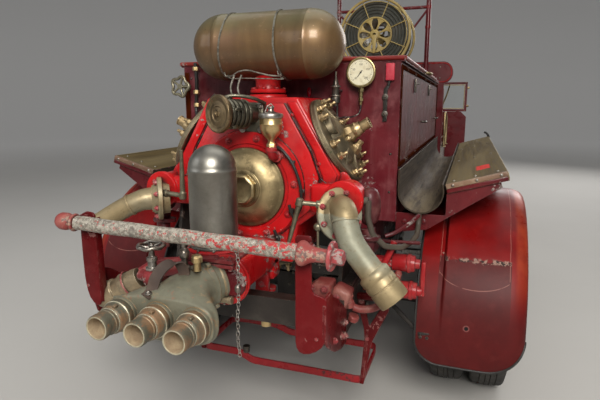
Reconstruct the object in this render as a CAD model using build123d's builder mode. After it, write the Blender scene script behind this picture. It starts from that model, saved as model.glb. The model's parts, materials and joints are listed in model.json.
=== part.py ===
from build123d import *
import os
from math import sin, cos, radians, pi, hypot, atan2, degrees, sqrt

os.makedirs("parts", exist_ok=True)

# ---------------------------------------------------------------- frame and driving sizes (mm)
# +Z up, +Y forward, +X to the vehicle's right. Origin: centre of the outline, on the ground.
# Stations run forward from the rear face of the body box; B is that face's y.
REAR_S = -1120.0          # mouths of the suction collecting head
FRONT_S = 4960.0          # noses of the dumb irons
B = -(REAR_S + FRONT_S) / 2

TYRE_R = 440.0            # rolling radius
RIM_R = 256.0
REAR_AXLE_S = 500.0
FRONT_AXLE_S = 4350.0
FRAME_X = 450.0           # outer face of a frame rail
FRAME_Z0, FRAME_Z1 = 620.0, 780.0
BODY_HW = 560.0           # body box half width
BODY_Z0, BODY_Z1 = 1000.0, 1740.0
BODY_LEN = 2420.0
BODY_T = 22.0             # body wall: boards with a steel skin
LID_S1 = 1960.0           # the lid covers stations 6 to 1960
GUARD_IN, GUARD_OUT = 684.0, 1155.0      # mudguard faces
PUMP_Z = 1185.0
TANK_R, TANK_Z, TANK_S = 150.0, 1785.0, -160.0
REEL_Z, REEL_R = 2150.0, 325.0
REEL_S0, REEL_S1 = 2270.0, 2610.0        # outer faces of the reel's flanges
KINGPIN_X = 800.0


def XZ(y):
    """upright plane across the vehicle: x = X, y = Z, extrudes to the rear"""
    return Plane(origin=(0, y, 0), x_dir=(1, 0, 0), z_dir=(0, -1, 0))


def YZ(x):
    """upright plane along the vehicle: x = Y, y = Z, extrudes to the right"""
    return Plane(origin=(x, 0, 0), x_dir=(0, 1, 0), z_dir=(1, 0, 0))


def XY(z):
    return Plane.XY.offset(z)


def rod(p, q, r):
    """round bar between two points"""
    a, b = Vector(*p), Vector(*q)
    d = b - a
    with Locations(Plane(origin=(a + b) * 0.5, z_dir=d).location):
        Cylinder(radius=r, height=d.length)


def block(x0, x1, y0, y1, z0, z1, mode=Mode.ADD):
    with Locations(((x0 + x1) / 2, (y0 + y1) / 2, (z0 + z1) / 2)):
        Box(abs(x1 - x0), abs(y1 - y0), abs(z1 - z0), mode=mode)


def disc(x, y, z, r, t, axis, mode=Mode.ADD):
    """round disc of thickness t centred on a point, axis 'X', 'Y' or 'Z'"""
    rot = {"X": (0, 90, 0), "Y": (90, 0, 0), "Z": (0, 0, 0)}[axis]
    with Locations((x, y, z)):
        Cylinder(radius=r, height=t, rotation=rot, mode=mode)


def save(p, name):
    p.part.label = name
    export_step(p.part, f"parts/{name}.step")


# ================================================================ chassis
# rail section, mm from the outer face: channel open to the inside
CH_W, CH_T = 70.0, 8.0
with BuildPart() as chassis_frame:
    for sd in (-1, 1):
        with BuildSketch(XZ(B - 620)):
            o, i = sd * FRAME_X, sd * (FRAME_X - CH_W)
            t = sd * CH_T
            Polygon((o, FRAME_Z0), (o, FRAME_Z1), (i, FRAME_Z1), (i, FRAME_Z1 - CH_T), (o - t, FRAME_Z1 - CH_T),
                    (o - t, FRAME_Z0 + CH_T), (i, FRAME_Z0 + CH_T), (i, FRAME_Z0), align=None)
        extrude(amount=-(620 + 4700))
        # dumb iron: the rail's forged nose, dropping to the front spring eye
        with BuildSketch(YZ(min(sd * FRAME_X, sd * (FRAME_X - CH_W)))):
            y = B + 4700
            Polygon((y, FRAME_Z0), (y, FRAME_Z1), (y + 90, 740), (y + 192, 740), (B + FRONT_S, 650),
                    (B + FRONT_S, 590), (y + 205, 590), (y + 195, FRAME_Z0), align=None)
        extrude(amount=CH_W)
    # cross members: station, depth along the rail
    for s, d in ((-560, 60), (60, 50), (560, 60), (1200, 60), (2000, 60), (2800, 60), (4640, 80)):
        block(-FRAME_X + CH_T, FRAME_X - CH_T, B + s - d / 2, B + s + d / 2, 664, FRAME_Z1 - CH_T)
    # bearers that carry the pump between the rail ends
    for sd in (-1, 1):
        with BuildSketch(YZ(min(sd * 386, sd * 402))):
            Polygon((B - 400, FRAME_Z1), (B - 30, FRAME_Z1), (B - 60, 1150), (B - 330, 1080), align=None)
        extrude(amount=16)
        block(sd * 386, sd * 446, B - 400, B - 30, FRAME_Z1, FRAME_Z1 + 14)
save(chassis_frame, "chassis_frame")

# spring packs: station of the axle, half length of each leaf from the top, leaf thickness
SPRINGS = ((REAR_AXLE_S, (600, 500, 400, 300, 190), 11.0, 505.0), (FRONT_AXLE_S, (520, 420, 320, 210), 10.0, 470.0))
SPRING_X = (378.0, 448.0)
with BuildPart() as leaf_springs:
    for s, halves, t, zc in SPRINGS:
        n = len(halves)
        rise = lambda u: (FRAME_Z0 - 30 - (zc + n * t)) * (u / halves[0]) ** 2
        for sd in (-1, 1):
            for k, h in enumerate(halves):
                z = zc + (n - 1 - k) * t
                us = [-h, -h * 0.5, 0, h * 0.5, h]
                with BuildSketch(YZ(min(sd * SPRING_X[0], sd * SPRING_X[1]))):
                    low = [(B + s + u, z + rise(u)) for u in us]
                    top = [(a, b + t) for a, b in reversed(low)]
                    Polygon(*low, *top, align=None)
                extrude(amount=SPRING_X[1] - SPRING_X[0])
            # eyes, hangers under the rail and the clamp round the middle
            for e in (-halves[0], halves[0]):
                disc(sd * 413, B + s + e, FRAME_Z0 - 30 + t * 0.5, 19, 70, "X")
                block(sd * 378, sd * 448, B + s + e - 14, B + s + e + 14, FRAME_Z0 - 30, FRAME_Z0)
            block(sd * 370, sd * 456, B + s - 60, B + s + 60, zc - 0.0, zc + n * t + 12)
save(leaf_springs, "leaf_springs")

# ---------------------------------------------------------------- axles
with BuildPart() as rear_axle:
    ys = B + REAR_AXLE_S
    disc(0, ys, TYRE_R, 52, 1360, "X")
    disc(0, ys, TYRE_R, 34, 2 * 1052, "X")                     # hub spindles
    with BuildSketch(XZ(ys)):
        with Locations((0, TYRE_R)):
            Circle(150)
            Rectangle(420, 150)
    extrude(amount=95, both=True)
    fillet(rear_axle.edges().filter_by(GeomType.CIRCLE).filter_by(lambda e: 145 < e.radius < 155), 30)
    disc(0, ys + 120, TYRE_R + 15, 70, 60, "Y")                # pinion nose
    for sd in (-1, 1):
        disc(sd * 660, ys, TYRE_R, 165, 36, "X")               # brake back plates
        block(sd * 378, sd * 448, ys - 55, ys + 55, 470, 505)  # spring seats
save(rear_axle, "rear_axle")

with BuildPart() as front_axle:
    yf = B + FRONT_AXLE_S
    # drop beam: X half stations and centre heights
    beam = ((0, 385), (330, 385), (420, 440), (640, 440), (772, 440))
    with BuildSketch(XZ(yf)):
        low = [(x, z - 30) for x, z in beam]
        top = [(x, z + 30) for x, z in reversed(beam)]
        Polygon(*low, *top, align=None)
        Polygon(*[(-x, z) for x, z in low + top], align=None)
    extrude(amount=32, both=True)
    for sd in (-1, 1):
        disc(sd * KINGPIN_X, yf, TYRE_R, 34, 96, "Z")
    for sd in (-1, 1):
        disc(sd * KINGPIN_X, yf, TYRE_R, 14.05, 120, "Z", Mode.SUBTRACT)
save(front_axle, "front_axle")

# ---------------------------------------------------------------- engine and drive
with BuildPart() as engine_block:
    block(-235, 235, B + 3810, B + 4590, 600, 1200)
    with BuildSketch(XY(1200)):
        with Locations((0, B + 4200)):
            Rectangle(300, 700)
    extrude(amount=90)
    fillet(engine_block.edges().filter_by(Axis.Y), 18)

with BuildPart() as transmission:
    # gearbox and propeller shaft behind it
    block(-150, 150, B + 3380, B + 3810, 540, 772)
    disc(0, B + 3340, 598, 75, 84, "Y")
    rod((0, B + 3300, 598), (0, B + REAR_AXLE_S + 152, TYRE_R + 15), 34)
    disc(0, B + REAR_AXLE_S + 165, TYRE_R + 17, 62, 26, "Y")
save(engine_block, "engine_and_drive")

with BuildPart() as exhaust:
    with BuildLine() as exl:
        FilletPolyline((-264, B + 3900, 690), (-300, B + 3700, 560), (-320, B + 3300, 540), (-320, B + 1300, 540),
                       (-320, B + 900, 562), (-320, B + 260, 562), (-326, B + 80, 530), radius=90)
    with BuildSketch(Plane(origin=exl.line @ 0, z_dir=exl.line % 0)):
        Circle(24)
    sweep()
    disc(-320, B + 2700, 540, 68, 620, "Y")
save(exhaust, "exhaust")

# ================================================================ body
# open box of boards, sills down to the rails, fixed deck at its front end
with BuildPart() as body_box:
    block(-BODY_HW, BODY_HW, B, B + BODY_LEN, BODY_Z0 - 20, BODY_Z1 - 24)
    block(-BODY_HW + BODY_T, BODY_HW - BODY_T, B + BODY_T, B + BODY_LEN - BODY_T, BODY_Z0, BODY_Z1 + 10, Mode.SUBTRACT)
    # fixed deck with its rolled lip
    block(-BODY_HW - 15, BODY_HW + 15, B + LID_S1 + 4, B + BODY_LEN, BODY_Z1 - 24, BODY_Z1)
    for sd in (-1, 1):
        block(sd * 390, sd * 448, B + 20, B + BODY_LEN - 20, FRAME_Z1, BODY_Z0 - 20)
save(body_box, "body_box")

with BuildPart() as body_lid:
    block(-BODY_HW - 15, BODY_HW + 15, B - 1, B + LID_S1, BODY_Z1 - 23.5, BODY_Z1 + 3)
    block(-BODY_HW - 7, BODY_HW + 7, B + 7, B + LID_S1 - 8, BODY_Z1 - 24.5, BODY_Z1 - 5, Mode.SUBTRACT)
    # hinge knuckles along the left edge
    for s in (200, 980, 1760):
        disc(-BODY_HW - 19, B + s, BODY_Z1 - 10, 6, 90, "Y")
save(body_lid, "body_lid")

# suction hose troughs: half round trays along both sides
TR_X, TR_Z, TR_R, TR_T = 672.0, 1135.0, 103.0, 5.0
with BuildPart() as hose_troughs:
    for sd in (-1, 1):
        with BuildSketch(XZ(B - 28)):
            # inner edge rises against the body, outer edge stops under the bench
            with BuildLine():
                a0, a1 = radians(20), radians(-180)
                po = lambda a, r: (sd * (TR_X + r * cos(a)), TR_Z + r * sin(a))
                ro, ri = TR_R, TR_R - TR_T
                ThreePointArc(po(a0, ro), po((a0 + a1) / 2, ro), po(a1, ro))
                Polyline(po(a1, ro), (sd * (TR_X - ro), TR_Z + 95), (sd * (TR_X - ri), TR_Z + 95), po(a1, ri))
                ThreePointArc(po(a1, ri), po((a0 + a1) / 2, ri), po(a0, ri))
                Line(po(a0, ri), po(a0, ro))
            make_face()
        extrude(amount=-2652)
save(hose_troughs, "hose_troughs")

# bench boards: tilted up outwards
BENCH = ((790.0, 1130.0), (1045.0, 1203.0))     # inner and outer lower corners (X, Z)
BENCH_T = 42.0
with BuildPart() as bench_boards:
    for sd in (-1, 1):
        (xa, za), (xb, zb) = BENCH
        L = hypot(xb - xa, zb - za)
        nx, nz = -(zb - za) / L * BENCH_T, (xb - xa) / L * BENCH_T
        with BuildSketch(XZ(B - 10)):
            Polygon((sd * xa, za), (sd * xb, zb), (sd * (xb + nx), zb + nz), (sd * (xa + nx), za + nz), align=None)
        extrude(amount=-2640)
save(bench_boards, "bench_boards")

# gusset brackets under trough and bench, at these stations
BRACKET_S = (2, 880, 1760, 2600)
with BuildPart() as bench_brackets:
    for sd in (-1, 1):
        for s in BRACKET_S:
            with BuildSketch(XZ(B + s)):
                Polygon((sd * 561, 1026), (sd * 786, 1026), (sd * 786, 1128), (sd * 1012, 1192.5),
                        (sd * 1016, 1178), (sd * 700, 962), (sd * 561, 940), align=None)
            extrude(amount=-8)
            with BuildSketch(XZ(B + s)):
                Polygon((sd * 561, 940), (sd * 700, 962), (sd * 1016, 1178), (sd * 1020, 1170), (sd * 704, 952), (sd * 561, 930), align=None)
            extrude(amount=-60)
save(bench_brackets, "bench_brackets")

# side lockers under the benches, open at the outer face
LK = dict(x0=600, x1=1040, s0=1120, s1=2640, z0=560, z1=925, t=16)
with BuildPart() as side_lockers:
    for sd in (-1, 1):
        block(sd * LK["x0"], sd * LK["x1"], B + LK["s0"], B + LK["s1"], LK["z0"], LK["z1"])
    for sd in (-1, 1):
        block(sd * (LK["x0"] + LK["t"]), sd * (LK["x1"] + 5), B + LK["s0"] + LK["t"], B + LK["s1"] - LK["t"],
              LK["z0"] + LK["t"], LK["z1"] - LK["t"], Mode.SUBTRACT)
    for sd in (-1, 1):     # bearers to the frame
        for s in (1300, 2450):
            block(sd * FRAME_X, sd * LK["x0"], B + s - 25, B + s + 25, 700, 760)
save(side_lockers, "side_lockers")

for sd, nm in ((-1, "locker_door_left"), (1, "locker_door_right")):
    with BuildPart() as locker_door:
        block(sd * 1042, sd * 1060, B + LK["s0"] + 6, B + LK["s1"] - 6, LK["z0"] + 8, LK["z1"] - 3)
        for s in (1300, 1880, 2460):
            disc(sd * 1062, B + s, LK["z0"] + 8, 7, 110, "Y")
        block(sd * 1060, sd * 1076, B + 1830, B + 1930, 880, 896)      # pull handle
    locker_door.part.label = nm
    export_step(locker_door.part, f"parts/{nm}.step")

with BuildPart() as running_boards:
    for sd in (-1, 1):
        block(sd * 640, sd * 1120, B + 1110, B + 3790, 500, 528)
        for s in (1200, 2000, 2800, 3600):
            block(sd * FRAME_X, sd * 1080, B + s - 25, B + s + 25, 470, 500)
            block(sd * FRAME_X, sd * (FRAME_X + 12), B + s - 25, B + s + 25, 470, 740)
save(running_boards, "running_boards")


# mudguards: arcs about the axles, thin, crowned towards the outside
G_T = 5.0
FG_R = 540.0
RG_A, RG_F = 650.0, 560.0                 # reach of a rear guard behind and ahead of its axle


# strips of a rear guard: X faces, height over the axle, thickness, drop all round
BANDS = (
    (GUARD_IN, 802, 583, G_T, 0),         # the strip under the trough is lower
    (796, 802, 650, 72, 0),               # its joining valance
    (800, 1092, 650, G_T, 0),             # crown
    (1087, 1092, 650, 31, 0),
    (1087, GUARD_OUT, 624, G_T, 26),      # shoulder
)
with BuildPart() as mudguards:
    for sd in (-1, 1):
        for x0, x1, h, t, drop in BANDS:
            y, z, lo, q = B + REAR_AXLE_S, TYRE_R, 360, cos(radians(45))
            a, f, b = RG_A - drop, RG_F - drop, h
            with BuildSketch(YZ(min(sd * x0, sd * x1))):
                with BuildLine():
                    Line((y - a, lo), (y - a, z))
                    ThreePointArc((y - a, z), (y - a * q, z + b * q), (y, z + b))
                    ThreePointArc((y, z + b), (y + f * q, z + b * q), (y + f, z))
                    Line((y + f, z), (y + f - t, z))
                    ThreePointArc((y + f - t, z), (y + (f - t) * q, z + (b - t) * q), (y, z + b - t))
                    ThreePointArc((y, z + b - t), (y - (a - t) * q, z + (b - t) * q), (y - a + t, z))
                    Line((y - a + t, z), (y - a + t, lo))
                    Line((y - a + t, lo), (y - a, lo))
                make_face()
            extrude(amount=x1 - x0)
        # lower corners: (centre X, centre Z, radius, side)
        for cx, cz, r, k in ((796, 472, 112, -1), (990, 525, 165, 1)):
            with BuildSketch(XZ(B - 90)):
                with Locations((sd * (cx + k * 100), cz - 100)):
                    Rectangle(200, 200)
                with Locations((sd * cx, cz)):
                    Circle(r, mode=Mode.SUBTRACT)
            extrude(amount=90, mode=Mode.SUBTRACT)
        # stays to the frame
        rod((sd * 466, B + 20, 650), (sd * 700, B - 147, 480), 11)
        rod((sd * 466, B + 500, 764), (sd * 700, B + 500, 1019), 11)
    for sd in (-1, 1):
        x0, x1 = 810.0, 1110.0
        with BuildSketch(YZ(min(sd * x0, sd * x1))):
            y, z, r = B + FRONT_AXLE_S, TYRE_R, FG_R
            f = radians(12)
            g = radians(150)
            with BuildLine():
                pf = lambda a, q: (y + q * cos(a), z + q * sin(a))
                ThreePointArc(pf(f, r), pf((f + g) / 2, r), pf(g, r))
                Line(pf(g, r), (B + 3790, 532))
                Line((B + 3790, 532), (B + 3790, 526))
                Line((B + 3790, 526), (B + 3797, 526))
                Line((B + 3797, 526), pf(g, r - G_T))
                ThreePointArc(pf(g, r - G_T), pf((f + g) / 2, r - G_T), pf(f, r - G_T))
                Line(pf(f, r - G_T), pf(f, r))
            make_face()
        extrude(amount=x1 - x0)
        rod((sd * 468, B + 4560, 735), (sd * 880, B + 4560, 930), 12)
        rod((sd * 468, B + 4000, 735), (sd * 860, B + 4040, 872), 12)
save(mudguards, "mudguards")

# ================================================================ cab
with BuildPart() as cab_floor:
    block(-620, 620, B + 2760, B + 3596, 782, 806)
    for sd in (-1, 1):       # steps from the running boards
        block(sd * 600, sd * 618, B + 2760, B + 3596, 700, 782)
    # hollow box under the seat
    block(-610, 610, B + 2762, B + 3180, 806, 1120)
    block(-590, 590, B + 2782, B + 3160, 806, 1100, Mode.SUBTRACT)
save(cab_floor, "cab_floor")

with BuildPart() as seat_cushion:
    block(-600, 600, B + 2845, B + 3200, 1121, 1235)
    fillet(seat_cushion.edges(), 30)
save(seat_cushion, "seat_cushion")

with BuildPart() as seat_backrest:
    with BuildSketch(YZ(-600)):
        Polygon((B + 2748, 1238), (B + 2838, 1238), (B + 2812, 1720), (B + 2748, 1720), align=None)
    extrude(amount=1200)
    fillet(seat_backrest.edges().filter_by(Axis.X), 18)
save(seat_backrest, "seat_backrest")

with BuildPart() as seat_back_panel:
    with BuildSketch(XZ(B + 2700)):
        with Locations((0, 1835)):
            RectangleRounded(1360, 205, 96)
        Polygon((-600, 806), (600, 806), (600, 1760), (-600, 1760), align=None)
    extrude(amount=-45)
save(seat_back_panel, "seat_back_panel")

# cowl sections, half width and height from the floor up: at the bulkhead, at the bonnet
COWL_A = ((620, 782), (620, 1180), (560, 1330), (440, 1412), (260, 1448))
COWL_B = ((450, 782), (450, 1180), (440, 1290), (370, 1370), (230, 1428))
with BuildPart() as scuttle:
    for inset, y0, y1, md in ((0, B + 3600, B + 3745, Mode.ADD), (8, B + 3610, B + 3737, Mode.SUBTRACT)):
        for y, rows in ((y0, COWL_A), (y1, COWL_B)):
            with BuildSketch(XZ(y)):
                r = [(x - inset, z - (inset if z > 800 else 20 * (inset > 0))) for x, z in rows]
                Polygon(*r, *[(-x, z) for x, z in reversed(r)], align=None)
        loft(ruled=True, mode=md)
    with BuildSketch(XZ(B + 3600)):
        Polygon((-812, 782), (812, 782), (812, 1400), (752, 1458), (-752, 1458), (-812, 1400), align=None)
    extrude(amount=-14)
save(scuttle, "scuttle")

with BuildPart() as windscreen:
    with BuildSketch(XZ(B + 3618)):
        with Locations((0, 1622)):
            Rectangle(1620, 324)
            Rectangle(1572, 276, mode=Mode.SUBTRACT)
            Rectangle(22, 300)
    extrude(amount=-24)
    for sd in (-1, 1):
        block(sd * 700, sd * 740, B + 3614, B + 3630, 1390, 1472)
save(windscreen, "windscreen")

with BuildPart() as windscreen_glass:
    for sd in (-1, 1):
        block(sd * 11.5, sd * 785.5, B + 3628, B + 3632, 1484.5, 1759.5)
save(windscreen_glass, "windscreen_glass")

STEER_X = 350.0
SW = (STEER_X, B + 3300, 1450.0)              # steering wheel hub
SLOPE = radians(40)
with BuildPart() as steering_column:
    sx = Vector(0, cos(SLOPE), -sin(SLOPE))
    a = Vector(*SW) + sx * 22
    b = Vector(*SW) + sx * ((B + 3556 - SW[1]) / cos(SLOPE))
    rod(tuple(a), tuple(b), 24)
    with Locations(Plane(origin=b, z_dir=sx).location):
        Cylinder(radius=42, height=16)
    block(STEER_X - 30, STEER_X + 30, B + 3560, B + 3600, b.Z - 50, b.Z + 10)
save(steering_column, "steering_column")

with BuildPart() as steering_wheel:
    pl = Plane(origin=SW, x_dir=(1, 0, 0), z_dir=tuple(sx * -1))
    with Locations(pl.location):
        Torus(215, 14)
        Cylinder(radius=38, height=34)
        for k in range(4):
            with Locations(Location((0, 0, 0), (0, 0, 90 * k + 45))):
                with Locations((120, 0, 0)):
                    Box(190, 22, 9)
save(steering_wheel, "steering_wheel")

# ---------------------------------------------------------------- radiator, bonnet
with BuildPart() as radiator:
    with BuildSketch(XZ(B + 4700)):
        Polygon((-350, 640), (350, 640), (362, 1180), (352, 1290), (300, 1375), (180, 1450), (-180, 1450), (-300, 1375), (-352, 1290), (-362, 1180), align=None)
    extrude(amount=-130)
    with BuildSketch(XZ(B + 4830)):
        with Locations((0, 1005)):
            RectangleRounded(560, 620, 40)
    extrude(amount=22, mode=Mode.SUBTRACT)
    disc(0, B + 4765, 1468, 42, 44, "Z")
save(radiator, "radiator")

# bonnet lids: sections at the scuttle and at the radiator, (X, Z) rows from the hinge down
BON_A = ((7, 1436), (232, 1426), (368, 1368), (438, 1290), (448, 1180), (448, 800))
BON_B = ((7, 1436), (182, 1426), (292, 1368), (350, 1290), (358, 1180), (356, 800))
for sd, nm in ((-1, "bonnet_left"), (1, "bonnet_right")):
    with BuildPart() as bonnet:
        for y0, rows in ((B + 3750, BON_A), (B + 4695, BON_B)):
            with BuildSketch(XZ(y0)):
                outer = [(sd * x, z) for x, z in rows]
                cut = ((0, -4), (-1, -4), (-3, -3), (-4, -1), (-4, 0), (-4, 0))
                inner = [(sd * (x + dx), z + dz) for (x, z), (dx, dz) in zip(rows, cut)]
                Polygon(*outer, *reversed(inner), align=None)
        loft(ruled=True)
        disc(sd * 7, B + 4222.5, 1434, 5, 940, "Y")            # hinge bead
    bonnet.part.label = nm
    export_step(bonnet.part, f"parts/{nm}.step")

with BuildPart() as headlamps:
    for sd in (-1, 1):
        with BuildSketch(YZ(sd * 540)):
            with BuildLine():
                y, z = B + 4860, 1080
                Line((y + 90, z), (y + 90, z + 122))
                Line((y + 90, z + 122), (y + 60, z + 122))
                ThreePointArc((y + 60, z + 122), (y - 30, z + 90), (y - 80, z))
                Line((y - 80, z), (y + 90, z))
            make_face()
        revolve(axis=Axis((sd * 540, B + 4860, 1080), (0, 1, 0)))
        rod((sd * 540, B + 4868, 880), (sd * 540, B + 4868, 1000), 14)
        rod((sd * 415, B + 4868, 740), (sd * 415, B + 4868, 880), 16)
    rod((-554, B + 4868, 880), (554, B + 4868, 880), 16)
save(headlamps, "headlamps")

# ================================================================ reel and ladder gantry
with BuildPart() as ladder_gantry:
    for sd in (-1, 1):
        rod((sd * 430, B + 2655, 1745), (sd * 430, B + 2655, 2590), 22)
        block(sd * 390, sd * 470, B + 2424, B + 2700, 1700, 1745)
        rod((sd * 430, B + 2655, 2420), (sd * 300, B + 2655, 2250), 10)
    rod((-452, B + 2655, 2430), (452, B + 2655, 2430), 15)
    rod((-300, B + 2655, 2250), (300, B + 2655, 2250), 10)
    disc(0, B + 2655, 2590, 30, 940, "X")

with BuildPart() as reel_stand:
    for s, zb in ((2222, BODY_Z1), (2655, None)):
        if zb:
            for sd in (-1, 1):
                rod((sd * 18, B + s, REEL_Z), (sd * 330, B + s, zb + 16), 13)
                block(sd * 300, sd * 380, B + s - 22, B + s + 22, zb, zb + 18)
            disc(0, B + s, REEL_Z, 45, 36, "Y")
    disc(0, B + 2430, REEL_Z, 15, 452, "Y")
    disc(0, B + 2660, REEL_Z, 40, 30, "Y")
    rod((0, B + 2655, REEL_Z), (0, B + 2655, 2240), 12)
save(ladder_gantry, "ladder_gantry")

with BuildPart() as hose_reel:
    for s in (REEL_S0, REEL_S1 - 14):
        with BuildSketch(XZ(B + s)):
            with Locations((0, REEL_Z)):
                Circle(REEL_R)
                Circle(15.05, mode=Mode.SUBTRACT)
                with PolarLocations(190, 8):
                    Circle(52, mode=Mode.SUBTRACT)
        extrude(amount=-14)
    with BuildSketch(XZ(B + REEL_S0)):
        with Locations((0, REEL_Z)):
            Circle(120)
            Circle(15.05, mode=Mode.SUBTRACT)
    extrude(amount=-(REEL_S1 - REEL_S0))
save(hose_reel, "hose_reel")

with BuildPart() as reel_hose:
    with BuildSketch(XZ(B + REEL_S0 + 16)):
        with Locations((0, REEL_Z)):
            Circle(292)
            Circle(120.3, mode=Mode.SUBTRACT)
    extrude(amount=-(REEL_S1 - REEL_S0 - 32))
save(reel_hose, "reel_hose")

# ================================================================ pump at the rear
# casing outline about the pump axis, (X, Z - PUMP_Z): flat top, two upper head faces, foot
CASE = ((205, 370), (384, 60), (350, -60), (205, -165), (180, -330))
HEADS = ((30, 200.0), (150, 200.0), (270, 185.0))       # angle of each cylinder, flange radius
HEAD_D = 363.0                                          # axis to head face
with BuildPart() as pump_casing:
    with BuildSketch(XZ(B - 40)):
        pts = [(x, PUMP_Z + z) for x, z in CASE]
        Polygon(*pts, *[(-x, z) for x, z in reversed(pts)], align=None)
    extrude(amount=370)
    # round front flange carrying the cover
    disc(0, B - 425, PUMP_Z, 236, 30, "Y")
    # side branches to the delivery valves
    disc(416, B - 400, 1155, 72, 120, "Y")
    block(300, 420, B - 450, B - 340, 1090, 1215)
    rod((-328, B - 398, 1112), (-423.4, B - 469.5, 1112), 66)
    block(-400, -300, B - 440, B - 340, 1052, 1172)
    # pedestal under the copper air vessel
    z0 = PUMP_Z + 370
    disc(-19, B + TANK_S, z0 + 8, 88, 16, "Z")
    disc(-19, B + TANK_S, (z0 + 1660) / 2, 58, 1660 - z0, "Z")
    disc(-19, B + TANK_S, z0 + 28, 82, 18, "Z")
    with Locations((0, B + TANK_S, TANK_Z)):
        Cylinder(radius=TANK_R + 0.3, height=900, rotation=(0, 90, 0), mode=Mode.SUBTRACT)
    # passage from the foot of the pump back to the collecting head
    block(-130, 130, B - 760, B - 412, 850, 975)
    block(-130, 130, B - 480, B - 400, 800, 900)
    disc(-30, B - 680, 985, 105, 24, "Z")                     # seat of the suction air vessel
    disc(60, B - 772, 897, 95, 26, "Y")
save(pump_casing, "pump_casing")

with BuildPart() as pump_heads:
    for ang, r in HEADS:
        n = Vector(cos(radians(ang)), 0, sin(radians(ang)))
        base = Vector(0, B - 210, PUMP_Z) + n * (HEAD_D if ang != 270 else 330.5)
        pl = Plane(origin=base, x_dir=(0, 1, 0), z_dir=n)
        with Locations(pl.location):
            with Locations((0, 0, 15)):
                Cylinder(radius=r, height=29)
            with Locations((0, 0, 48)):
                Cylinder(radius=80, height=44)
        if ang != 270:
            with Locations(pl.location):
                with Locations((0, 0, 100)):
                    Cylinder(radius=34, height=70)
                with Locations((0, 0, 150)):
                    Cylinder(radius=25, height=50)
save(pump_heads, "pump_heads")

with BuildPart() as pump_cover:
    # domed disc with a hexagonal boss, turned about the pump axis
    with BuildSketch(YZ(0)):
        with BuildLine():
            y0 = B - 440.5
            Line((y0, PUMP_Z), (y0, PUMP_Z + 167))
            Line((y0, PUMP_Z + 167), (y0 - 8, PUMP_Z + 167))
            ThreePointArc((y0 - 8, PUMP_Z + 167), (y0 - 32, PUMP_Z + 110), (y0 - 48, PUMP_Z + 60))
            Line((y0 - 48, PUMP_Z + 60), (y0 - 48, PUMP_Z))
            Line((y0 - 48, PUMP_Z), (y0, PUMP_Z))
        make_face()
    revolve(axis=Axis((0, 0, PUMP_Z), (0, 1, 0)))
    with BuildSketch(XZ(B - 480)):
        with Locations((0, PUMP_Z)):
            RegularPolygon(66, 8)
    extrude(amount=40)
save(pump_cover, "pump_cover")

with BuildPart() as air_tank:
    # copper air vessel lying across, round ends
    with BuildSketch(XZ(B + TANK_S)):
        with BuildLine():
            xl, xr = -378.0, 340.0
            a, b = xl + TANK_R, xr - TANK_R
            ThreePointArc((xl, TANK_Z), (a - TANK_R * sin(pi / 4), TANK_Z + TANK_R * cos(pi / 4)), (a, TANK_Z + TANK_R))
            Line((a, TANK_Z + TANK_R), (b, TANK_Z + TANK_R))
            ThreePointArc((b, TANK_Z + TANK_R), (b + TANK_R * sin(pi / 4), TANK_Z + TANK_R * cos(pi / 4)), (xr, TANK_Z))
            Line((xr, TANK_Z), (xl, TANK_Z))
        make_face()
    revolve(axis=Axis((0, B + TANK_S, TANK_Z), (1, 0, 0)))
save(air_tank, "air_tank")

with BuildPart() as suction_vessel:
    with BuildSketch(YZ(-30)):
        with BuildLine():
            y0, zt, r = B - 680, 1382.0, 92.0
            Line((y0, 997.5), (y0, zt))
            ThreePointArc((y0, zt), (y0 + r * sin(pi / 4), zt - r + r * cos(pi / 4)), (y0 + r, zt - r))
            Polyline((y0 + r, zt - r), (y0 + r, 997.5), (y0, 997.5))
        make_face()
    revolve(axis=Axis((-30, B - 680, 0), (0, 0, 1)))
save(suction_vessel, "suction_vessel")

INLETS = (-222.0, -78.0, 66.0)          # X of the three suction inlets
INLET_Z = 820.0
with BuildPart() as collecting_head:
    # flared body from the round neck to the row of inlets
    with BuildSketch(Plane(origin=(46, B - 830, 893), x_dir=(1, -0.35, 0), z_dir=(-0.35, -1, -0.15))):
        RectangleRounded(150, 150, 70)
    with BuildSketch(Plane(origin=(-42, B - 925, 822), x_dir=(1, 0, 0), z_dir=(0, -1, 0))):
        RectangleRounded(350, 200, 95)
    with BuildSketch(Plane(origin=(-78, B - 985, INLET_Z + 2), x_dir=(1, 0, 0), z_dir=(0, -1, 0))):
        RectangleRounded(400, 140, 66)
    loft(ruled=True)
    disc(56, B - 808, 897, 84, 45, "Y")
save(collecting_head, "collecting_head")

# stepped barrels on the head's rear face, with their rings: (station of the middle, radius, length)
BARREL = ((-1022.5, 51, 75), (-1090, 43, 60), (-1012, 56, 22))
with BuildPart() as suction_inlets:
    for x in INLETS:
        for s, r, length in BARREL:
            disc(x, B + s, INLET_Z, r, length, "Y")
    for x in INLETS:
        disc(x, B - 1080, INLET_Z, 34, 80.4, "Y", Mode.SUBTRACT)
save(suction_inlets, "suction_inlets")

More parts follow.
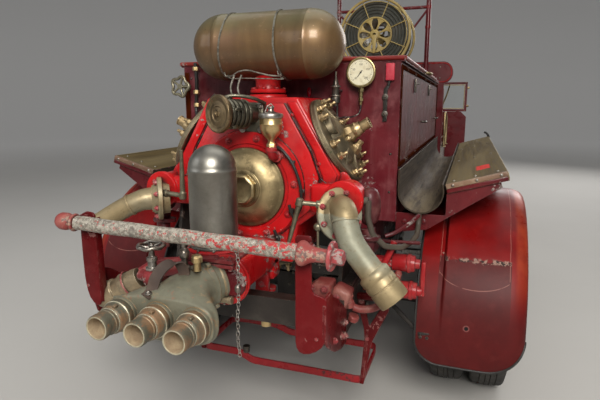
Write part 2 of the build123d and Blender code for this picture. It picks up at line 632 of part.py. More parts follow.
# delivery bends: start on the side branch, swing out and down
DR = ((416, B - 484, 1155), (422, B - 562, 1145), (462, B - 572, 1020), (626, B - 585, 850))
NL = Vector(-0.8, -0.6, 0)                # the left flange faces outwards and back
DL = ((-424, B - 470, 1112), (-492, B - 521, 1112), (-648, B - 596, 1012))
with BuildPart() as delivery_bends:
    disc(416, B - 471.5, 1155, 80, 22, "Y")
    disc(416, B - 500, 1155, 58, 40, "Y")
    with Locations(Plane(origin=Vector(*DL[0]) + NL * 11, z_dir=NL).location):
        Cylinder(radius=80, height=22)
    with Locations(Plane(origin=Vector(*DL[0]) + NL * 36, z_dir=NL).location):
        Cylinder(radius=58, height=40)
    for row, r in ((DR, 49), (DL, 45)):
        with BuildLine() as dl:
            FilletPolyline(*row, radius=56)
        with BuildSketch(Plane(origin=dl.line @ 0, z_dir=dl.line % 0)):
            Circle(r)
        sweep(path=dl.line)
    for row, r, h in ((DR, 62, 130), (DL, 47, 40)):
        d = (Vector(*row[-1]) - Vector(*row[-2])).normalized()
        with Locations(Plane(origin=Vector(*row[-1]) + d * (35 - h / 2), z_dir=d).location):
            Cylinder(radius=r, height=h)
    for row, r in ((DR, 40), (DL, 38)):
        d = (Vector(*row[-1]) - Vector(*row[-2])).normalized()
        with Locations(Plane(origin=Vector(*row[-1]) + d * 5, z_dir=d).location):
            Cylinder(radius=r, height=120, mode=Mode.SUBTRACT)
save(delivery_bends, "delivery_bends")

with BuildPart() as rear_rail:
    for sd in (-1, 1):
        # pressed channel: rear plate, tapering side web
        zr = 1094 - sd * 13
        lo = 0 if sd > 0 else 48
        with BuildSketch(XZ(B - 890)):
            Polygon((sd * 384, 790 + lo), (sd * 394, 750 + lo), (sd * 415, 728 + lo), (sd * 440, 740 + lo), (sd * 458, 780 + lo), (sd * 458, 1130), (sd * 440, 1140), (sd * 394, 1140), (sd * 384, 1130), align=None)
        extrude(amount=10)
        with BuildSketch(YZ(min(sd * 448, sd * 458))):
            Polygon((B - 895, 760 + lo), (B - 895, 1130), (B - 850, 1130), (B - 840, 950), (B - 760, 900), (B - 620, 780), (B - 620, 640), (B - 700, 660), (B - 850, 745 + lo), align=None)
        extrude(amount=10)
        disc(sd * 440, B - 930, zr, 36, 130, "X")            # boss for the rail
        disc(sd * 520, B - 930, zr, 24, 80, "X")
        disc(sd * 552, B - 930, zr, 40, 16, "X")
        block(sd * 380, sd * 458, B - 930, B - 880, zr - 20, zr + 20)
    # the tube across
    rod((-430, B - 930, 1107), (430, B - 930, 1081), 24)
save(rear_rail, "rear_rail")

with BuildPart() as guard_loop:
    # flat bar loop under the pump, rows (X, station, Z), bar 36 x 10
    near = ((-330, -305, 345), (-120, -305, 345), (-60, -305, 312), (488, -305, 312))
    far = ((-330, 30, 345), (-60, 30, 345), (0, 30, 312), (488, 30, 312))
    for row in (near, far):
        with BuildSketch(XZ(B + row[0][1] + 5)):
            low = [(p[0], p[2] - 18) for p in row]
            Polygon(*low, *[(x, z + 36) for x, z in reversed(low)], align=None)
        extrude(amount=10)
    block(478, 488, B - 310, B + 35, 294, 330)
    block(-330, -320, B - 310, B + 35, 327, 363)
    # forked hangers from arms on the rails, rows (X, Z)
    FORK = ((470, 300), (492, 300), (516, 530), (586, 660), (586, 700), (560, 700), (556, 666), (505, 572), (482, 666), (480, 700), (456, 700), (456, 660), (492, 540))
    for sd in (1, -1):
        with BuildSketch(XZ(B - 310)):
            Polygon(*[(x if sd > 0 else 158 - x, z if sd > 0 or z > 400 else z + 30) for x, z in FORK], align=None) if sd > 0 else \
                Polygon((-330, 330), (-308, 330), (-330, 470), (-400, 548), (-470, 636), (-470, 700), (-500, 700), (-500, 622), (-420, 530), (-352, 460), align=None)
        extrude(amount=12)
        block(sd * FRAME_X, sd * 590, B - 322, B - 298, 700, 726)
save(guard_loop, "guard_loop")

with BuildPart() as pressure_gauge:
    disc(387, B - 34, 1669, 64, 44, "Y")
    disc(387, B - 34, 1669, 68, 16, "Y")
    disc(387, B - 34, 1580, 9, 60, "Z")
    block(377, 397, B - 14, B, 1640, 1700)
save(pressure_gauge, "pressure_gauge")

# rubber drain hose from the valve's side to the underside of the trough: a U, 24 thick
HOSE_PTS = ((505, -395, 1150), (505, -395, 1080), (524, -388, 1010), (572, -360, 958), (628, -290, 940), (658, -180, 936), (669, -70, 942), (669, -15, 978), (669, -15, 1031.5))
with BuildPart() as drain_hose:
    with BuildLine() as hl:
        FilletPolyline(*[(x, B + s, z) for x, s, z in HOSE_PTS], radius=45)
    with BuildSketch(Plane(origin=hl.line @ 0, z_dir=hl.line % 0)):
        Circle(12)
    sweep()
    rod((490, B - 395, 1150), (505, B - 395, 1150), 15)
save(drain_hose, "drain_hose")

# ================================================================ wheels
# tyre half section: (distance from the middle plane / half width, radius)
TYRE_ROWS = ((0.80, RIM_R + 0.3), (0.96, 300), (1.0, 345), (0.95, 395), (0.84, 426), (0.62, 438), (0.0, TYRE_R))


def tyre_points(xc, w):
    right = [(xc + k * w / 2, TYRE_R + r) for k, r in TYRE_ROWS]
    left = [(xc - k * w / 2, TYRE_R + r) for k, r in reversed(TYRE_ROWS[:-1])]
    return right + left


TW = 186.0                # tyre width
FX = 932.0                # front tyre middle
RX = (826.0, 1030.0)      # twin rear tyres

for sd, nm in ((-1, "left"), (1, "right")):
    ax_f = Axis((0, B + FRONT_AXLE_S, TYRE_R), (1, 0, 0))
    ax_r = Axis((0, B + REAR_AXLE_S, TYRE_R), (1, 0, 0))
    with BuildPart() as tyre:
        with BuildSketch(XZ(B + FRONT_AXLE_S)):
            Polygon(*tyre_points(sd * FX, TW), align=None)
        revolve(axis=ax_f)
    tyre.part.label = f"tyre_front_{nm}"
    export_step(tyre.part, f"parts/tyre_front_{nm}.step")

    with BuildPart() as tyres:
        for x in RX:
            with BuildSketch(XZ(B + REAR_AXLE_S)):
                Polygon(*tyre_points(sd * x, TW), align=None)
            revolve(axis=ax_r)
    tyres.part.label = f"tyres_rear_{nm}"
    export_step(tyres.part, f"parts/tyres_rear_{nm}.step")

    with BuildPart() as wheel:
        # dished disc, rim and hub, half section rows (X, radius)
        with BuildSketch(XZ(B + FRONT_AXLE_S)):
            rows = ((FX - 74, RIM_R), (FX + 74, RIM_R), (FX + 74, RIM_R - 12), (FX + 20, RIM_R - 22), (FX + 34, 130), (FX + 40, 84),
                    (FX + 96, 78), (FX + 96, 24.05), (FX - 66, 24.05), (FX - 66, 100), (FX - 8, 100), (FX + 22, 128), (FX + 6, RIM_R - 26), (FX - 74, RIM_R - 14))
            Polygon(*[(sd * x, TYRE_R + r) for x, r in rows], align=None)
        revolve(axis=ax_f)
        disc(sd * (FX + 104), B + FRONT_AXLE_S, TYRE_R, 60, 16, "X")
    wheel.part.label = f"wheel_front_{nm}"
    export_step(wheel.part, f"parts/wheel_front_{nm}.step")

    with BuildPart() as wheel2:
        with BuildSketch(XZ(B + REAR_AXLE_S)):
            hub = ((706, 34.05), (706, 120), (745, 120), (752, RIM_R - 14), (752, RIM_R), (900, RIM_R), (900, RIM_R - 12), (905, RIM_R - 30), (918, 130),
                   (928, 130), (940, RIM_R - 30), (956, RIM_R - 12), (956, RIM_R), (1104, RIM_R), (1104, RIM_R - 12), (960, RIM_R - 34), (942, 130),
                   (942, 95), (1066, 90), (1066, 34.05))
            Polygon(*[(sd * x, TYRE_R + r) for x, r in hub], align=None)
        revolve(axis=ax_r)
        disc(sd * 1072, B + REAR_AXLE_S, TYRE_R, 70, 12, "X")
    wheel2.part.label = f"wheels_rear_{nm}"
    export_step(wheel2.part, f"parts/wheels_rear_{nm}.step")

    # steering knuckle: kingpin, fork, spindle and arm
    with BuildPart() as knuckle:
        y = B + FRONT_AXLE_S
        disc(sd * KINGPIN_X, y, TYRE_R, 14, 150, "Z")
        for z in (TYRE_R + 66, TYRE_R - 66):
            block(sd * 770, sd * 850, y - 30, y + 30, z - 14, z + 14)
        block(sd * 838, sd * 858, y - 30, y + 30, TYRE_R - 80, TYRE_R + 80)
        rod((sd * 850, y, TYRE_R), (sd * 1020, y, TYRE_R), 24)
        block(sd * 786, sd * 814, y - 165, y - 10, TYRE_R - 78, TYRE_R - 54)
        disc(sd * KINGPIN_X, y - 170, TYRE_R - 66, 20, 24, "Z")
        disc(sd * KINGPIN_X, y - 170, TYRE_R - 84, 9, 36, "Z")
    knuckle.part.label = f"knuckle_{nm}"
    export_step(knuckle.part, f"parts/knuckle_{nm}.step")

with BuildPart() as track_rod:
    y, z = B + FRONT_AXLE_S - 170, TYRE_R - 92
    rod((-784, y, z), (784, y, z), 9.5)
    for sd in (-1, 1):
        disc(sd * KINGPIN_X, y, z, 22, 22, "Z")
    for sd in (-1, 1):
        disc(sd * KINGPIN_X, y, z, 9.06, 40, "Z", Mode.SUBTRACT)
save(track_rod, "track_rod")
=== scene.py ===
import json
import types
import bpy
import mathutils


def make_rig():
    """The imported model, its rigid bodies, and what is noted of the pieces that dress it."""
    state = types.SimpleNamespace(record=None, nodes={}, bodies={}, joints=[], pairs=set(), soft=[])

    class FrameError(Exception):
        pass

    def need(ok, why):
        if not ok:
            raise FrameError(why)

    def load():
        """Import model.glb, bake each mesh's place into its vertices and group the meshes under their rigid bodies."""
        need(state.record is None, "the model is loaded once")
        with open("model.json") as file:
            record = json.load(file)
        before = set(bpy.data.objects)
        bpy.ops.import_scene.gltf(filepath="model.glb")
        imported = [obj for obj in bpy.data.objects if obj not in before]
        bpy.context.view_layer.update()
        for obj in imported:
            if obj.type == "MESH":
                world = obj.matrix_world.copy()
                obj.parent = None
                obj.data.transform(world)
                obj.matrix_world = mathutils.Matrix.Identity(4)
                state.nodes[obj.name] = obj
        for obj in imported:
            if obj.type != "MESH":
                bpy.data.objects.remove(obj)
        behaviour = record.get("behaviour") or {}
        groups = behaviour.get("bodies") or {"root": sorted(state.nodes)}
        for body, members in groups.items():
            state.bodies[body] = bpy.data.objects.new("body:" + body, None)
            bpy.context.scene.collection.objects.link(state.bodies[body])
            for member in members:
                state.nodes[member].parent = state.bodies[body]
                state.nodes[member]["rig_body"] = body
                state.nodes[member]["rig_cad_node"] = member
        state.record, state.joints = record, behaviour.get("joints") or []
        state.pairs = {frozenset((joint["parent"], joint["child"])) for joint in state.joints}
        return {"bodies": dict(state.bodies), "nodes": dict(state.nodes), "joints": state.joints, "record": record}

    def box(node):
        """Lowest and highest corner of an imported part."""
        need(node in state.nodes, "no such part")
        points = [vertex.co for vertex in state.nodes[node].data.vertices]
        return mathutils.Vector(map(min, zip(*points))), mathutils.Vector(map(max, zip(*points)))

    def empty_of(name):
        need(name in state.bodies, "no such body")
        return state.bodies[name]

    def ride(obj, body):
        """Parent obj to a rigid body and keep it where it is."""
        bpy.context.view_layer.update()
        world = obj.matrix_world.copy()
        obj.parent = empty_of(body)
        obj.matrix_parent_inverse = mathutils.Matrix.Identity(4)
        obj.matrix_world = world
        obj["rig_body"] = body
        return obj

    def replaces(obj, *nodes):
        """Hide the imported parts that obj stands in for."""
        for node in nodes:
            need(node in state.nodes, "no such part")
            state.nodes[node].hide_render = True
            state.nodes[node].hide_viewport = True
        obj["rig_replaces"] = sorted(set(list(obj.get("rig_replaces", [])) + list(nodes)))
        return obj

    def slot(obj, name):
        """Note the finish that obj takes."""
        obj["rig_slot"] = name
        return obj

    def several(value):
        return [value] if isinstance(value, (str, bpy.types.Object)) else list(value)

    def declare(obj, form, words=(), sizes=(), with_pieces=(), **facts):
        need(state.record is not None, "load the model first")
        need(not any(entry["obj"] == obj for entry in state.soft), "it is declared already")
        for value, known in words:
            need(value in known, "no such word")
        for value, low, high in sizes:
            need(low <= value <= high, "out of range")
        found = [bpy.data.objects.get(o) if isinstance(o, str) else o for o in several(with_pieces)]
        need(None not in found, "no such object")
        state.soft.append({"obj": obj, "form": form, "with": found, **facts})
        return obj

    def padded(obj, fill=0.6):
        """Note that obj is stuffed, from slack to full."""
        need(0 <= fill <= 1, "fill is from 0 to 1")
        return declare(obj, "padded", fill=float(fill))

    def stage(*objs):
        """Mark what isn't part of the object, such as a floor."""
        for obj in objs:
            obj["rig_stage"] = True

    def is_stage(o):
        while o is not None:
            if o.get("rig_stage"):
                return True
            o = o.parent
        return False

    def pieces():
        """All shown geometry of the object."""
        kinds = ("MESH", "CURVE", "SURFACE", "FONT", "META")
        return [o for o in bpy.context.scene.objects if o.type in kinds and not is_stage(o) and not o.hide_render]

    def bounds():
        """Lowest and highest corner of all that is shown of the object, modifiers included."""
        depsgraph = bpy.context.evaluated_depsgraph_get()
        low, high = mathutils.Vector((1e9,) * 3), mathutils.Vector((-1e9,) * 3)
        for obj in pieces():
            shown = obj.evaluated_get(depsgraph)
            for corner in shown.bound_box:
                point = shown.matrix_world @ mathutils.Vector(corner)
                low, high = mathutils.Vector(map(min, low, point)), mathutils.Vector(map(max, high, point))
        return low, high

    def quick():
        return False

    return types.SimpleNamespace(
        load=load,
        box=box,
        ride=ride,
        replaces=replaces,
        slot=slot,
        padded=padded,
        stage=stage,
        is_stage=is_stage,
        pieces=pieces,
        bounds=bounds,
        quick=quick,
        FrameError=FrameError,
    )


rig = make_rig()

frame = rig.load()
import json
import math
import random
import bmesh
import bpy
import numpy as np
from math import sin, cos, pi, radians, sqrt, hypot, atan2
from mathutils import Vector, Matrix, Quaternion

CAD_LO, CAD_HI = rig.bounds()
NODES = frame["nodes"]
random.seed(7)
Y0 = -1.92                       # y of the body box's rear face: stations run forward from it


def P(x, s, z):
    """point from X, station, Z in metres"""
    return Vector((x, s + Y0, z))


# ---------------------------------------------------------------- shape helpers
def basis(origin, axis, hint=None):
    """matrix whose Z runs along axis"""
    z = Vector(axis).normalized()
    h = Vector(hint) if hint is not None else (Vector((0, 0, 1)) if abs(z.z) < 0.9 else Vector((0, 1, 0)))
    x = (h - z * h.dot(z)).normalized()
    y = z.cross(x)
    m = Matrix((x, y, z)).transposed().to_4x4()
    m.translation = Vector(origin)
    return m


def curve_pts(pts, n=8, closed=False):
    """smooth line through points"""
    p = [Vector(q) for q in pts]
    out = []
    cnt = len(p) if closed else len(p) - 1
    for i in range(cnt):
        if closed:
            a, b, c, d = p[i - 1], p[i], p[(i + 1) % len(p)], p[(i + 2) % len(p)]
        else:
            b, c = p[i], p[i + 1]
            a = p[i - 1] if i > 0 else b * 2 - c
            d = p[i + 2] if i + 2 < len(p) else c * 2 - b
        for k in range(n):
            t = k / n
            out.append(0.5 * ((2 * b) + (c - a) * t + (2 * a - 5 * b + 4 * c - d) * t * t + (3 * b - a - 3 * c + d) * t ** 3))
    if not closed:
        out.append(p[-1].copy())
    return out


def arc(cx, cz, r, a0, a1, n=12):
    """points (u, v) on an arc, degrees"""
    return [(cx + r * cos(radians(a0 + (a1 - a0) * i / n)), cz + r * sin(radians(a0 + (a1 - a0) * i / n))) for i in range(n + 1)]


class Piece:
    """one mesh made of several shapes, with numbered materials"""

    def __init__(self, name):
        self.name, self.v, self.f, self.m, self.mi = name, [], [], [], 0

    def add(self, verts, faces, mat=None):
        o = len(self.v)
        self.v += [tuple(v) for v in verts]
        self.f += [tuple(i + o for i in f) for f in faces]
        self.m += [self.mi if mat is None else mat] * len(faces)
        return self

    def add_bm(self, bm, M=None):
        bm.verts.index_update()
        vs = [(M @ v.co) if M else v.co.copy() for v in bm.verts]
        self.add(vs, [[v.index for v in f.verts] for f in bm.faces])
        bm.free()
        return self

    def lathe(self, prof, origin, axis, seg=40, hint=None, a0=0.0, sx=1.0, sy=1.0):
        """turned shape: rows of (height along the axis, radius)"""
        M = basis(origin, axis, hint)
        vs, fs, rows = [], [], []
        for h, r in prof:
            if r < 1e-7:
                rows.append([len(vs)])
                vs.append(M @ Vector((0, 0, h)))
            else:
                rows.append(list(range(len(vs), len(vs) + seg)))
                for k in range(seg):
                    a = a0 + 2 * pi * k / seg
                    vs.append(M @ Vector((r * cos(a) * sx, r * sin(a) * sy, h)))
        for A, Bq in zip(rows, rows[1:]):
            if len(A) == 1 and len(Bq) == 1:
                continue
            for k in range(seg):
                j = (k + 1) % seg
                if len(A) == 1:
                    fs.append((A[0], Bq[k], Bq[j]))
                elif len(Bq) == 1:
                    fs.append((A[k], A[j], Bq[0]))
                else:
                    fs.append((A[k], A[j], Bq[j], Bq[k]))
        return self.add(vs, fs)

    def tube(self, pts, r, seg=14, caps=True, closed=False, radii=None, ry=None):
        """round bar along points; ry gives an oval section"""
        p = [Vector(q) for q in pts]
        n = len(p)
        tang = []
        for i in range(n):
            if closed:
                t = p[(i + 1) % n] - p[i - 1]
            else:
                t = p[min(i + 1, n - 1)] - p[max(i - 1, 0)]
            tang.append(t.normalized())
        h = Vector((0, 0, 1)) if abs(tang[0].z) < 0.9 else Vector((1, 0, 0))
        x = (h - tang[0] * h.dot(tang[0])).normalized()
        vs, fs = [], []
        for i in range(n):
            if i:
                q = tang[i - 1].rotation_difference(tang[i])
                x = (q @ x)
                x = (x - tang[i] * x.dot(tang[i])).normalized()
            y = tang[i].cross(x)
            rr = radii[i] if radii else r
            r2 = rr * (ry / r) if ry else rr
            for k in range(seg):
                a = 2 * pi * k / seg
                vs.append(p[i] + x * rr * cos(a) + y * r2 * sin(a))
        last = n if closed else n - 1
        for i in range(last):
            A, Bq = i * seg, ((i + 1) % n) * seg
            for k in range(seg):
                j = (k + 1) % seg
                fs.append((A + k, A + j, Bq + j, Bq + k))
        if caps and not closed:
            fs.append(tuple(range(seg))[::-1])
            fs.append(tuple(range((n - 1) * seg, n * seg)))
        return self.add(vs, fs)

    def solid(self, pts, depth, bev=0.0, seg=2):
        """flat outline pushed along a vector, edges rounded"""
        bm = bmesh.new()
        f = bm.faces.new([bm.verts.new(Vector(q)) for q in pts])
        r = bmesh.ops.extrude_face_region(bm, geom=[f])
        for g in r["geom"]:
            if isinstance(g, bmesh.types.BMVert):
                g.co += Vector(depth)
        bmesh.ops.recalc_face_normals(bm, faces=bm.faces[:])
        if bev:
            sharp = [e for e in bm.edges if len(e.link_faces) == 2 and e.calc_face_angle(0) > 0.5]
            bmesh.ops.bevel(bm, geom=sharp, offset=bev, segments=seg, profile=0.5, affect="EDGES", clamp_overlap=True)
        return self.add_bm(bm)

    def box(self, c, size, rot=None, bev=0.003, seg=2):
        """block with rounded edges; rot is a 3x3 or 4x4 matrix"""
        bm = bmesh.new()
        bmesh.ops.create_cube(bm, size=1.0)
        for v in bm.verts:
            v.co = Vector((v.co.x * size[0], v.co.y * size[1], v.co.z * size[2]))
        if bev:
            bmesh.ops.bevel(bm, geom=bm.edges[:], offset=min(bev, min(size) * 0.45), segments=seg, profile=0.5, affect="EDGES")
        M = Matrix.Translation(Vector(c))
        if rot is not None:
            M = M @ rot.to_4x4()
        return self.add_bm(bm, M)

    def hexbolt(self, pos, axis, r=0.01, h=0.008, washer=0.0, dome=False, seg=6, spin=None):
        """bolt head or nut on a washer; r is across corners / 2"""
        a0 = random.random() * 6.28 if spin is None else spin
        z = 0.0
        if washer:
            self.lathe([(0, 0), (0, washer), (r * 0.18, washer), (r * 0.22, washer * 0.93), (r * 0.22, 0)], pos, axis, seg=18)
            z = r * 0.2
        prof = [(z, 0), (z, r), (z + h * 0.8, r), (z + h, r * 0.84), (z + h, 0)]
        self.lathe(prof, pos, axis, seg=seg, a0=a0)
        if dome:
            self.lathe([(z + h, r * 0.52), (z + h * 1.25, r * 0.5), (z + h * 1.5, r * 0.3), (z + h * 1.55, 0)], pos, axis, seg=12)
        return self

    def rivet(self, pos, axis, r=0.006):
        return self.lathe([(0, r), (r * 0.35, r * 0.88), (r * 0.6, r * 0.5), (r * 0.68, 0)], pos, axis, seg=10)

    def sheet(self, rows, thick=0.0, closed_u=False):
        """surface through rows of points, thickened along its normals"""
        n, m = len(rows), len(rows[0])
        grid = [[Vector(q) for q in r] for r in rows]
        vs = [q for r in grid for q in r]
        fs = []
        for i in range(n - 1):
            for j in range(m if closed_u else m - 1):
                k = (j + 1) % m
                fs.append((i * m + j, i * m + k, (i + 1) * m + k, (i + 1) * m + j))
        if not thick:
            return self.add(vs, fs)
        nor = [Vector((0, 0, 0)) for _ in vs]
        for f in fs:
            a, b, c, d = (vs[i] for i in f)
            q = (c - a).cross(d - b)
            for i in f:
                nor[i] += q
        low = [v - nn.normalized() * thick if nn.length > 0 else v for v, nn in zip(vs, nor)]
        o = len(vs)
        allf = list(fs) + [tuple(i + o for i in reversed(f)) for f in fs]
        if not closed_u:
            for i in range(n - 1):
                for j in (0, m - 1):
                    a, b = i * m + j, (i + 1) * m + j
                    allf.append((a, b, b + o, a + o) if j == 0 else (b, a, a + o, b + o))
        for j in range(m if closed_u else m - 1):
            k = (j + 1) % m
            for i in (0, n - 1):
                a, b = i * m + j, i * m + k
                allf.append((b, a, a + o, b + o) if i == 0 else (a, b, b + o, a + o))
        return self.add(vs + low, allf)

    def done(self, mats, body="chassis", slot=None, angle=38, bevel=0.0, subsurf=0, replaces=(), merge=1e-6):
        me = bpy.data.meshes.new(self.name)
        me.from_pydata(self.v, [], self.f)
        me.polygons.foreach_set("material_index", self.m)
        me.update()
        bm = bmesh.new()
        bm.from_mesh(me)
        if merge:
            bmesh.ops.remove_doubles(bm, verts=bm.verts[:], dist=merge)
        bmesh.ops.recalc_face_normals(bm, faces=bm.faces[:])
        bm.to_mesh(me)
        bm.free()
        for mt in (mats if isinstance(mats, (list, tuple)) else [mats]):
            me.materials.append(mt)
        me.shade_smooth()
        me.set_sharp_from_angle(angle=radians(angle))
        o = bpy.data.objects.new(self.name, me)
        bpy.context.scene.collection.objects.link(o)
        if subsurf:
            sb = o.modifiers.new("sub", "SUBSURF")
            sb.levels = sb.render_levels = subsurf
        if bevel:
            bv = o.modifiers.new("bevel", "BEVEL")
            bv.width, bv.segments, bv.limit_method, bv.angle_limit = bevel, 2, "ANGLE", radians(40)
            bv.use_clamp_overlap = True
            bv.harden_normals = False
        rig.ride(o, body)
        if slot:
            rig.slot(o, slot)
        if replaces:
            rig.replaces(o, *replaces)
        return o


# ---------------------------------------------------------------- node-based materials
class Mat:
    def __init__(self, name):
        self.m = bpy.data.materials.new(name)
        self.m.use_nodes = True
        self.t = self.m.node_tree
        self.b = next(n for n in self.t.nodes if n.type == "BSDF_PRINCIPLED")
        self.co = self.node("ShaderNodeTexCoord").outputs["Object"]
        self._edge = {}
        self._ao = {}

    def node(self, typ, inp=None, **props):
        n = self.t.nodes.new(typ)
        for k, v in props.items():
            setattr(n, k, v)
        for k, v in (inp or {}).items():
            self.put(n.inputs[k], v)
        return n

    def put(self, sock, v):
        if isinstance(v, bpy.types.NodeSocket):
            self.t.links.new(v, sock)
        elif isinstance(v, (tuple, list)) and len(v) == 3 and sock.type == "RGBA":
            sock.default_value = (*v, 1.0)
        else:
            sock.default_value = v

    def map(self, scale=(1, 1, 1), rot=(0, 0, 0), loc=(0, 0, 0), co=None):
        return self.node("ShaderNodeMapping", {"Vector": co or self.co, "Scale": scale, "Rotation": rot, "Location": loc}).outputs[0]

    def noise(self, scale, detail=3.0, rough=0.55, dist=0.0, co=None):
        return self.node("ShaderNodeTexNoise", {"Vector": co or self.co, "Scale": scale, "Detail": detail, "Roughness": rough, "Distortion": dist}).outputs["Fac"]

    def vor(self, scale, feature="F1", co=None, rnd=1.0):
        return self.node("ShaderNodeTexVoronoi", {"Vector": co or self.co, "Scale": scale, "Randomness": rnd}, feature=feature).outputs["Distance"]

    def wave(self, scale, dist=2.0, detail=2.0, dscale=1.0, co=None, direction="X", kind="BANDS"):
        p = {"bands_direction": direction} if kind == "BANDS" else {"rings_direction": direction}
        return self.node("ShaderNodeTexWave", {"Vector": co or self.co, "Scale": scale, "Distortion": dist, "Detail": detail, "Detail Scale": dscale}, wave_type=kind, **p).outputs["Fac"]

    def step(self, fac, lo, hi, a=0.0, b=1.0):
        n = self.node("ShaderNodeMapRange", {0: fac, 1: lo, 2: hi, 3: a, 4: b}, interpolation_type="SMOOTHSTEP")
        return n.outputs[0]

    def mix(self, fac, a, b, mode="MIX"):
        n = self.node("ShaderNodeMix", data_type="RGBA", blend_type=mode)
        self.put(n.inputs[0], fac)
        self.put(n.inputs[6], a)
        self.put(n.inputs[7], b)
        return n.outputs[2]

    def math(self, op, a, b=0.0, clamp=False):
        n = self.node("ShaderNodeMath", {0: a, 1: b}, operation=op, use_clamp=clamp)
        return n.outputs[0]

    def mul(self, a, b):
        return self.math("MULTIPLY", a, b)

    def add(self, a, b):
        return self.math("ADD", a, b, True)

    def sub(self, a, b):
        return self.math("SUBTRACT", a, b, True)

    def xyz(self, co=None):
        return self.node("ShaderNodeSeparateXYZ", {0: co or self.co}).outputs

    def edge(self, r=0.004, lo=0.02, hi=0.25):
        """bright on convex and concave edges"""
        if r not in self._edge:
            bv = self.node("ShaderNodeBevel", {"Radius": r}, samples=4)
            geo = self.node("ShaderNodeNewGeometry")
            d = self.node("ShaderNodeVectorMath", {0: bv.outputs[0], 1: geo.outputs["Normal"]}, operation="DOT_PRODUCT").outputs["Value"]
            self._edge[r] = (bv.outputs[0], self.math("SUBTRACT", 1.0, d))
        return self.step(self._edge[r][1], lo, hi)

    def bevel_normal(self, r=0.003):
        self.edge(r)
        return self._edge[r][0]

    def ao(self, d=0.05):
        """1 in the open, 0 in a crevice"""
        if d not in self._ao:
            self._ao[d] = self.node("ShaderNodeAmbientOcclusion", {"Distance": d}, samples=4).outputs["AO"]
        return self._ao[d]

    def bump(self, layers, normal=None):
        """layers of (height, strength, distance)"""
        for h, st, dist in layers:
            n = self.node("ShaderNodeBump", {"Height": h, "Strength": st, "Distance": dist})
            if normal is not None:
                self.put(n.inputs["Normal"], normal)
            normal = n.outputs[0]
        return normal

    def out(self, color=None, rough=None, metal=None, normal=None, **const):
        for k, v in (("Base Color", color), ("Roughness", rough), ("Metallic", metal), ("Normal", normal)):
            if v is not None:
                self.put(self.b.inputs[k], v)
        for k, v in const.items():
            self.b.inputs[k.replace("_", " ")].default_value = v
        return self.m


def paint(name, base, dark, light, rough=(0.25, 0.5), primer=(0.32, 0.27, 0.25), metal=(0.12, 0.1, 0.09), chips=0.5, crevice_dark=0.7,
          spots=0.25, scuff=0.4, bevel=0.003, shade_tint=(0.02, 0.012, 0.01), vary=2.3, coat=0.25, orange=0.12, streak=0.0, spec=0.26):
    """old gloss paint: fading, scuffs, chips to primer along edges, painted shade darkening the corners in patches"""
    m = Mat(name)
    c = m.mix(m.step(m.noise(vary, 4, 0.6), 0.3, 0.72), base, dark)
    c = m.mix(m.mul(m.step(m.noise(vary * 4.1, 5, 0.65, 0.4), 0.45, 0.75), scuff), c, light)
    if streak:
        st = m.noise(1.0, 4, 0.6, co=m.map((26, 26, 2.2)))
        c = m.mix(m.mul(m.step(st, 0.5, 0.8), streak), c, light)
    scr = m.step(m.noise(1.0, 6, 0.7, co=m.map((9, 9, 160), rot=(0.5, 0.35, 0.2))), 0.655, 0.70)
    scr = m.mul(scr, m.step(m.noise(3.1, 2), 0.5, 0.62))
    c = m.mix(m.mul(scr, 0.55), c, light)
    # painted shade: colour darkened towards a dark tint where ambient occlusion finds corners and crevices, broken into
    # noise patches
    cr = m.step(m.ao(0.06), 0.25, 0.85)
    corner_shade = m.mul(m.sub(1.0, cr), crevice_dark)
    corner_shade = m.mul(corner_shade, m.step(m.noise(14, 4, 0.7), 0.25, 0.6))
    c = m.mix(corner_shade, c, shade_tint)
    nz = m.noise(38, 6, 0.72)
    edge = m.edge(bevel * 1.6, 0.015, 0.16)
    chip = m.mul(edge, m.step(nz, 0.60 - 0.16 * chips, 0.66 - 0.16 * chips))
    spot = m.step(m.mul(m.noise(60, 3, 0.6), m.step(m.noise(5, 3), 0.42, 0.7)), 0.50 - 0.10 * spots, 0.53 - 0.10 * spots) if spots else None
    if spot is not None:
        chip = m.math("MAXIMUM", chip, m.mul(spot, 0.8))
    under = m.mix(m.step(m.noise(90, 3), 0.45, 0.55), primer, metal)
    c = m.mix(chip, c, under)
    r = m.step(m.noise(11, 5, 0.6), 0.3, 0.7, rough[0], rough[1])
    r = m.math("MAXIMUM", r, m.mul(m.add(chip, corner_shade), 0.75))
    n = m.bump([(m.noise(170, 2), orange, 0.0006), (m.sub(1.0, chip), 0.5, 0.0008)], m.bevel_normal(bevel))
    return m.out(c, r, 0.0, n, Coat_Weight=coat * 0.35, Coat_Roughness=0.16, Specular_IOR_Level=spec)


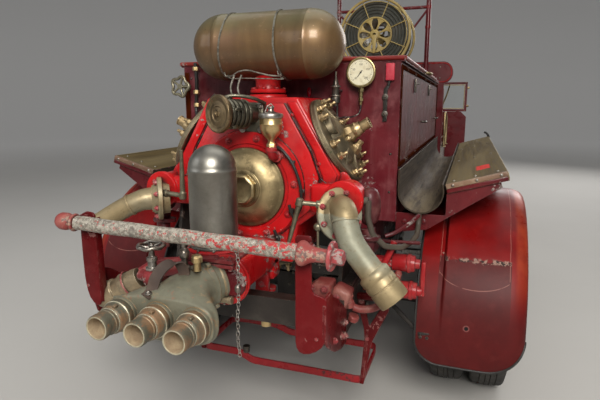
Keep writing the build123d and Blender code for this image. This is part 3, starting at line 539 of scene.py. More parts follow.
def metal(name, base, tarnish, bright, rough=(0.25, 0.5), crevice_dark=(0.03, 0.025, 0.02), bevel=0.002, scale=6.0, wear=0.7, corner_shade=0.8, brushed=None,
          bumps=0.25, metallic=1.0, spots=None, cast=0.0, amount=(0.35, 0.65)):
    """bare metal: tarnish in patches, bright worn edges, painted shade darkening the corners"""
    m = Mat(name)
    patch = m.step(m.noise(scale, 5, 0.65, 0.5), amount[0], amount[1])
    c = m.mix(patch, tarnish, base)
    fine = m.noise(scale * 14, 4, 0.7)
    c = m.mix(m.mul(m.step(fine, 0.4, 0.7), 0.35), c, tarnish)
    if spots:
        sp = m.step(m.noise(scale * 9, 3, 0.6), 0.62, 0.68)
        c = m.mix(m.mul(sp, 0.8), c, spots)
    e = m.mul(m.edge(bevel * 2, 0.02, 0.2), m.step(fine, 0.25, 0.6))
    c = m.mix(m.mul(e, wear), c, bright)
    # painted shade: colour darkened where ambient occlusion finds corners and crevices
    cr = m.mul(m.sub(1.0, m.step(m.ao(0.04), 0.2, 0.85)), corner_shade)
    c = m.mix(cr, c, crevice_dark)
    r = m.step(m.noise(scale * 3, 4, 0.7), 0.3, 0.7, rough[0], rough[1])
    r = m.math("MAXIMUM", r, m.mul(cr, 0.8))
    layers = [(fine, bumps, 0.0006)]
    if cast:
        layers.append((m.noise(120, 3, 0.6), cast, 0.0015))
    if brushed:
        layers.append((m.noise(1.0, 3, 0.6, co=m.map(brushed)), 0.2, 0.0005))
    n = m.bump(layers, m.bevel_normal(bevel))
    return m.out(c, r, metallic, n)


# ---------------------------------------------------------------- finishes
RED = paint("pump_red", (0.52, 0.007, 0.009), (0.32, 0.005, 0.007), (0.62, 0.03, 0.025), rough=(0.22, 0.45), chips=0.08, crevice_dark=0.95,
            spots=0.02, scuff=0.35, orange=0.35, coat=0.4, bevel=0.004)
RED2 = paint("fitting_red", (0.42, 0.012, 0.016), (0.22, 0.008, 0.01), (0.55, 0.10, 0.09), rough=(0.28, 0.55), chips=0.6, crevice_dark=0.8,
             spots=0.35, scuff=0.5, bevel=0.002)
PINKRED = paint("worn_casting", (0.27, 0.030, 0.034), (0.13, 0.016, 0.018), (0.44, 0.20, 0.17), rough=(0.4, 0.65), chips=0.9, crevice_dark=0.8,
                spots=0.6, scuff=0.9, primer=(0.42, 0.3, 0.26), bevel=0.003, coat=0.1)
MAROON = paint("body_maroon", (0.125, 0.010, 0.016), (0.058, 0.006, 0.009), (0.25, 0.085, 0.090), rough=(0.26, 0.46), chips=0.4, crevice_dark=0.6,
               spots=0.03, scuff=0.45, primer=(0.27, 0.17, 0.16), bevel=0.003, coat=0.45, streak=0.35)
# painted shade: a darker, browner copy of the body maroon without gloss, standing in for the shade on the vehicle's
# sides
SIDE_SHADED = paint("body_side_shaded", (0.040, 0.007, 0.002), (0.030, 0.006, 0.002), (0.068, 0.014, 0.005), rough=(0.4, 0.55), chips=0.2, crevice_dark=0.2,
             spots=0.02, scuff=0.25, coat=0.0, vary=1.3, spec=0.0)
GUARD = paint("guard_red", (0.155, 0.006, 0.008), (0.08, 0.004, 0.004), (0.23, 0.020, 0.018), rough=(0.2, 0.4), chips=0.2, crevice_dark=0.4,
              spots=0.12, scuff=0.3, coat=0.5, streak=0.1)
DEEP = paint("deep_maroon", (0.10, 0.007, 0.010), (0.05, 0.004, 0.006), (0.19, 0.025, 0.028), rough=(0.22, 0.42), chips=0.3, crevice_dark=0.5,
             spots=0.1, scuff=0.3, coat=0.4, streak=0.1)
BONNET = paint("bonnet_red", (0.29, 0.008, 0.010), (0.19, 0.006, 0.007), (0.38, 0.025, 0.024), rough=(0.12, 0.28), chips=0.15, crevice_dark=0.3,
               spots=0.05, scuff=0.15, coat=0.8)
BLACK = paint("chassis_black", (0.018, 0.016, 0.015), (0.03, 0.024, 0.02), (0.07, 0.06, 0.05), rough=(0.35, 0.7), chips=0.6, crevice_dark=0.5,
              spots=0.3, scuff=0.5, primer=(0.13, 0.07, 0.04), metal=(0.18, 0.16, 0.14), shade_tint=(0.03, 0.022, 0.016), coat=0.1)
LINKBLACK = paint("fitting_black", (0.012, 0.011, 0.011), (0.02, 0.018, 0.016), (0.06, 0.055, 0.05), rough=(0.25, 0.5), chips=0.5, crevice_dark=0.4,
                  spots=0.2, scuff=0.3, primer=(0.2, 0.19, 0.17), metal=(0.25, 0.23, 0.2))
GOLD = paint("gold_paint", (0.40, 0.29, 0.085), (0.26, 0.18, 0.05), (0.55, 0.45, 0.2), rough=(0.3, 0.5), chips=0.35, crevice_dark=0.6, spots=0.2,
             primer=(0.2, 0.05, 0.03), metal=(0.1, 0.08, 0.06), scuff=0.4)
TROUGH = paint("trough_grey", (0.050, 0.037, 0.025), (0.026, 0.019, 0.012), (0.072, 0.055, 0.038), rough=(0.6, 0.85), chips=0.5, crevice_dark=0.6, spots=0.3,
               primer=(0.16, 0.04, 0.035), metal=(0.14, 0.12, 0.10), scuff=0.7, coat=0.0, vary=5.0, spec=0.15)
BRONZE = metal("head_bronze", (0.33, 0.27, 0.175), (0.16, 0.135, 0.090), (0.54, 0.44, 0.29), rough=(0.42, 0.62), crevice_dark=(0.02, 0.018, 0.014), scale=7,
               spots=(0.10, 0.12, 0.07), cast=0.3, wear=0.85, amount=(0.25, 0.7))
STUD = metal("stud_brass", (0.50, 0.37, 0.20), (0.27, 0.20, 0.11), (0.72, 0.58, 0.36), rough=(0.34, 0.52), crevice_dark=(0.03, 0.022, 0.012), scale=25,
             amount=(0.2, 0.5))
BRASS = metal("spun_brass", (0.47, 0.37, 0.20), (0.19, 0.15, 0.08), (0.76, 0.62, 0.37), rough=(0.33, 0.52), crevice_dark=(0.03, 0.022, 0.014), scale=5,
              amount=(0.3, 0.6))
CUP = metal("cup_brass", (0.62, 0.46, 0.23), (0.36, 0.27, 0.13), (0.84, 0.70, 0.42), rough=(0.28, 0.44), scale=8, amount=(0.15, 0.5))
COPPER = None
NICKEL = metal("dull_nickel", (0.345, 0.335, 0.300), (0.215, 0.205, 0.178), (0.48, 0.47, 0.43), rough=(0.36, 0.54), crevice_dark=(0.05, 0.045, 0.04), scale=3.2,
               brushed=(60, 60, 2.5), bumps=0.1, amount=(0.3, 0.75))
STEEL = metal("worn_steel", (0.42, 0.40, 0.36), (0.20, 0.17, 0.14), (0.7, 0.68, 0.64), rough=(0.28, 0.5), scale=12, spots=(0.14, 0.08, 0.05))
DARKSTEEL = metal("dark_steel", (0.13, 0.12, 0.105), (0.07, 0.06, 0.05), (0.34, 0.31, 0.27), rough=(0.35, 0.6), scale=12, spots=(0.10, 0.055, 0.03))
CHROME = metal("chrome_shell", (0.62, 0.62, 0.60), (0.45, 0.44, 0.41), (0.8, 0.8, 0.79), rough=(0.06, 0.16), scale=4, bumps=0.05, wear=0.2, corner_shade=0.4)
IRON = metal("cast_iron", (0.10, 0.095, 0.085), (0.055, 0.045, 0.038), (0.2, 0.18, 0.16), rough=(0.5, 0.75), scale=8, cast=0.6, metallic=0.7,
             spots=(0.11, 0.05, 0.025))
EXHAUST = metal("exhaust_steel", (0.16, 0.12, 0.09), (0.12, 0.06, 0.03), (0.25, 0.2, 0.16), rough=(0.55, 0.8), scale=9, metallic=0.6, spots=(0.16, 0.07, 0.03))


def copper_tank():
    """brown lacquered copper: dark soft streaks round the barrel, a few fine scratches"""
    m = Mat("tank_copper")
    b1 = m.noise(1.0, 4, 0.6, 0.4, co=m.map((9, 1.4, 1.4)))
    b2 = m.noise(3.4, 5, 0.65, 0.6)
    c = m.mix(m.step(b1, 0.3, 0.7), (0.108, 0.060, 0.024), (0.180, 0.106, 0.044))
    c = m.mix(m.mul(m.step(b2, 0.42, 0.72), 0.65), c, (0.10, 0.052, 0.030))
    z = m.xyz()[2]
    # painted shade: the lower part of the barrel darkened, standing in for the shade on its underside
    low = m.step(z, 1.60, 1.80, 1.0, 0.0)
    c = m.mix(m.mul(low, 0.65), c, (0.070, 0.058, 0.032))
    top = m.mul(m.step(z, 1.800, 1.900), m.step(m.noise(4.0, 4, 0.6), 0.3, 0.7, 0.35, 1.0))
    c = m.mix(m.mul(top, 0.8), c, (0.130, 0.128, 0.062))
    rub = m.step(m.noise(11, 5, 0.7, 0.8), 0.58, 0.72)
    c = m.mix(m.mul(rub, 0.3), c, (0.42, 0.24, 0.13))
    sc = m.step(m.noise(1.0, 5, 0.7, co=m.map((18, 140, 60), rot=(0.3, 0.5, 0.1))), 0.66, 0.70)
    c = m.mix(m.mul(sc, 0.5), c, (0.5, 0.34, 0.2))
    dots = m.step(m.noise(70, 2), 0.70, 0.74)
    c = m.mix(m.mul(dots, 0.6), c, (0.04, 0.028, 0.02))
    r = m.step(m.noise(7, 5, 0.6), 0.3, 0.7, 0.40, 0.56)
    n = m.bump([(m.noise(9, 2), 0.12, 0.004), (m.noise(120, 3), 0.1, 0.0005), (m.sub(1.0, sc), 0.3, 0.0003)])
    return m.out(c, r, 0.52, n, Coat_Weight=0.30, Coat_Roughness=0.14)


COPPER = copper_tank()


def grey_green(name="alloy_grey_green", wear=0.5):
    """old grey-green coating rubbed through to tan bronze on high and handled places"""
    m = Mat(name)
    n1 = m.noise(5.5, 5, 0.65, 0.4)
    c = m.mix(m.step(n1, 0.3, 0.7), (0.135, 0.132, 0.092), (0.215, 0.212, 0.155))
    c = m.mix(m.mul(m.step(m.noise(26, 4, 0.7), 0.4, 0.7), 0.4), c, (0.12, 0.11, 0.08))
    rub = m.step(m.noise(9, 6, 0.72, 0.5), 0.60 - 0.08 * wear, 0.70 - 0.06 * wear)
    e = m.mul(m.edge(0.008, 0.015, 0.15), m.step(m.noise(20, 4), 0.3, 0.6))
    w = m.math("MAXIMUM", m.mul(rub, 0.75), e)
    c = m.mix(w, c, (0.40, 0.27, 0.14))
    c = m.mix(m.mul(m.step(m.noise(47, 3, 0.6), 0.62, 0.68), 0.5), c, (0.30, 0.13, 0.08))
    # painted shade: colour darkened where ambient occlusion finds corners and crevices
    cr = m.mul(m.sub(1.0, m.step(m.ao(0.05), 0.2, 0.85)), 0.8)
    c = m.mix(cr, c, (0.035, 0.03, 0.022))
    r = m.step(m.noise(16, 4, 0.7), 0.3, 0.7, 0.38, 0.6)
    met = m.step(w, 0.1, 0.9, 0.30, 0.8)
    n = m.bump([(m.noise(60, 4, 0.7), 0.3, 0.0012), (m.noise(200, 2), 0.15, 0.0006)], m.bevel_normal(0.003))
    return m.out(c, r, met, n)


ALLOY = grey_green()
ALLOY_TAN = metal("alloy_tan", (0.38, 0.295, 0.185), (0.22, 0.18, 0.12), (0.68, 0.62, 0.48), rough=(0.36, 0.55), scale=14, spots=(0.16, 0.15, 0.11),
                  amount=(0.3, 0.6), metallic=0.72)
MOUTH = metal("mouth_tan", (0.46, 0.36, 0.23), (0.30, 0.22, 0.14), (0.60, 0.50, 0.36), rough=(0.55, 0.75), scale=22, spots=(0.33, 0.17, 0.09), metallic=0.15, corner_shade=0.35)


def chipped_tube():
    """tube under several coats: white and grey, red spots showing, redder towards its right end"""
    m = Mat("rail_chipped")
    n1 = m.noise(70, 6, 0.78)
    n2 = m.noise(62, 5, 0.72, 0.4)
    c = m.mix(m.step(n1, 0.44, 0.56), (0.15, 0.13, 0.105), (0.33, 0.305, 0.255))
    c = m.mix(m.step(m.noise(150, 4, 0.7), 0.58, 0.64), c, (0.52, 0.49, 0.43))
    x = m.xyz()[0]
    lean = m.step(x, -0.3, 0.45, 0.0, 0.11)
    red = m.step(m.math("ADD", n2, lean), 0.605, 0.64)
    c = m.mix(red, c, (0.38, 0.022, 0.024))
    c = m.mix(m.mul(m.step(m.noise(18, 4, 0.6), 0.60, 0.68), 0.7), c, (0.10, 0.09, 0.075))
    r = m.step(n1, 0.3, 0.7, 0.4, 0.7)
    n = m.bump([(n1, 0.5, 0.001), (n2, 0.35, 0.0012)])
    return m.out(c, r, 0.0, n)


RAILPAINT = chipped_tube()


def oak():
    """varnish worn off khaki-brown boards, grain along the vehicle, grime in the pores, a red smear near the right rear end"""
    m = Mat("bench_oak")
    g = m.noise(1.0, 6, 0.65, 0.6, co=m.map((34, 1.6, 34)))
    f = m.noise(1.0, 4, 0.7, co=m.map((150, 5, 150)))
    b = m.noise(1.0, 3, 0.5, co=m.map((6, 0.8, 6)))
    c = m.mix(m.step(g, 0.3, 0.7), (0.058, 0.039, 0.014), (0.128, 0.094, 0.038))
    c = m.mix(m.mul(m.step(f, 0.45, 0.7), 0.55), c, (0.060, 0.042, 0.022))
    c = m.mix(m.mul(m.step(b, 0.45, 0.7), 0.45), c, (0.19, 0.150, 0.078))
    c = m.mix(m.mul(m.step(m.noise(7, 5, 0.7), 0.55, 0.75), 0.5), c, (0.07, 0.055, 0.035))
    xs = m.xyz()
    X, Y = xs[0], xs[1]
    inx = m.mul(m.step(X, 0.905, 0.915), m.step(X, 0.968, 0.975, 1.0, 0.0))
    yy = m.math("ADD", Y, m.mul(m.noise(30, 3), 0.03))
    iny = m.mul(m.step(yy, Y0 + 0.26, Y0 + 0.27), m.step(yy, Y0 + 0.43, Y0 + 0.44, 1.0, 0.0))
    patch = m.mul(m.mul(inx, iny), m.step(m.noise(45, 4, 0.7), 0.30, 0.42))
    c = m.mix(patch, c, (0.55, 0.03, 0.025))
    e = m.mul(m.edge(0.006, 0.02, 0.2), m.step(m.noise(30, 4), 0.4, 0.6))
    c = m.mix(m.mul(e, 0.6), c, (0.34, 0.28, 0.17))
    r = m.step(g, 0.2, 0.8, 0.5, 0.75)
    n = m.bump([(g, 0.35, 0.0015), (f, 0.5, 0.0008)], m.bevel_normal(0.004))
    return m.out(c, r, 0.0, n, Specular_IOR_Level=0.1)


OAK = oak()


def rubber(name, base, rough=(0.6, 0.8), scale=30, dust=(0.07, 0.06, 0.05), amount=0.5, coat=0.0, spec=0.4):
    m = Mat(name)
    c = m.mix(m.mul(m.step(m.noise(6, 5, 0.65), 0.4, 0.75), amount), base, dust)
    c = m.mix(m.mul(m.sub(1.0, m.step(m.ao(0.03), 0.2, 0.9)), 0.5), c, tuple(min(1, v * 1.5) for v in dust))
    r = m.step(m.noise(scale, 4, 0.6), 0.3, 0.7, rough[0], rough[1])
    n = m.bump([(m.noise(scale * 8, 3), 0.25, 0.0005)], m.bevel_normal(0.002))
    return m.out(c, r, 0.0, n, Coat_Weight=coat, Specular_IOR_Level=spec)


TYRE = rubber("tyre_rubber", (0.018, 0.018, 0.017), rough=(0.62, 0.85), dust=(0.075, 0.068, 0.058), amount=0.6)
HOSERUB = rubber("reel_hose_rubber", (0.018, 0.021, 0.015), rough=(0.5, 0.75), dust=(0.10, 0.09, 0.07), amount=0.5)
DRAIN = rubber("drain_hose_rubber", (0.055, 0.044, 0.032), rough=(0.45, 0.7), dust=(0.12, 0.10, 0.075), amount=0.5)
BEAD = rubber("guard_beading", (0.012, 0.012, 0.012), rough=(0.35, 0.55), amount=0.2)
STRAP = rubber("strap_leather", (0.045, 0.030, 0.024), rough=(0.5, 0.75), scale=18, dust=(0.13, 0.085, 0.06), amount=0.6)
EBONITE = rubber("wheel_rim_black", (0.012, 0.012, 0.012), rough=(0.18, 0.35), amount=0.1, coat=0.4)


def leather():
    """red-brown hide: pebbled grain, creases, worn lighter on the crowns"""
    m = Mat("seat_leather")
    n1 = m.noise(7, 4, 0.6)
    c = m.mix(m.step(n1, 0.3, 0.7), (0.105, 0.022, 0.018), (0.16, 0.036, 0.026))
    cell = m.vor(260, "DISTANCE_TO_EDGE", rnd=0.9)
    c = m.mix(m.mul(m.step(cell, 0.0, 0.10, 1.0, 0.0), 0.55), c, (0.035, 0.010, 0.009))
    c = m.mix(m.mul(m.step(m.noise(16, 5, 0.7), 0.52, 0.72), 0.4), c, (0.24, 0.075, 0.05))
    crease = m.step(m.noise(1.0, 5, 0.75, 1.2, co=m.map((9, 22, 9))), 0.48, 0.52, 0.0, 1.0)
    # painted shade: colour darkened in creases and corners found by ambient occlusion
    c = m.mix(m.mul(m.sub(1.0, m.step(m.ao(0.03), 0.3, 0.9)), 0.7), c, (0.02, 0.008, 0.007))
    r = m.step(m.noise(22, 4), 0.3, 0.7, 0.34, 0.55)
    n = m.bump([(m.step(cell, 0.0, 0.25), 0.4, 0.0006), (crease, 0.12, 0.001), (m.noise(40, 4), 0.2, 0.001)])
    return m.out(c, r, 0.0, n, Coat_Weight=0.12, Coat_Roughness=0.35)


LEATHER = leather()


def tread_plate():
    """aluminium with raised diagonal bars"""
    m = Mat("tread_plate")
    s = 30.0
    xs = m.xyz()

    def bars(ca, sa, off):
        u = m.math("ADD", m.mul(xs[0], ca * s), m.mul(xs[1], sa * s))
        v = m.math("ADD", m.mul(xs[0], -sa * s), m.mul(xs[1], ca * s))
        u = m.math("ADD", u, off)
        v = m.math("ADD", v, off)
        fu = m.math("ABSOLUTE", m.math("SUBTRACT", m.math("FRACT", u), 0.5))
        fv = m.math("ABSOLUTE", m.math("SUBTRACT", m.math("FRACT", v), 0.5))
        return m.mul(m.step(fu, 0.36, 0.42, 1.0, 0.0), m.step(fv, 0.07, 0.13, 1.0, 0.0))
    h = m.math("MAXIMUM", bars(0.7071, 0.7071, 0.0), bars(-0.7071, 0.7071, 0.5))
    n1 = m.noise(6, 5, 0.65)
    c = m.mix(m.step(n1, 0.3, 0.7), (0.30, 0.29, 0.27), (0.45, 0.44, 0.42))
    c = m.mix(m.mul(m.sub(1.0, h), m.step(m.noise(13, 4), 0.35, 0.7, 0.15, 0.6)), c, (0.13, 0.115, 0.095))
    c = m.mix(m.mul(h, 0.5), c, (0.62, 0.61, 0.59))
    r = m.step(m.noise(30, 3), 0.3, 0.7, 0.3, 0.5)
    n = m.bump([(h, 0.9, 0.002), (m.noise(150, 2), 0.1, 0.0005)], m.bevel_normal(0.002))
    return m.out(c, r, 0.9, n)


TREAD = tread_plate()


def glass():
    m = Mat("screen_glass")
    r = m.step(m.noise(14, 5, 0.7), 0.45, 0.75, 0.02, 0.12)
    n = m.bump([(m.noise(5, 2), 0.04, 0.002)])
    return m.out((0.94, 0.97, 0.96), r, 0.0, n, Transmission_Weight=1.0, IOR=1.3)


GLASS = glass()


def lens(name, col, rib=True):
    m = Mat(name)
    n = m.bump([(m.wave(38, 0.0, 0.0, 1.0, direction="X"), 0.7, 0.003), (m.noise(60, 2), 0.1, 0.001)])
    c = m.mix(m.noise(20, 3), col, tuple(v * 0.8 for v in col))
    return m.out(c, m.step(m.noise(30, 3), 0.3, 0.7, 0.06, 0.16), 0.0, n, Transmission_Weight=0.55, IOR=1.45, Coat_Weight=0.5)


LENS = lens("lamp_glass", (0.86, 0.88, 0.84))
REDLENS = lens("lamp_red", (0.75, 0.05, 0.04))


def honeycomb():
    m = Mat("radiator_core")
    d = m.vor(95, "DISTANCE_TO_EDGE", rnd=0.0)
    w = m.step(d, 0.06, 0.14)
    # painted shade: the cells are coloured near black, standing in for the dark inside the open tubes of the core
    c = m.mix(w, (0.16, 0.13, 0.08), (0.006, 0.006, 0.006))
    n = m.bump([(m.sub(1.0, w), 0.9, 0.004)])
    return m.out(c, m.step(m.noise(40), 0.3, 0.7, 0.45, 0.7), m.sub(1.0, w), n)


HONEY = honeycomb()


def dial():
    """cream dial face, slightly foxed"""
    m = Mat("dial_face")
    c = m.mix(m.step(m.noise(34, 4, 0.7), 0.45, 0.75), (0.66, 0.62, 0.46), (0.52, 0.46, 0.30))
    c = m.mix(m.mul(m.step(m.noise(90, 3), 0.6, 0.7), 0.4), c, (0.38, 0.30, 0.17))
    return m.out(c, m.step(m.noise(50), 0.3, 0.7, 0.3, 0.45), 0.0, m.bump([(m.noise(200), 0.1, 0.0004)]), Coat_Weight=0.8, Coat_Roughness=0.04)


DIAL = dial()


def ink():
    m = Mat("dial_ink")
    c = m.mix(m.noise(120, 3), (0.012, 0.012, 0.012), (0.04, 0.035, 0.03))
    return m.out(c, m.step(m.noise(80), 0.3, 0.7, 0.35, 0.5), 0.0)


INK = ink()


def wire():
    m = Mat("wire_grey")
    c = m.mix(m.step(m.noise(60, 4), 0.4, 0.6), (0.085, 0.08, 0.062), (0.20, 0.195, 0.165))
    return m.out(c, m.step(m.noise(90), 0.3, 0.7, 0.5, 0.7), 0.3, m.bump([(m.noise(300), 0.4, 0.0005)]))


WIRE = wire()


# ================================================================ pump end
PZ = 1.185                       # pump axis height


def face_y(s):
    return s + Y0


# ---- pump casing: the cast outline with rounded edges, round front flange
def build_casing():
    """outline about the pump axis; edges rounded"""
    half = [(0.205, 0.370), (0.384, 0.060), (0.350, -0.060), (0.205, -0.165), (0.180, -0.330)]
    out = half + [(-x, z) for x, z in reversed(half)]
    p = Piece("pump_casing_shell")
    p.solid([P(x, -0.040, PZ + z) for x, z in out], (0, -0.348, 0), bev=0.010, seg=3)
    # raised face plates on the rear: the body plate and the two jackets
    body = [(0.150, 0.345), (0.262, 0.150), (0.300, 0.045), (0.268, -0.085), (0.172, -0.165), (0.150, -0.300)]
    ring = body + [(-x, z) for x, z in reversed(body)]
    p.solid([P(x, -0.386, PZ + z) for x, z in ring], (0, -0.020, 0), bev=0.005, seg=2)
    # jackets beside it, from the plate to the head faces
    for sd in (-1, 1):
        jk = [(0.160, 0.352), (0.203, 0.352), (0.376, 0.060), (0.344, -0.052), (0.290, -0.080), (0.316, 0.045), (0.276, 0.155)]
        p.solid([P(sd * x, -0.386, PZ + z) for x, z in jk], (0, -0.013, 0), bev=0.005, seg=2)
    # round flange with its stepped rim
    prof = [(0.0, 0.0), (0.0, 0.240), (0.010, 0.240), (0.014, 0.236), (0.030, 0.236), (0.036, 0.231), (0.036, 0.183), (0.032, 0.180), (0.032, 0.0)]
    p.lathe(prof, P(0, -0.404, PZ), (0, -1, 0), seg=96)
    # side branches: ribbed bosses for the delivery valves
    for sd in (-1, 1):
        p.box(P(sd * 0.350, -0.395, 1.1525), (0.150, 0.105, 0.120), bev=0.018, seg=3)
        p.lathe([(0, 0.0), (0, 0.070), (0.085, 0.070), (0.092, 0.078), (0.112, 0.080), (0.1195, 0.076), (0.1195, 0.0)], P(sd * 0.416, -0.340, 1.155), (0, -1, 0), seg=40)
        # cast web up to the head
        p.solid([P(sd * x, -0.36, z) for x, z in ((0.33, 1.21), (0.43, 1.21), (0.40, 1.255), (0.355, 1.27))], (0, 0.03, 0), bev=0.006)
    # pedestal of the copper air vessel
    z0 = PZ + 0.370
    p.lathe([(0, 0.0), (0, 0.088), (0.010, 0.088), (0.016, 0.083), (0.020, 0.062), (0.0215, 0.060), (0.0225, 0.080), (0.026, 0.082), (0.036, 0.082), (0.040, 0.078),
             (0.042, 0.060), (0.055, 0.057), (0.078, 0.058), (0.092, 0.066), (0.102, 0.070), (0.102, 0.0)], P(-0.019, -0.160, z0), (0, 0, 1), seg=48)
    # passage to the collecting head with its top seats
    p.box(P(0, -0.586, 0.9125), (0.260, 0.348, 0.125), bev=0.020, seg=3)
    p.box(P(0, -0.440, 0.850), (0.260, 0.080, 0.100), bev=0.015, seg=3)
    p.lathe([(0, 0.0), (0, 0.105), (0.016, 0.105), (0.021, 0.100), (0.0235, 0.096), (0.0235, 0.0)], P(-0.030, -0.680, 0.9733), (0, 0, 1), seg=44)
    p.lathe([(0, 0), (0, 0.095), (0.008, 0.095), (0.012, 0.091), (0.024, 0.091), (0.0258, 0.086), (0.0258, 0)], P(0.060, -0.759, 0.897), (0, -1, 0), seg=44)
    # stiffening ribs below the flange
    for x in (-0.115, 0.115):
        p.solid([P(x - 0.010, -0.405, 0.985), P(x + 0.010, -0.405, 0.985), P(x + 0.012, -0.405, 0.870), P(x - 0.012, -0.405, 0.870)], (0, -0.022, 0), bev=0.004)
    o = p.done(RED, "chassis", "red_paint", angle=40, replaces=("pump_casing",))
    return o


build_casing()

# seams of the jackets: dark filler lines, and the joint line round the flange
p = Piece("casing_seams")
for sd in (-1, 1):
    p.tube([P(sd * x, -0.3985, PZ + z) for x, z in ((0.153, 0.346), (0.268, 0.152), (0.306, 0.045), (0.278, -0.082))], 0.0026, seg=8)
    p.tube([P(sd * x, -0.3985, PZ + z) for x, z in ((0.306, 0.045), (0.350, 0.012))], 0.0022, seg=8)
p.tube([P(0.2415 * cos(a), -0.4065, PZ + 0.2415 * sin(a)) for a in np.linspace(0, 2 * pi, 72, endpoint=False)], 0.0018, seg=6, closed=True)
p.done(LINKBLACK, "chassis", "red_paint")

# ring of ten bolts on the flange, and bolts on the flange of the pedestal
p = Piece("flange_bolts")
for k in range(10):
    a = radians(36 * k + 6)
    p.hexbolt(P(0.2075 * cos(a), -0.440, PZ + 0.2075 * sin(a)), (0, -1, 0), r=0.0115, h=0.009, washer=0.0155, dome=True)
for k in range(8):
    a = radians(45 * k + 10)
    p.hexbolt(P(-0.019 + 0.0725 * cos(a), -0.160 + 0.0725 * sin(a), PZ + 0.370 + 0.0405), (0, 0, 1), r=0.0085, h=0.007)
for sd in (-1, 1):
    for x, z in ((0.185, 0.30), (0.300, 0.105), (0.325, -0.02)):
        p.hexbolt(P(sd * x, -0.399, PZ + z), (0, -1, 0), r=0.0075, h=0.004)
p.done(RED2, "chassis", "red_paint")

# ---- brass cover: spun dome, rolled rim, eight-sided boss with a bright collar and a dished middle
mc = Mat("cover_brass")
xs = mc.xyz()
dx = xs[0]
dz = mc.math("SUBTRACT", xs[2], PZ)
rad = mc.math("SQRT", mc.math("ADD", mc.mul(dx, dx), mc.mul(dz, dz)))
wob = mc.math("ADD", rad, mc.mul(mc.math("SUBTRACT", mc.noise(9, 5, 0.7), 0.5), 0.09))
c = mc.mix(mc.step(wob, 0.085, 0.165), (0.44, 0.345, 0.185), (0.165, 0.128, 0.068))
c = mc.mix(mc.mul(mc.step(mc.noise(11, 6, 0.72, 0.6), 0.46, 0.66), 0.8), c, (0.075, 0.06, 0.032))
c = mc.mix(mc.mul(mc.step(mc.noise(40, 4, 0.7), 0.55, 0.7), 0.4), c, (0.62, 0.49, 0.27))
swirl = mc.noise(1.0, 3, 0.6, co=mc.node("ShaderNodeCombineXYZ", {0: mc.mul(rad, 420.0), 1: 0.0, 2: 0.0}).outputs[0])
c = mc.mix(mc.mul(mc.step(swirl, 0.45, 0.65), 0.25), c, (0.28, 0.21, 0.10))
# painted shade: colour darkened where ambient occlusion finds the recesses
c = mc.mix(mc.mul(mc.sub(1.0, mc.step(mc.ao(0.03), 0.3, 0.9)), 0.8), c, (0.03, 0.025, 0.016))
rr = mc.step(mc.noise(22, 4), 0.3, 0.7, 0.36, 0.54)
COVER = mc.out(c, rr, 0.9, mc.bump([(swirl, 0.12, 0.0006), (mc.noise(70, 4), 0.12, 0.0006)], mc.bevel_normal(0.002)))
p = Piece("cover_dome")
dome = [(0.0, 0.0), (0.0, 0.1665), (0.004, 0.1668), (0.008, 0.165), (0.010, 0.160), (0.0105, 0.154)]
for k in range(1, 13):
    t = k / 12
    r = 0.154 - (0.154 - 0.078) * t
    dome.append((0.0105 + 0.0325 * sin(t * pi / 2), r))
dome += [(0.0445, 0.076), (0.0445, 0.0)]
p.lathe(dome, P(0, -0.4405, PZ), (0, -1, 0), seg=96)
p.mi = 1
# collar with a bright turned edge, then the nut
p.lathe([(0.0, 0.074), (0.004, 0.0752), (0.007, 0.073), (0.008, 0.069), (0.008, 0.0)], P(0, -0.4845, PZ), (0, -1, 0), seg=64)
p.lathe([(0.0, 0.0655), (0.024, 0.0655), (0.0285, 0.0610), (0.030, 0.0565), (0.030, 0.052)], P(0, -0.4895, PZ), (0, -1, 0), seg=8, a0=pi / 8)
p.lathe([(0.030, 0.052), (0.0285, 0.050), (0.020, 0.047), (0.017, 0.040), (0.016, 0.020), (0.0165, 0.0)], P(0, -0.4895, PZ), (0, -1, 0), seg=48)
p.done([COVER, BRASS], "chassis", "brass", replaces=("pump_cover",), angle=34)

# thin black pipe curving round the cover from the oil cup to the lever bracket
p = Piece("bearing_pipe")
line = [P(0.140, -0.452, 1.358), P(0.165, -0.460, 1.345), P(0.205, -0.462, 1.300), P(0.232, -0.462, 1.240), P(0.245, -0.462, 1.185), P(0.246, -0.462, 1.140)]
p.tube(curve_pts(line, 8), 0.0062, seg=12)
p.lathe([(0, 0.0), (0, 0.012), (0.016, 0.012), (0.018, 0.009), (0.018, 0)], P(0.246, -0.462, 1.128), (0, 0, 1), seg=6)
for q in (line[2], line[4]):
    p.box(q + Vector((0, 0.010, 0)), (0.022, 0.016, 0.012), bev=0.002)
p.done(LINKBLACK, "chassis", "black_paint")

# ---- oil cup: red elbow, hex nut, tapered brass bowl, grey screw lid with a knob
p = Piece("oil_cup")
cx, cs = 0.134, -0.500
p.mi = 0
p.lathe([(0.0, 0.0), (0.0, 0.012), (0.010, 0.014), (0.018, 0.022), (0.034, 0.036), (0.048, 0.0425), (0.066, 0.0435), (0.069, 0.0455), (0.072, 0.0435), (0.094, 0.0435), (0.094, 0.0)],
        P(cx, cs, 1.380), (0, 0, 1), seg=44)
p.lathe([(0.0, 0.0), (0.0, 0.0185), (0.016, 0.0185), (0.019, 0.016), (0.024, 0.012), (0.024, 0.0)], P(cx, cs, 1.358), (0, 0, 1), seg=6)
p.mi = 1
p.lathe([(0.0, 0.0), (0.0, 0.047), (0.003, 0.0485), (0.013, 0.0485), (0.017, 0.046), (0.022, 0.022), (0.026, 0.0125), (0.034, 0.010), (0.036, 0.013), (0.042, 0.013), (0.045, 0.009), (0.046, 0.0)],
        P(cx, cs, 1.474), (0, 0, 1), seg=40)
p.tube([P(cx - 0.020, cs - 0.010, 1.497), P(cx - 0.012, cs - 0.006, 1.520), P(cx, cs, 1.528), P(cx + 0.010, cs + 0.005, 1.517)], 0.0028, seg=8)
p.mi = 2
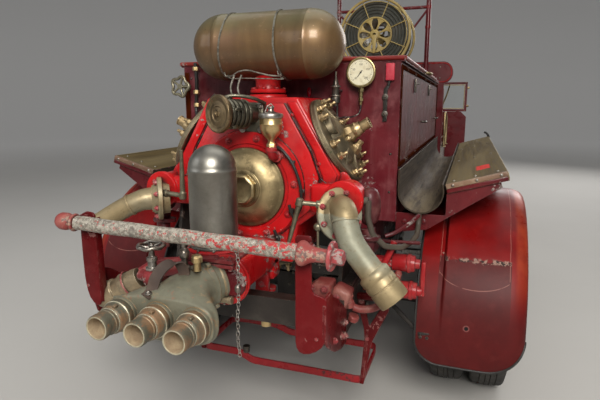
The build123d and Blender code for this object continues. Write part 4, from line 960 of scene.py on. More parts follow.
p.tube(curve_pts([P(cx, cs, 1.362), P(cx, cs, 1.338), P(cx, cs + 0.012, 1.324), P(cx, cs + 0.035, 1.320), P(cx, cs + 0.066, 1.320)], 5), 0.0175, seg=18)
p.lathe([(0, 0.0), (0, 0.0225), (0.012, 0.0225), (0.016, 0.019), (0.016, 0)], P(cx, cs, 1.344), (0, 0, 1), seg=20)
p.lathe([(0, 0), (0, 0.024), (0.010, 0.024), (0.012, 0.020), (0.012, 0.0)], P(cx, -0.448, 1.320), (0, -1, 0), seg=22)
p.done([CUP, STEEL, RED2], "chassis", "brass")

# ---- priming gear at the casing's top left: disc handwheel, grooved drum behind it, both on one skewed axle
ax0, ax1 = P(-0.046, -0.604, 1.490), P(0.028, -0.430, 1.486)
axd = (ax1 - ax0).normalized()
p = Piece("priming_gear")
p.mi = 0
disc_prof = [(0.0, 0.0), (0.0, 0.011), (0.0015, 0.013), (0.004, 0.020), (0.0045, 0.027), (0.0015, 0.030), (0.0015, 0.036), (0.0045, 0.040), (0.0050, 0.050), (0.0025, 0.0535), (0.0, 0.058),
             (-0.002, 0.0660), (0.001, 0.0715), (0.006, 0.0735), (0.014, 0.0735), (0.019, 0.0705), (0.020, 0.060), (0.018, 0.030), (0.030, 0.026), (0.034, 0.0)]
p.lathe(disc_prof, ax0, axd, seg=64)
p.hexbolt(ax0 + axd * 0.002, -axd, r=0.013, h=0.010, dome=True)
p.mi = 1
drum = [(0.030, 0.0), (0.030, 0.026)]
h = 0.034
for k in range(5):
    drum += [(h, 0.0535), (h + 0.003, 0.0585), (h + 0.012, 0.0600), (h + 0.016, 0.0570), (h + 0.0175, 0.0480), (h + 0.0205, 0.0470)]
    h += 0.0215
drum += [(h, 0.050), (h + 0.004, 0.036), (h + 0.022, 0.034), (h + 0.050, 0.034), (h + 0.050, 0.0)]
p.lathe(drum, ax0, axd, seg=52)
for k in range(5):
    a = radians(72 * k)
    side = basis(ax0, axd)
    q = side @ Vector((0.0605 * cos(a), 0.0605 * sin(a), 0.060))
    p.box(q, (0.012, 0.012, 0.030), rot=side.to_3x3(), bev=0.002)
# carrier: bracket to the casing and a lever arm over the top
p.box(P(0.020, -0.418, 1.470), (0.115, 0.040, 0.130), bev=0.012, seg=3)
p.tube(curve_pts([P(-0.090, -0.560, 1.530), P(-0.020, -0.545, 1.558), P(0.050, -0.500, 1.552), P(0.085, -0.440, 1.530)], 6), 0.007, seg=10)
p.tube([P(-0.093, -0.575, 1.518), P(-0.088, -0.562, 1.548), P(-0.074, -0.556, 1.562)], 0.0075, seg=10)
p.mi = 2
for q in (P(0.062, -0.440, 1.520), P(-0.018, -0.440, 1.425), P(0.062, -0.440, 1.425)):
    p.hexbolt(q, (0, -1, 0), r=0.010, h=0.008, washer=0.013)
p.done([metal("gear_bronze", (0.27, 0.20, 0.11), (0.12, 0.085, 0.05), (0.55, 0.40, 0.22), rough=(0.32, 0.55), scale=16, spots=(0.30, 0.13, 0.09), amount=(0.3, 0.65)),
        metal("gear_iron", (0.17, 0.16, 0.12), (0.07, 0.065, 0.05), (0.38, 0.34, 0.26), rough=(0.3, 0.5), scale=14, amount=(0.3, 0.6)), STEEL], "chassis", "bronze")

# ---- cylinder heads: ribbed dome with bosses, paired studs, radial union and spigot
HEADS = ((30.0, 0.200, 0.363), (150.0, 0.200, 0.363), (270.0, 0.185, 0.3305))
hp, sp = Piece("head_castings"), Piece("head_studs")
for hi, (ang, fr, dist) in enumerate(HEADS):
    n = Vector((cos(radians(ang)), 0, sin(radians(ang))))
    base = P(0, -0.210, PZ) + n * dist
    F = basis(base, n, (0, -1, 0))          # x of the frame points to the rear, y across

    def at(u, v, w=0.0):
        return F @ Vector((u, v, w))
    low = hi == 2
    hp.lathe([(0.0005, 0.0), (0.0005, fr - 0.006), (0.003, fr), (0.010, fr), (0.0115, fr - 0.003), (0.013, fr - 0.002), (0.024, fr - 0.003), (0.0285, fr - 0.009), (0.029, fr * 0.60),
              (0.030, 0.0)], base, n, seg=80)
    # domed middle and its valve bosses
    top = [(0.028, 0.118), (0.036, 0.112), (0.048, 0.096), (0.058, 0.080), (0.0655, 0.060), (0.069, 0.040), (0.070, 0.0)]
    hp.lathe(top, base, n, seg=56)
    for u, v, r, hgt in ((-0.075, 0.070, 0.040, 0.052), (0.080, -0.055, 0.042, 0.056), (0.060, 0.085, 0.030, 0.044), (-0.080, -0.070, 0.034, 0.046)):
        hp.lathe([(0.026, r + 0.012), (0.031, r + 0.002), (hgt - 0.006, r - 0.002), (hgt, r - 0.008), (hgt + 0.001, 0.0)], at(u, v), n, seg=30)
    # webs
    for a in range(0, 360, 45):
        d = Vector((cos(radians(a)), sin(radians(a)), 0))
        e = Vector((-d.y, d.x, 0))
        q = [F @ (d * 0.070 + e * 0.006 + Vector((0, 0, 0.028))), F @ (d * (fr - 0.030) + e * 0.006 + Vector((0, 0, 0.028))), F @ (d * 0.080 + e * 0.006 + Vector((0, 0, 0.058)))]
        hp.solid(q, (F.to_3x3() @ (e * -0.012)), bev=0.002, seg=2)
    # paired studs round the rim
    pairs = 6
    for k in range(pairs):
        for dd in (-9.5, 9.5):
            a = radians(360 / pairs * k + dd + 15)
            q = at((fr - 0.026) * cos(a), (fr - 0.026) * sin(a), 0.029)
            sp.hexbolt(q, n, r=0.0155, h=0.016, washer=0.0175, seg=6)
            sp.lathe([(0.018, 0.0), (0.018, 0.0075), (0.036, 0.0075), (0.040, 0.005), (0.040, 0)], q, n, seg=12)
    # inner studs on the bosses
    for u, v, w in ((-0.055, 0.015, 0.060), (0.045, 0.020, 0.064), (0.010, -0.058, 0.060), (-0.012, 0.058, 0.062)):
        sp.hexbolt(at(u, v, w), n, r=0.0125, h=0.013, dome=True)
    if not low:
        # radial union: hex, collar, spigot with its ringed end
        sp.lathe([(0.060, 0.0), (0.060, 0.040), (0.068, 0.0405), (0.084, 0.0385), (0.090, 0.034), (0.096, 0.0335)], base, n, seg=8)
        sp.lathe([(0.096, 0.0315), (0.104, 0.033), (0.112, 0.033), (0.118, 0.0285), (0.134, 0.0265)], base, n, seg=36)
        sp.lathe([(0.134, 0.0225), (0.168, 0.0225), (0.1695, 0.0245), (0.1735, 0.0248), (0.1745, 0.0220), (0.1745, 0.0170), (0.150, 0.0165), (0.150, 0.0)], base, n, seg=32)
        sp.lathe([(0.052, 0), (0.052, 0.027), (0.080, 0.027), (0.084, 0.022), (0.092, 0.015), (0.110, 0.015), (0.112, 0.0)], at(-0.012, 0.092), (n + Vector((0, 0, 0.6))).normalized(), seg=6)
hp.done(BRONZE, "chassis", "bronze", replaces=("pump_heads",), angle=32)
sp.done(STUD, "chassis", "bronze", angle=32)

# ---- copper air vessel: seams, wire slings and the cable draped under it
p = Piece("tank_shell")
R, xl, xr = 0.1485, -0.378, 0.340
prof = []
for k in range(15):
    a = pi / 2 * k / 14
    prof.append((xl + R - R * cos(a), R * sin(a) if k else 0.0))
prof += [(-0.232, R), (-0.230, R + 0.0012), (-0.214, R + 0.0012), (-0.212, R), (0.176, R), (0.178, R + 0.0012), (0.194, R + 0.0012), (0.196, R)]
for k in range(15):
    a = pi / 2 * (1 - k / 14)
    prof.append((xr - R + R * cos(a), R * sin(a) if k < 14 else 0.0))
prof = [prof[0]] + sorted(prof[1:-1], key=lambda q: q[0]) + [prof[-1]]
p.lathe([(h - xl, r) for h, r in prof], P(xl, -0.160, 1.785), (1, 0, 0), seg=112)
p.done(COPPER, "chassis", "copper", replaces=("air_tank",), angle=50)
p = Piece("tank_slings")
for x0, lean in ((-0.190, 0.03), (0.065, -0.02)):
    for off in (0.0, 0.0045):
        ring = []
        for k in range(60):
            a = 2 * pi * k / 60
            ring.append(P(x0 + off + lean * sin(a) * 0.5 + 0.003 * sin(3 * a), -0.160 + (R + 0.0030) * cos(a), 1.785 + (R + 0.0030) * sin(a)))
        p.tube(ring, 0.0019, seg=6, closed=True)
    p.tube(curve_pts([P(x0 + 0.003, -0.262, 1.668), P(x0 + 0.010, -0.270, 1.655), P(x0 + 0.018, -0.262, 1.648), P(x0 + 0.012, -0.250, 1.655)], 5), 0.003, seg=6)
drape = [P(-0.186, -0.235, 1.652), P(-0.150, -0.262, 1.652), P(-0.105, -0.285, 1.668), P(-0.060, -0.285, 1.672), P(-0.010, -0.278, 1.660), P(0.035, -0.262, 1.650), P(0.075, -0.245, 1.648)]
p.tube(curve_pts(drape, 6), 0.0036, seg=8)
drape2 = [P(0.070, -0.245, 1.646), P(0.090, -0.25, 1.635), P(0.040, -0.262, 1.636), P(-0.080, -0.265, 1.640), P(-0.150, -0.255, 1.640), P(-0.188, -0.236, 1.650)]
p.tube(curve_pts(drape2, 6), 0.0026, seg=8)
for x in (-0.135, -0.100):
    p.tube(curve_pts([P(x, -0.270, 1.655), P(x - 0.012, -0.285, 1.600), P(x + 0.006, -0.300, 1.555)], 6), 0.0045, seg=8)
p.done(WIRE, "chassis", "steel")

# ---- suction air vessel: drawn cylinder, soldered dome
p = Piece("vessel_shell")
prof = [(0.0, 0.0), (0.0, 0.0945), (0.006, 0.0945), (0.008, 0.0905), (0.280, 0.0905), (0.282, 0.0918), (0.2905, 0.0918), (0.2925, 0.0900)]
for k in range(1, 15):
    a = pi / 2 * k / 14
    prof.append((0.2945 + 0.0895 * sin(a), 0.0895 * cos(a) if k < 14 else 0.0))
p.lathe(prof, P(-0.030, -0.680, 0.9975), (0, 0, 1), seg=80)
p.done(NICKEL, "chassis", "nickel", replaces=("suction_vessel",), angle=40)
p = Piece("vessel_bolts")
for k in range(10):
    a = radians(36 * k + 9)
    p.hexbolt(P(-0.030 + 0.0985 * cos(a), -0.680 + 0.0985 * sin(a), 0.9965), (0, 0, 1), r=0.0055, h=0.005)
for k in range(8):
    a = radians(45 * k)
    p.hexbolt(P(0.060 + 0.0875 * cos(a), -0.7848, 0.897 + 0.0875 * sin(a)), (0, -1, 0), r=0.0045, h=0.003)
p.done(STEEL, "chassis", "steel")

# ---- suction collecting head: flattened trumpet from the round neck to the row of three inlets
def head_rows():
    """sections from neck to mouth row: centre X, station, Z, half width, half height, squareness, turn"""
    rows = ((0.020, -0.776, 0.890, 0.076, 0.078, 2.0, 30), (0.006, -0.806, 0.884, 0.077, 0.078, 2.0, 30), (-0.014, -0.846, 0.872, 0.090, 0.083, 2.15, 24), (-0.034, -0.884, 0.850, 0.126, 0.093, 2.3, 15),
            (-0.048, -0.918, 0.830, 0.162, 0.100, 2.5, 7), (-0.058, -0.948, 0.820, 0.189, 0.098, 2.8, 2), (-0.074, -0.972, 0.816, 0.201, 0.087, 3.2, 0), (-0.078, -0.986, 0.816, 0.203, 0.076, 3.6, 0), (-0.078, -0.9885, 0.816, 0.195, 0.068, 3.6, 0))
    out = []
    for x, s, z, w, h, e, rot in rows:
        r = []
        cr_, sr_ = cos(radians(rot)), sin(radians(rot))
        for k in range(64):
            a = 2 * pi * k / 64
            ca, sa = cos(a), sin(a)
            u = abs(ca) ** (2 / e) * (1 if ca > 0 else -1) * w
            v = abs(sa) ** (2 / e) * (1 if sa > 0 else -1) * h
            # the top falls towards the left end
            v -= 0.020 * max(0.0, (-u / w)) ** 2 * (1 if v > 0 else 0) * min(1.0, w / 0.15)
            r.append(P(x + u * cr_, s - u * sr_, z + v))
        out.append(r)
    return out


p = Piece("head_trumpet")
rows = head_rows()
fine = []
for j in range(len(rows) - 1):
    a = rows[max(j - 1, 0)]
    b, c_ = rows[j], rows[j + 1]
    d = rows[min(j + 2, len(rows) - 1)]
    for t in (0.0, 0.25, 0.5, 0.75):
        fine.append([0.5 * ((2 * b[k]) + (c_[k] - a[k]) * t + (2 * a[k] - 5 * b[k] + 4 * c_[k] - d[k]) * t * t + (3 * b[k] - a[k] - 3 * c_[k] + d[k]) * t ** 3) for k in range(64)])
fine.append(rows[-1])
p.sheet(fine, closed_u=True)
p.add([q for q in rows[-1]], [tuple(range(64))])
p.add([q for q in rows[0]], [tuple(range(64))])
# cast ridge along the top rear edge, and the raised swell over each inlet
ridge = [P(-0.270, -0.972, 0.862), P(-0.200, -0.979, 0.880), P(-0.078, -0.981, 0.889), P(0.040, -0.979, 0.884), P(0.108, -0.970, 0.862)]
p.tube(curve_pts(ridge, 6), 0.0060, seg=12)
for x in (-0.222, -0.078, 0.066):
    p.lathe([(0.0, 0.0), (0.0, 0.047), (0.012, 0.053), (0.030, 0.0575), (0.046, 0.0585), (0.052, 0.056), (0.052, 0.0)], P(x, -0.950, 0.820), (0, -1, 0), seg=44)
# ringed neck coupling, turned with the neck
NA = Vector((0.5, 0.866, 0.10)).normalized()
NC = P(-0.016, -0.834, 0.880)
p.lathe([(-0.020, 0.0), (-0.016, 0.078), (-0.006, 0.082), (0.006, 0.0825), (0.008, 0.0785), (0.022, 0.0785), (0.024, 0.0830), (0.044, 0.0835), (0.047, 0.080), (0.064, 0.0790), (0.068, 0.0840), (0.080, 0.0840), (0.083, 0.078), (0.083, 0.0)],
        NC, NA, seg=64)
NF = basis(NC, NA, (0, 0, 1))
for a in (20, 140, 260):
    q = NF @ Vector((0.084 * cos(radians(a)), 0.084 * sin(radians(a)), 0.034))
    p.box(q, (0.022, 0.020, 0.018), bev=0.004, rot=NF.to_3x3() @ Matrix.Rotation(radians(a), 3, "Z"))
p.done(ALLOY, "chassis", "grey_alloy", replaces=("collecting_head",), angle=42)

# bright rings on coupling and barrels are a piece of their own
p = Piece("inlet_barrels")
for x in (-0.222, -0.078, 0.066):
    o_ = P(x, -0.985, 0.820)
    p.mi = 0
    p.lathe([(0.0, 0.0), (0.0, 0.0505), (0.014, 0.0505), (0.016, 0.0545), (0.019, 0.056), (0.036, 0.056), (0.038, 0.0545)], o_, (0, -1, 0), seg=56)
    p.lathe([(0.0405, 0.0535), (0.046, 0.0505), (0.066, 0.0495), (0.071, 0.0475), (0.074, 0.0440)], o_, (0, -1, 0), seg=56)
    p.lathe([(0.0745, 0.0425), (0.082, 0.0425), (0.084, 0.0445), (0.088, 0.0445), (0.090, 0.0420), (0.110, 0.0412), (0.112, 0.0428), (0.118, 0.0428)], o_, (0, -1, 0), seg=56)
    p.mi = 1
    p.lathe([(0.038, 0.0545), (0.039, 0.0563), (0.0405, 0.0535)], o_, (0, -1, 0), seg=56)
    p.lathe([(0.074, 0.0440), (0.0742, 0.0458), (0.0765, 0.0455), (0.0768, 0.0425)], o_, (0, -1, 0), seg=56)
    p.mi = 0
    p.lathe([(0.118, 0.0428), (0.126, 0.0428), (0.131, 0.0418), (0.1345, 0.0398)], o_, (0, -1, 0), seg=56)
    p.mi = 1
    p.lathe([(0.1345, 0.0398), (0.1349, 0.0375), (0.1340, 0.0352)], o_, (0, -1, 0), seg=56)
    p.mi = 2
    p.lathe([(0.1340, 0.0352), (0.128, 0.0340), (0.060, 0.0340), (0.056, 0.0300), (0.055, 0.0)], o_, (0, -1, 0), seg=56)
    # two lugs on each barrel
    for a in (70, 250):
        q = P(x + 0.0525 * cos(radians(a)), -1.046, 0.820 + 0.0525 * sin(radians(a)))
        p.mi = 0
        p.box(q, (0.012, 0.018, 0.012), bev=0.003, rot=Matrix.Rotation(-radians(a), 3, "Y"))
p.done([metal("barrel_bronze", (0.25, 0.150, 0.080), (0.110, 0.105, 0.075), (0.34, 0.30, 0.20), rough=(0.46, 0.64), scale=13, spots=(0.30, 0.12, 0.05), amount=(0.42, 0.60), metallic=0.4),
        metal("ring_bright", (0.52, 0.48, 0.34), (0.25, 0.225, 0.155), (0.72, 0.69, 0.56), rough=(0.34, 0.5), scale=30, amount=(0.3, 0.6), metallic=0.6), MOUTH],
       "chassis", "grey_alloy", replaces=("suction_inlets",), angle=36)

# strap handle over the head: broad leather band held by a stud at each foot
p = Piece("strap_handle")
mid = [P(-0.128, -0.990, 0.893), P(-0.122, -0.976, 0.899), P(-0.118, -0.962, 0.912), P(-0.112, -0.948, 0.946), P(-0.094, -0.930, 0.978), P(-0.070, -0.910, 0.993), P(-0.050, -0.892, 0.986), P(-0.042, -0.882, 0.962),
       P(-0.040, -0.878, 0.938), P(-0.030, -0.870, 0.931), P(-0.014, -0.860, 0.934)]
line = curve_pts(mid, 6)
side = Vector((0.98, 0.14, 0.0)).normalized()
rows_ = []
for i, q in enumerate(line):
    t = (line[min(i + 1, len(line) - 1)] - line[max(i - 1, 0)]).normalized()
    w = (side - t * side.dot(t)).normalized()
    rows_.append([q + w * v for v in (-0.0205, -0.0185, -0.009, 0.0, 0.009, 0.0185, 0.0205)])
p.sheet(rows_, thick=0.0055)
p.mi = 1
for q in (mid[1] + Vector((0.002, -0.004, 0.001)), mid[-1] + Vector((-0.004, 0, 0.001))):
    p.hexbolt(q, (0, -0.25, 1), r=0.0085, h=0.006, washer=0.012, dome=True)
p.done([STRAP, STEEL], "chassis", "rubber", angle=50)

# brass plug, its gland and the small valve with a round handwheel behind the head
p = Piece("head_fittings")
p.mi = 0
p.lathe([(0, 0.0), (0, 0.014), (0.030, 0.013), (0.032, 0.019), (0.050, 0.019), (0.053, 0.015), (0.053, 0)], P(0.004, -0.868, 0.958), (0, 0, 1), seg=22)
p.lathe([(0, 0.0), (0, 0.021), (0.020, 0.021), (0.024, 0.018), (0.024, 0)], P(0.004, -0.868, 0.990), (0, 0, 1), seg=4)
p.mi = 1      # globe valve: body, neck, bonnet, gland, stem
vx, vs_ = -0.168, -0.885
p.lathe([(0.0, 0.0), (0.0, 0.022), (0.012, 0.034), (0.030, 0.038), (0.048, 0.034), (0.060, 0.022), (0.064, 0.0)], P(vx, vs_, 0.888), (0, 0, 1), seg=28)
p.tube([P(vx - 0.065, vs_ + 0.02, 0.915), P(vx + 0.065, vs_ - 0.02, 0.915)], 0.021, seg=20)
p.mi = 2
p.lathe([(0.0, 0.0), (0.0, 0.024), (0.008, 0.024), (0.010, 0.017), (0.030, 0.015), (0.032, 0.019), (0.044, 0.019), (0.048, 0.012), (0.064, 0.009), (0.082, 0.009)], P(vx, vs_, 0.950), (0, 0, 1), seg=20)
wheel = [P(vx + 0.044 * cos(a), vs_ + 0.044 * sin(a), 1.036 + 0.002 * sin(6 * a)) for a in np.linspace(0, 2 * pi, 40, endpoint=False)]
p.tube(wheel, 0.0075, seg=12, closed=True)
for k in range(5):
    a = radians(72 * k)
    p.tube([P(vx, vs_, 1.030), P(vx + 0.042 * cos(a), vs_ + 0.042 * sin(a), 1.036)], 0.0045, seg=8)
p.hexbolt(P(vx, vs_, 1.034), (0, 0, 1), r=0.009, h=0.008, dome=True)
# second stem with a grip
p.lathe([(0.0, 0.0), (0.0, 0.020), (0.020, 0.019), (0.026, 0.012), (0.050, 0.011), (0.054, 0.017), (0.072, 0.019), (0.082, 0.015), (0.088, 0.008), (0.110, 0.008), (0.112, 0.0)],
        P(-0.050, -0.862, 0.945), (0, 0, 1), seg=20)
p.done([CUP, PINKRED, STEEL], "chassis", "steel")

# flanged red base under the suction vessel, its bolts, a round boss and a pipe stub
p = Piece("vessel_base")
p.mi = 0
p.box(P(0.006, -0.727, 0.9775), (0.210, 0.166, 0.016), bev=0.004, seg=2)
p.box(P(0.006, -0.727, 0.9585), (0.204, 0.160, 0.016), bev=0.004, seg=2)
p.box(P(-0.018, -0.731, 0.9030), (0.142, 0.146, 0.094), bev=0.018, seg=3)
p.box(P(-0.083, -0.728, 0.9080), (0.012, 0.120, 0.084), bev=0.003)
p.box(P(0.050, -0.730, 0.9080), (0.012, 0.120, 0.084), bev=0.003)
p.mi = 1
for x in (-0.084, -0.036, 0.044, 0.096):
    p.hexbolt(P(x, -0.7990, 0.9855), (0, 0, 1), r=0.0085, h=0.008, washer=0.011, dome=True)
    p.hexbolt(P(x, -0.7970, 0.9505), (0, 0, -1), r=0.0085, h=0.007)
p.mi = 2
p.lathe([(0.0, 0.0), (0.0, 0.048), (0.006, 0.050), (0.022, 0.048), (0.030, 0.040), (0.033, 0.0)], P(0.098, -0.772, 0.893), (0.25, -1, 0.05), seg=40)
p.mi = 3
p.lathe([(0.0, 0.0), (0.0, 0.0115), (0.052, 0.0115), (0.053, 0.0145), (0.066, 0.0145), (0.068, 0.0)], P(0.040, -0.812, 0.836), (1, 0, 0.06), seg=20)
p.done([PINKRED, PINKRED, DEEP, ALLOY_TAN], "chassis", "red_paint", angle=40)

# short capped pipe behind the left bracket, and the pipe that joins it
p = Piece("capped_branch")
d = (P(-0.470, -0.850, 0.775) - P(-0.288, -0.802, 0.876)).normalized()
o_ = P(-0.288, -0.802, 0.876)
p.lathe([(0.0, 0.0), (0.0, 0.040), (0.020, 0.043), (0.052, 0.043), (0.056, 0.048), (0.074, 0.048), (0.078, 0.043), (0.110, 0.041), (0.114, 0.047), (0.150, 0.050), (0.172, 0.048),
         (0.186, 0.040), (0.192, 0.022), (0.193, 0.0)], o_, d, seg=44)
p.box(o_ + d * 0.165 + Vector((0, 0, 0.050)), (0.020, 0.016, 0.022), bev=0.004)
p.mi = 1
p.tube(curve_pts([o_ - d * 0.01, P(-0.240, -0.760, 0.905), P(-0.190, -0.700, 0.900), P(-0.120, -0.660, 0.900)], 6), 0.036, seg=24)
p.lathe([(0.050, 0.0485), (0.052, 0.051), (0.056, 0.051), (0.058, 0.0485)], o_, d, seg=44)
p.done([ALLOY_TAN, PINKRED], "chassis", "grey_alloy")


# ================================================================ deliveries, gauge, valves, levers and rail
def outlet_coat(name, brass_above=None):
    """tan brass under a worn grey-green coat; the crown of the bend is rubbed bright"""
    m = Mat(name)
    z = m.math("ADD", m.xyz()[2], m.mul(m.math("SUBTRACT", m.noise(14, 4, 0.7), 0.5), 0.05))
    n1 = m.noise(7, 5, 0.65, 0.4)
    tan_ = m.mix(m.step(n1, 0.3, 0.7), (0.255, 0.195, 0.105), (0.37, 0.290, 0.160))
    grey = m.mix(m.step(n1, 0.3, 0.7), (0.215, 0.215, 0.155), (0.32, 0.315, 0.24))
    grey = m.mix(m.mul(m.step(m.noise(34, 4, 0.7), 0.5, 0.7), 0.4), grey, (0.20, 0.16, 0.09))
    if brass_above:
        g = m.mul(m.step(z, 0.90, 0.985), m.step(z, brass_above - 0.004, brass_above + 0.004, 1.0, 0.0))
    else:
        g = m.mul(m.step(m.noise(5, 3), 0.46, 0.60), 0.45)
    c = m.mix(g, tan_, grey)
    c = m.mix(m.mul(m.step(m.noise(52, 3, 0.6), 0.60, 0.68), 0.4), c, (0.17, 0.12, 0.06))
    e = m.mul(m.edge(0.006, 0.02, 0.2), m.step(m.noise(20, 4), 0.3, 0.6))
    c = m.mix(m.mul(e, 0.7), c, (0.62, 0.50, 0.30))
    # painted shade: colour darkened where ambient occlusion finds corners and crevices
    cr = m.mul(m.sub(1.0, m.step(m.ao(0.04), 0.2, 0.85)), 0.8)
    c = m.mix(cr, c, (0.035, 0.028, 0.018))
    met = m.step(g, 0.0, 1.0, 0.62, 0.28)
    r = m.math("MAXIMUM", m.step(m.noise(16, 4, 0.7), 0.3, 0.7, 0.42, 0.60), m.mul(g, 0.5))
    return m.out(c, r, met, m.bump([(m.noise(60, 4, 0.7), 0.25, 0.001)], m.bevel_normal(0.003)))


OUT_R = outlet_coat("outlet_coat_right", 1.118)
OUT_L = outlet_coat("outlet_coat_left")
BOLTPINK = paint("bolt_pink", (0.34, 0.05, 0.055), (0.20, 0.03, 0.034), (0.48, 0.20, 0.18), rough=(0.35, 0.55), chips=0.7, crevice_dark=0.7, spots=0.3, bevel=0.0015)
# painted shade: a red darkened to about a third, standing in for the shade the brackets lie in
BRACKET_SHADED = paint("bracket_red_shaded", (0.1152, 0.0043, 0.0058), (0.0576, 0.0029, 0.0036), (0.1872, 0.0252, 0.0252), rough=(0.22, 0.45), chips=0.75, crevice_dark=0.5, spots=0.15, scuff=0.35,
                primer=(0.30, 0.13, 0.12), metal=(0.22, 0.10, 0.09), coat=0.15, streak=0.15, spec=0.12)
LEVER = metal("lever_khaki", (0.25, 0.23, 0.16), (0.13, 0.115, 0.075), (0.5, 0.45, 0.33), rough=(0.3, 0.5), scale=14, spots=(0.2, 0.1, 0.06), amount=(0.3, 0.6), metallic=0.8)
BOSS = paint("boss_worn", (0.30, 0.055, 0.05), (0.17, 0.035, 0.03), (0.45, 0.24, 0.19), rough=(0.35, 0.6), chips=0.6, crevice_dark=0.7, spots=0.35, scuff=0.7,
             primer=(0.34, 0.24, 0.18), bevel=0.004, coat=0.15)
SCUFFED = paint("scuffed_maroon", (0.085, 0.010, 0.013), (0.045, 0.006, 0.008), (0.19, 0.075, 0.065), rough=(0.3, 0.55), chips=0.6, crevice_dark=0.6, spots=0.3, scuff=0.7, streak=0.7, coat=0.3)

DELIV = ((1, ((0.414, -0.488, 1.128), (0.430, -0.512, 1.131), (0.446, -0.540, 1.112), (0.458, -0.558, 1.070), (0.486, -0.570, 1.012), (0.550, -0.579, 0.934), (0.626, -0.585, 0.850)), OUT_R, (0.56, -0.79, 0.26), 1.20, 1.05),
         (-1, ((-0.424, -0.472, 1.116), (-0.446, -0.490, 1.117), (-0.474, -0.512, 1.114), (-0.504, -0.531, 1.102), (-0.548, -0.550, 1.079), (-0.600, -0.572, 1.046), (-0.648, -0.594, 1.013)), OUT_L, (-0.80, -0.60, 0.0), 1.10, 1.00))
bolts = Piece("outlet_flange_bolts")
for sd, pts, mt, fn, kz, kx in DELIV:
    p = Piece("outlet_right" if sd > 0 else "outlet_left")
    q = [P(*v) for v in pts]
    line = curve_pts(q, 7)
    fn = Vector(fn).normalized()
    f0 = q[0] - fn * 0.018 - Vector((0, 0, 0.020 if sd > 0 else 0.0))
    # flange, taller than wide
    p.lathe([(-0.030, 0.0), (-0.030, 0.062), (0.0, 0.064), (0.0, 0.083), (0.003, 0.087), (0.018, 0.087), (0.022, 0.083), (0.0235, 0.066), (0.029, 0.062), (0.036, 0.059), (0.040, 0.055), (0.046, 0.0525), (0.046, 0.0)],
            f0, fn, seg=56, hint=(0, 0, 1), sx=kz, sy=kx)
    d = (q[-1] - q[-2]).normalized()
    end = q[-1] + d * 0.035
    last = -0.05 if sd > 0 else 0.030
    cut = [v for v in line if (v - end).dot(d) < last or (v - q[0]).length < 0.15]
    radii = []
    for i, v in enumerate(cut):
        t = i / (len(cut) - 1)
        radii.append(0.053 - (0.004 if sd > 0 else 0.008) * min(1, t * 2.2))
    p.tube(cut, 0.049, seg=40, radii=radii)
    # seam ring below the crown of the bend
    k = min(range(1, len(line) - 1), key=lambda j: abs(line[j].z - (1.098 if sd > 0 else 1.094)))
    t = (line[k + 1] - line[k - 1]).normalized()
    rs_ = 0.0505 if sd > 0 else 0.0462
    p.lathe([(-0.004, rs_), (-0.003, rs_ + 0.0023), (0.003, rs_ + 0.0023), (0.004, rs_)], line[k], t, seg=44)
    if sd > 0:
        # collar with its grooves and a square cut mouth
        L0 = q[-1] - d * 0.095
        p.lathe([(-0.006, 0.0480), (0.000, 0.0560), (0.006, 0.0612), (0.030, 0.0620), (0.033, 0.0600), (0.037, 0.0600), (0.040, 0.0620), (0.062, 0.0622), (0.064, 0.0595), (0.068, 0.0595),
                 (0.070, 0.0618), (0.122, 0.0605), (0.1295, 0.0590), (0.130, 0.0560), (0.128, 0.0500), (0.120, 0.0420), (0.060, 0.0405), (0.055, 0.0)], L0, d, seg=64)
        F = basis(L0, d)
        for a in (25, 205):
            w_ = F @ Vector((0.063 * cos(radians(a)), 0.063 * sin(radians(a)), 0.051))
            p.box(w_, (0.014, 0.016, 0.020), rot=F.to_3x3(), bev=0.003)
    else:
        L0 = q[-1] - d * 0.005
        p.lathe([(-0.004, 0.0448), (0.000, 0.0468), (0.030, 0.0468), (0.034, 0.0486), (0.0385, 0.0486), (0.040, 0.0465), (0.0395, 0.0400), (0.030, 0.0380), (0.0, 0.0375), (-0.004, 0.0)], L0, d, seg=56)
    p.done(mt, "chassis", "grey_alloy", replaces=("delivery_bends",) if sd > 0 else (), angle=40)
    F = basis(f0, fn, (0, 0, 1))
    for k in range(8):
        a = radians(45 * k + 22.5)
        bolts.hexbolt(F @ Vector((0.0735 * cos(a) * kz, 0.0735 * sin(a) * kx, 0.022)), fn, r=0.0105, h=0.010, washer=0.012, dome=True)
bolts.done(BOLTPINK, "chassis", "red_paint")

# levers that work the delivery valves
p = Piece("valve_levers")


def lever(a, b, c, r=0.0095, boss=0.016):
    a, b, c = Vector(a), Vector(b), Vector(c)
    ab = (b - a).normalized()
    p.tube([a, b], r, seg=16)
    p.lathe([(0, 0), (0, boss * 0.9), (0.004, boss), (0.018, boss), (0.022, boss * 0.9), (0.022, 0)], a - ab * 0.004, ab, seg=20)
    side = (c - b).normalized()
    nrm = ab.cross(side).normalized()
    p.lathe([(-0.017, 0), (-0.017, boss * 0.7), (-0.012, boss * 0.98), (0.012, boss * 0.98), (0.017, boss * 0.7), (0.017, 0)], b, side, seg=22)
    p.tube([b, b + (c - b) * 0.5, c], r, seg=16, radii=[r * 1.15, r * 0.95, r * 0.72])


lever(P(0.342, -0.512, 1.146), P(0.262, -0.530, 1.153), P(0.218, -0.545, 0.975))
lever(P(-0.372, -0.498, 1.148), P(-0.272, -0.512, 1.145), P(-0.263, -0.522, 1.340), r=0.0105)
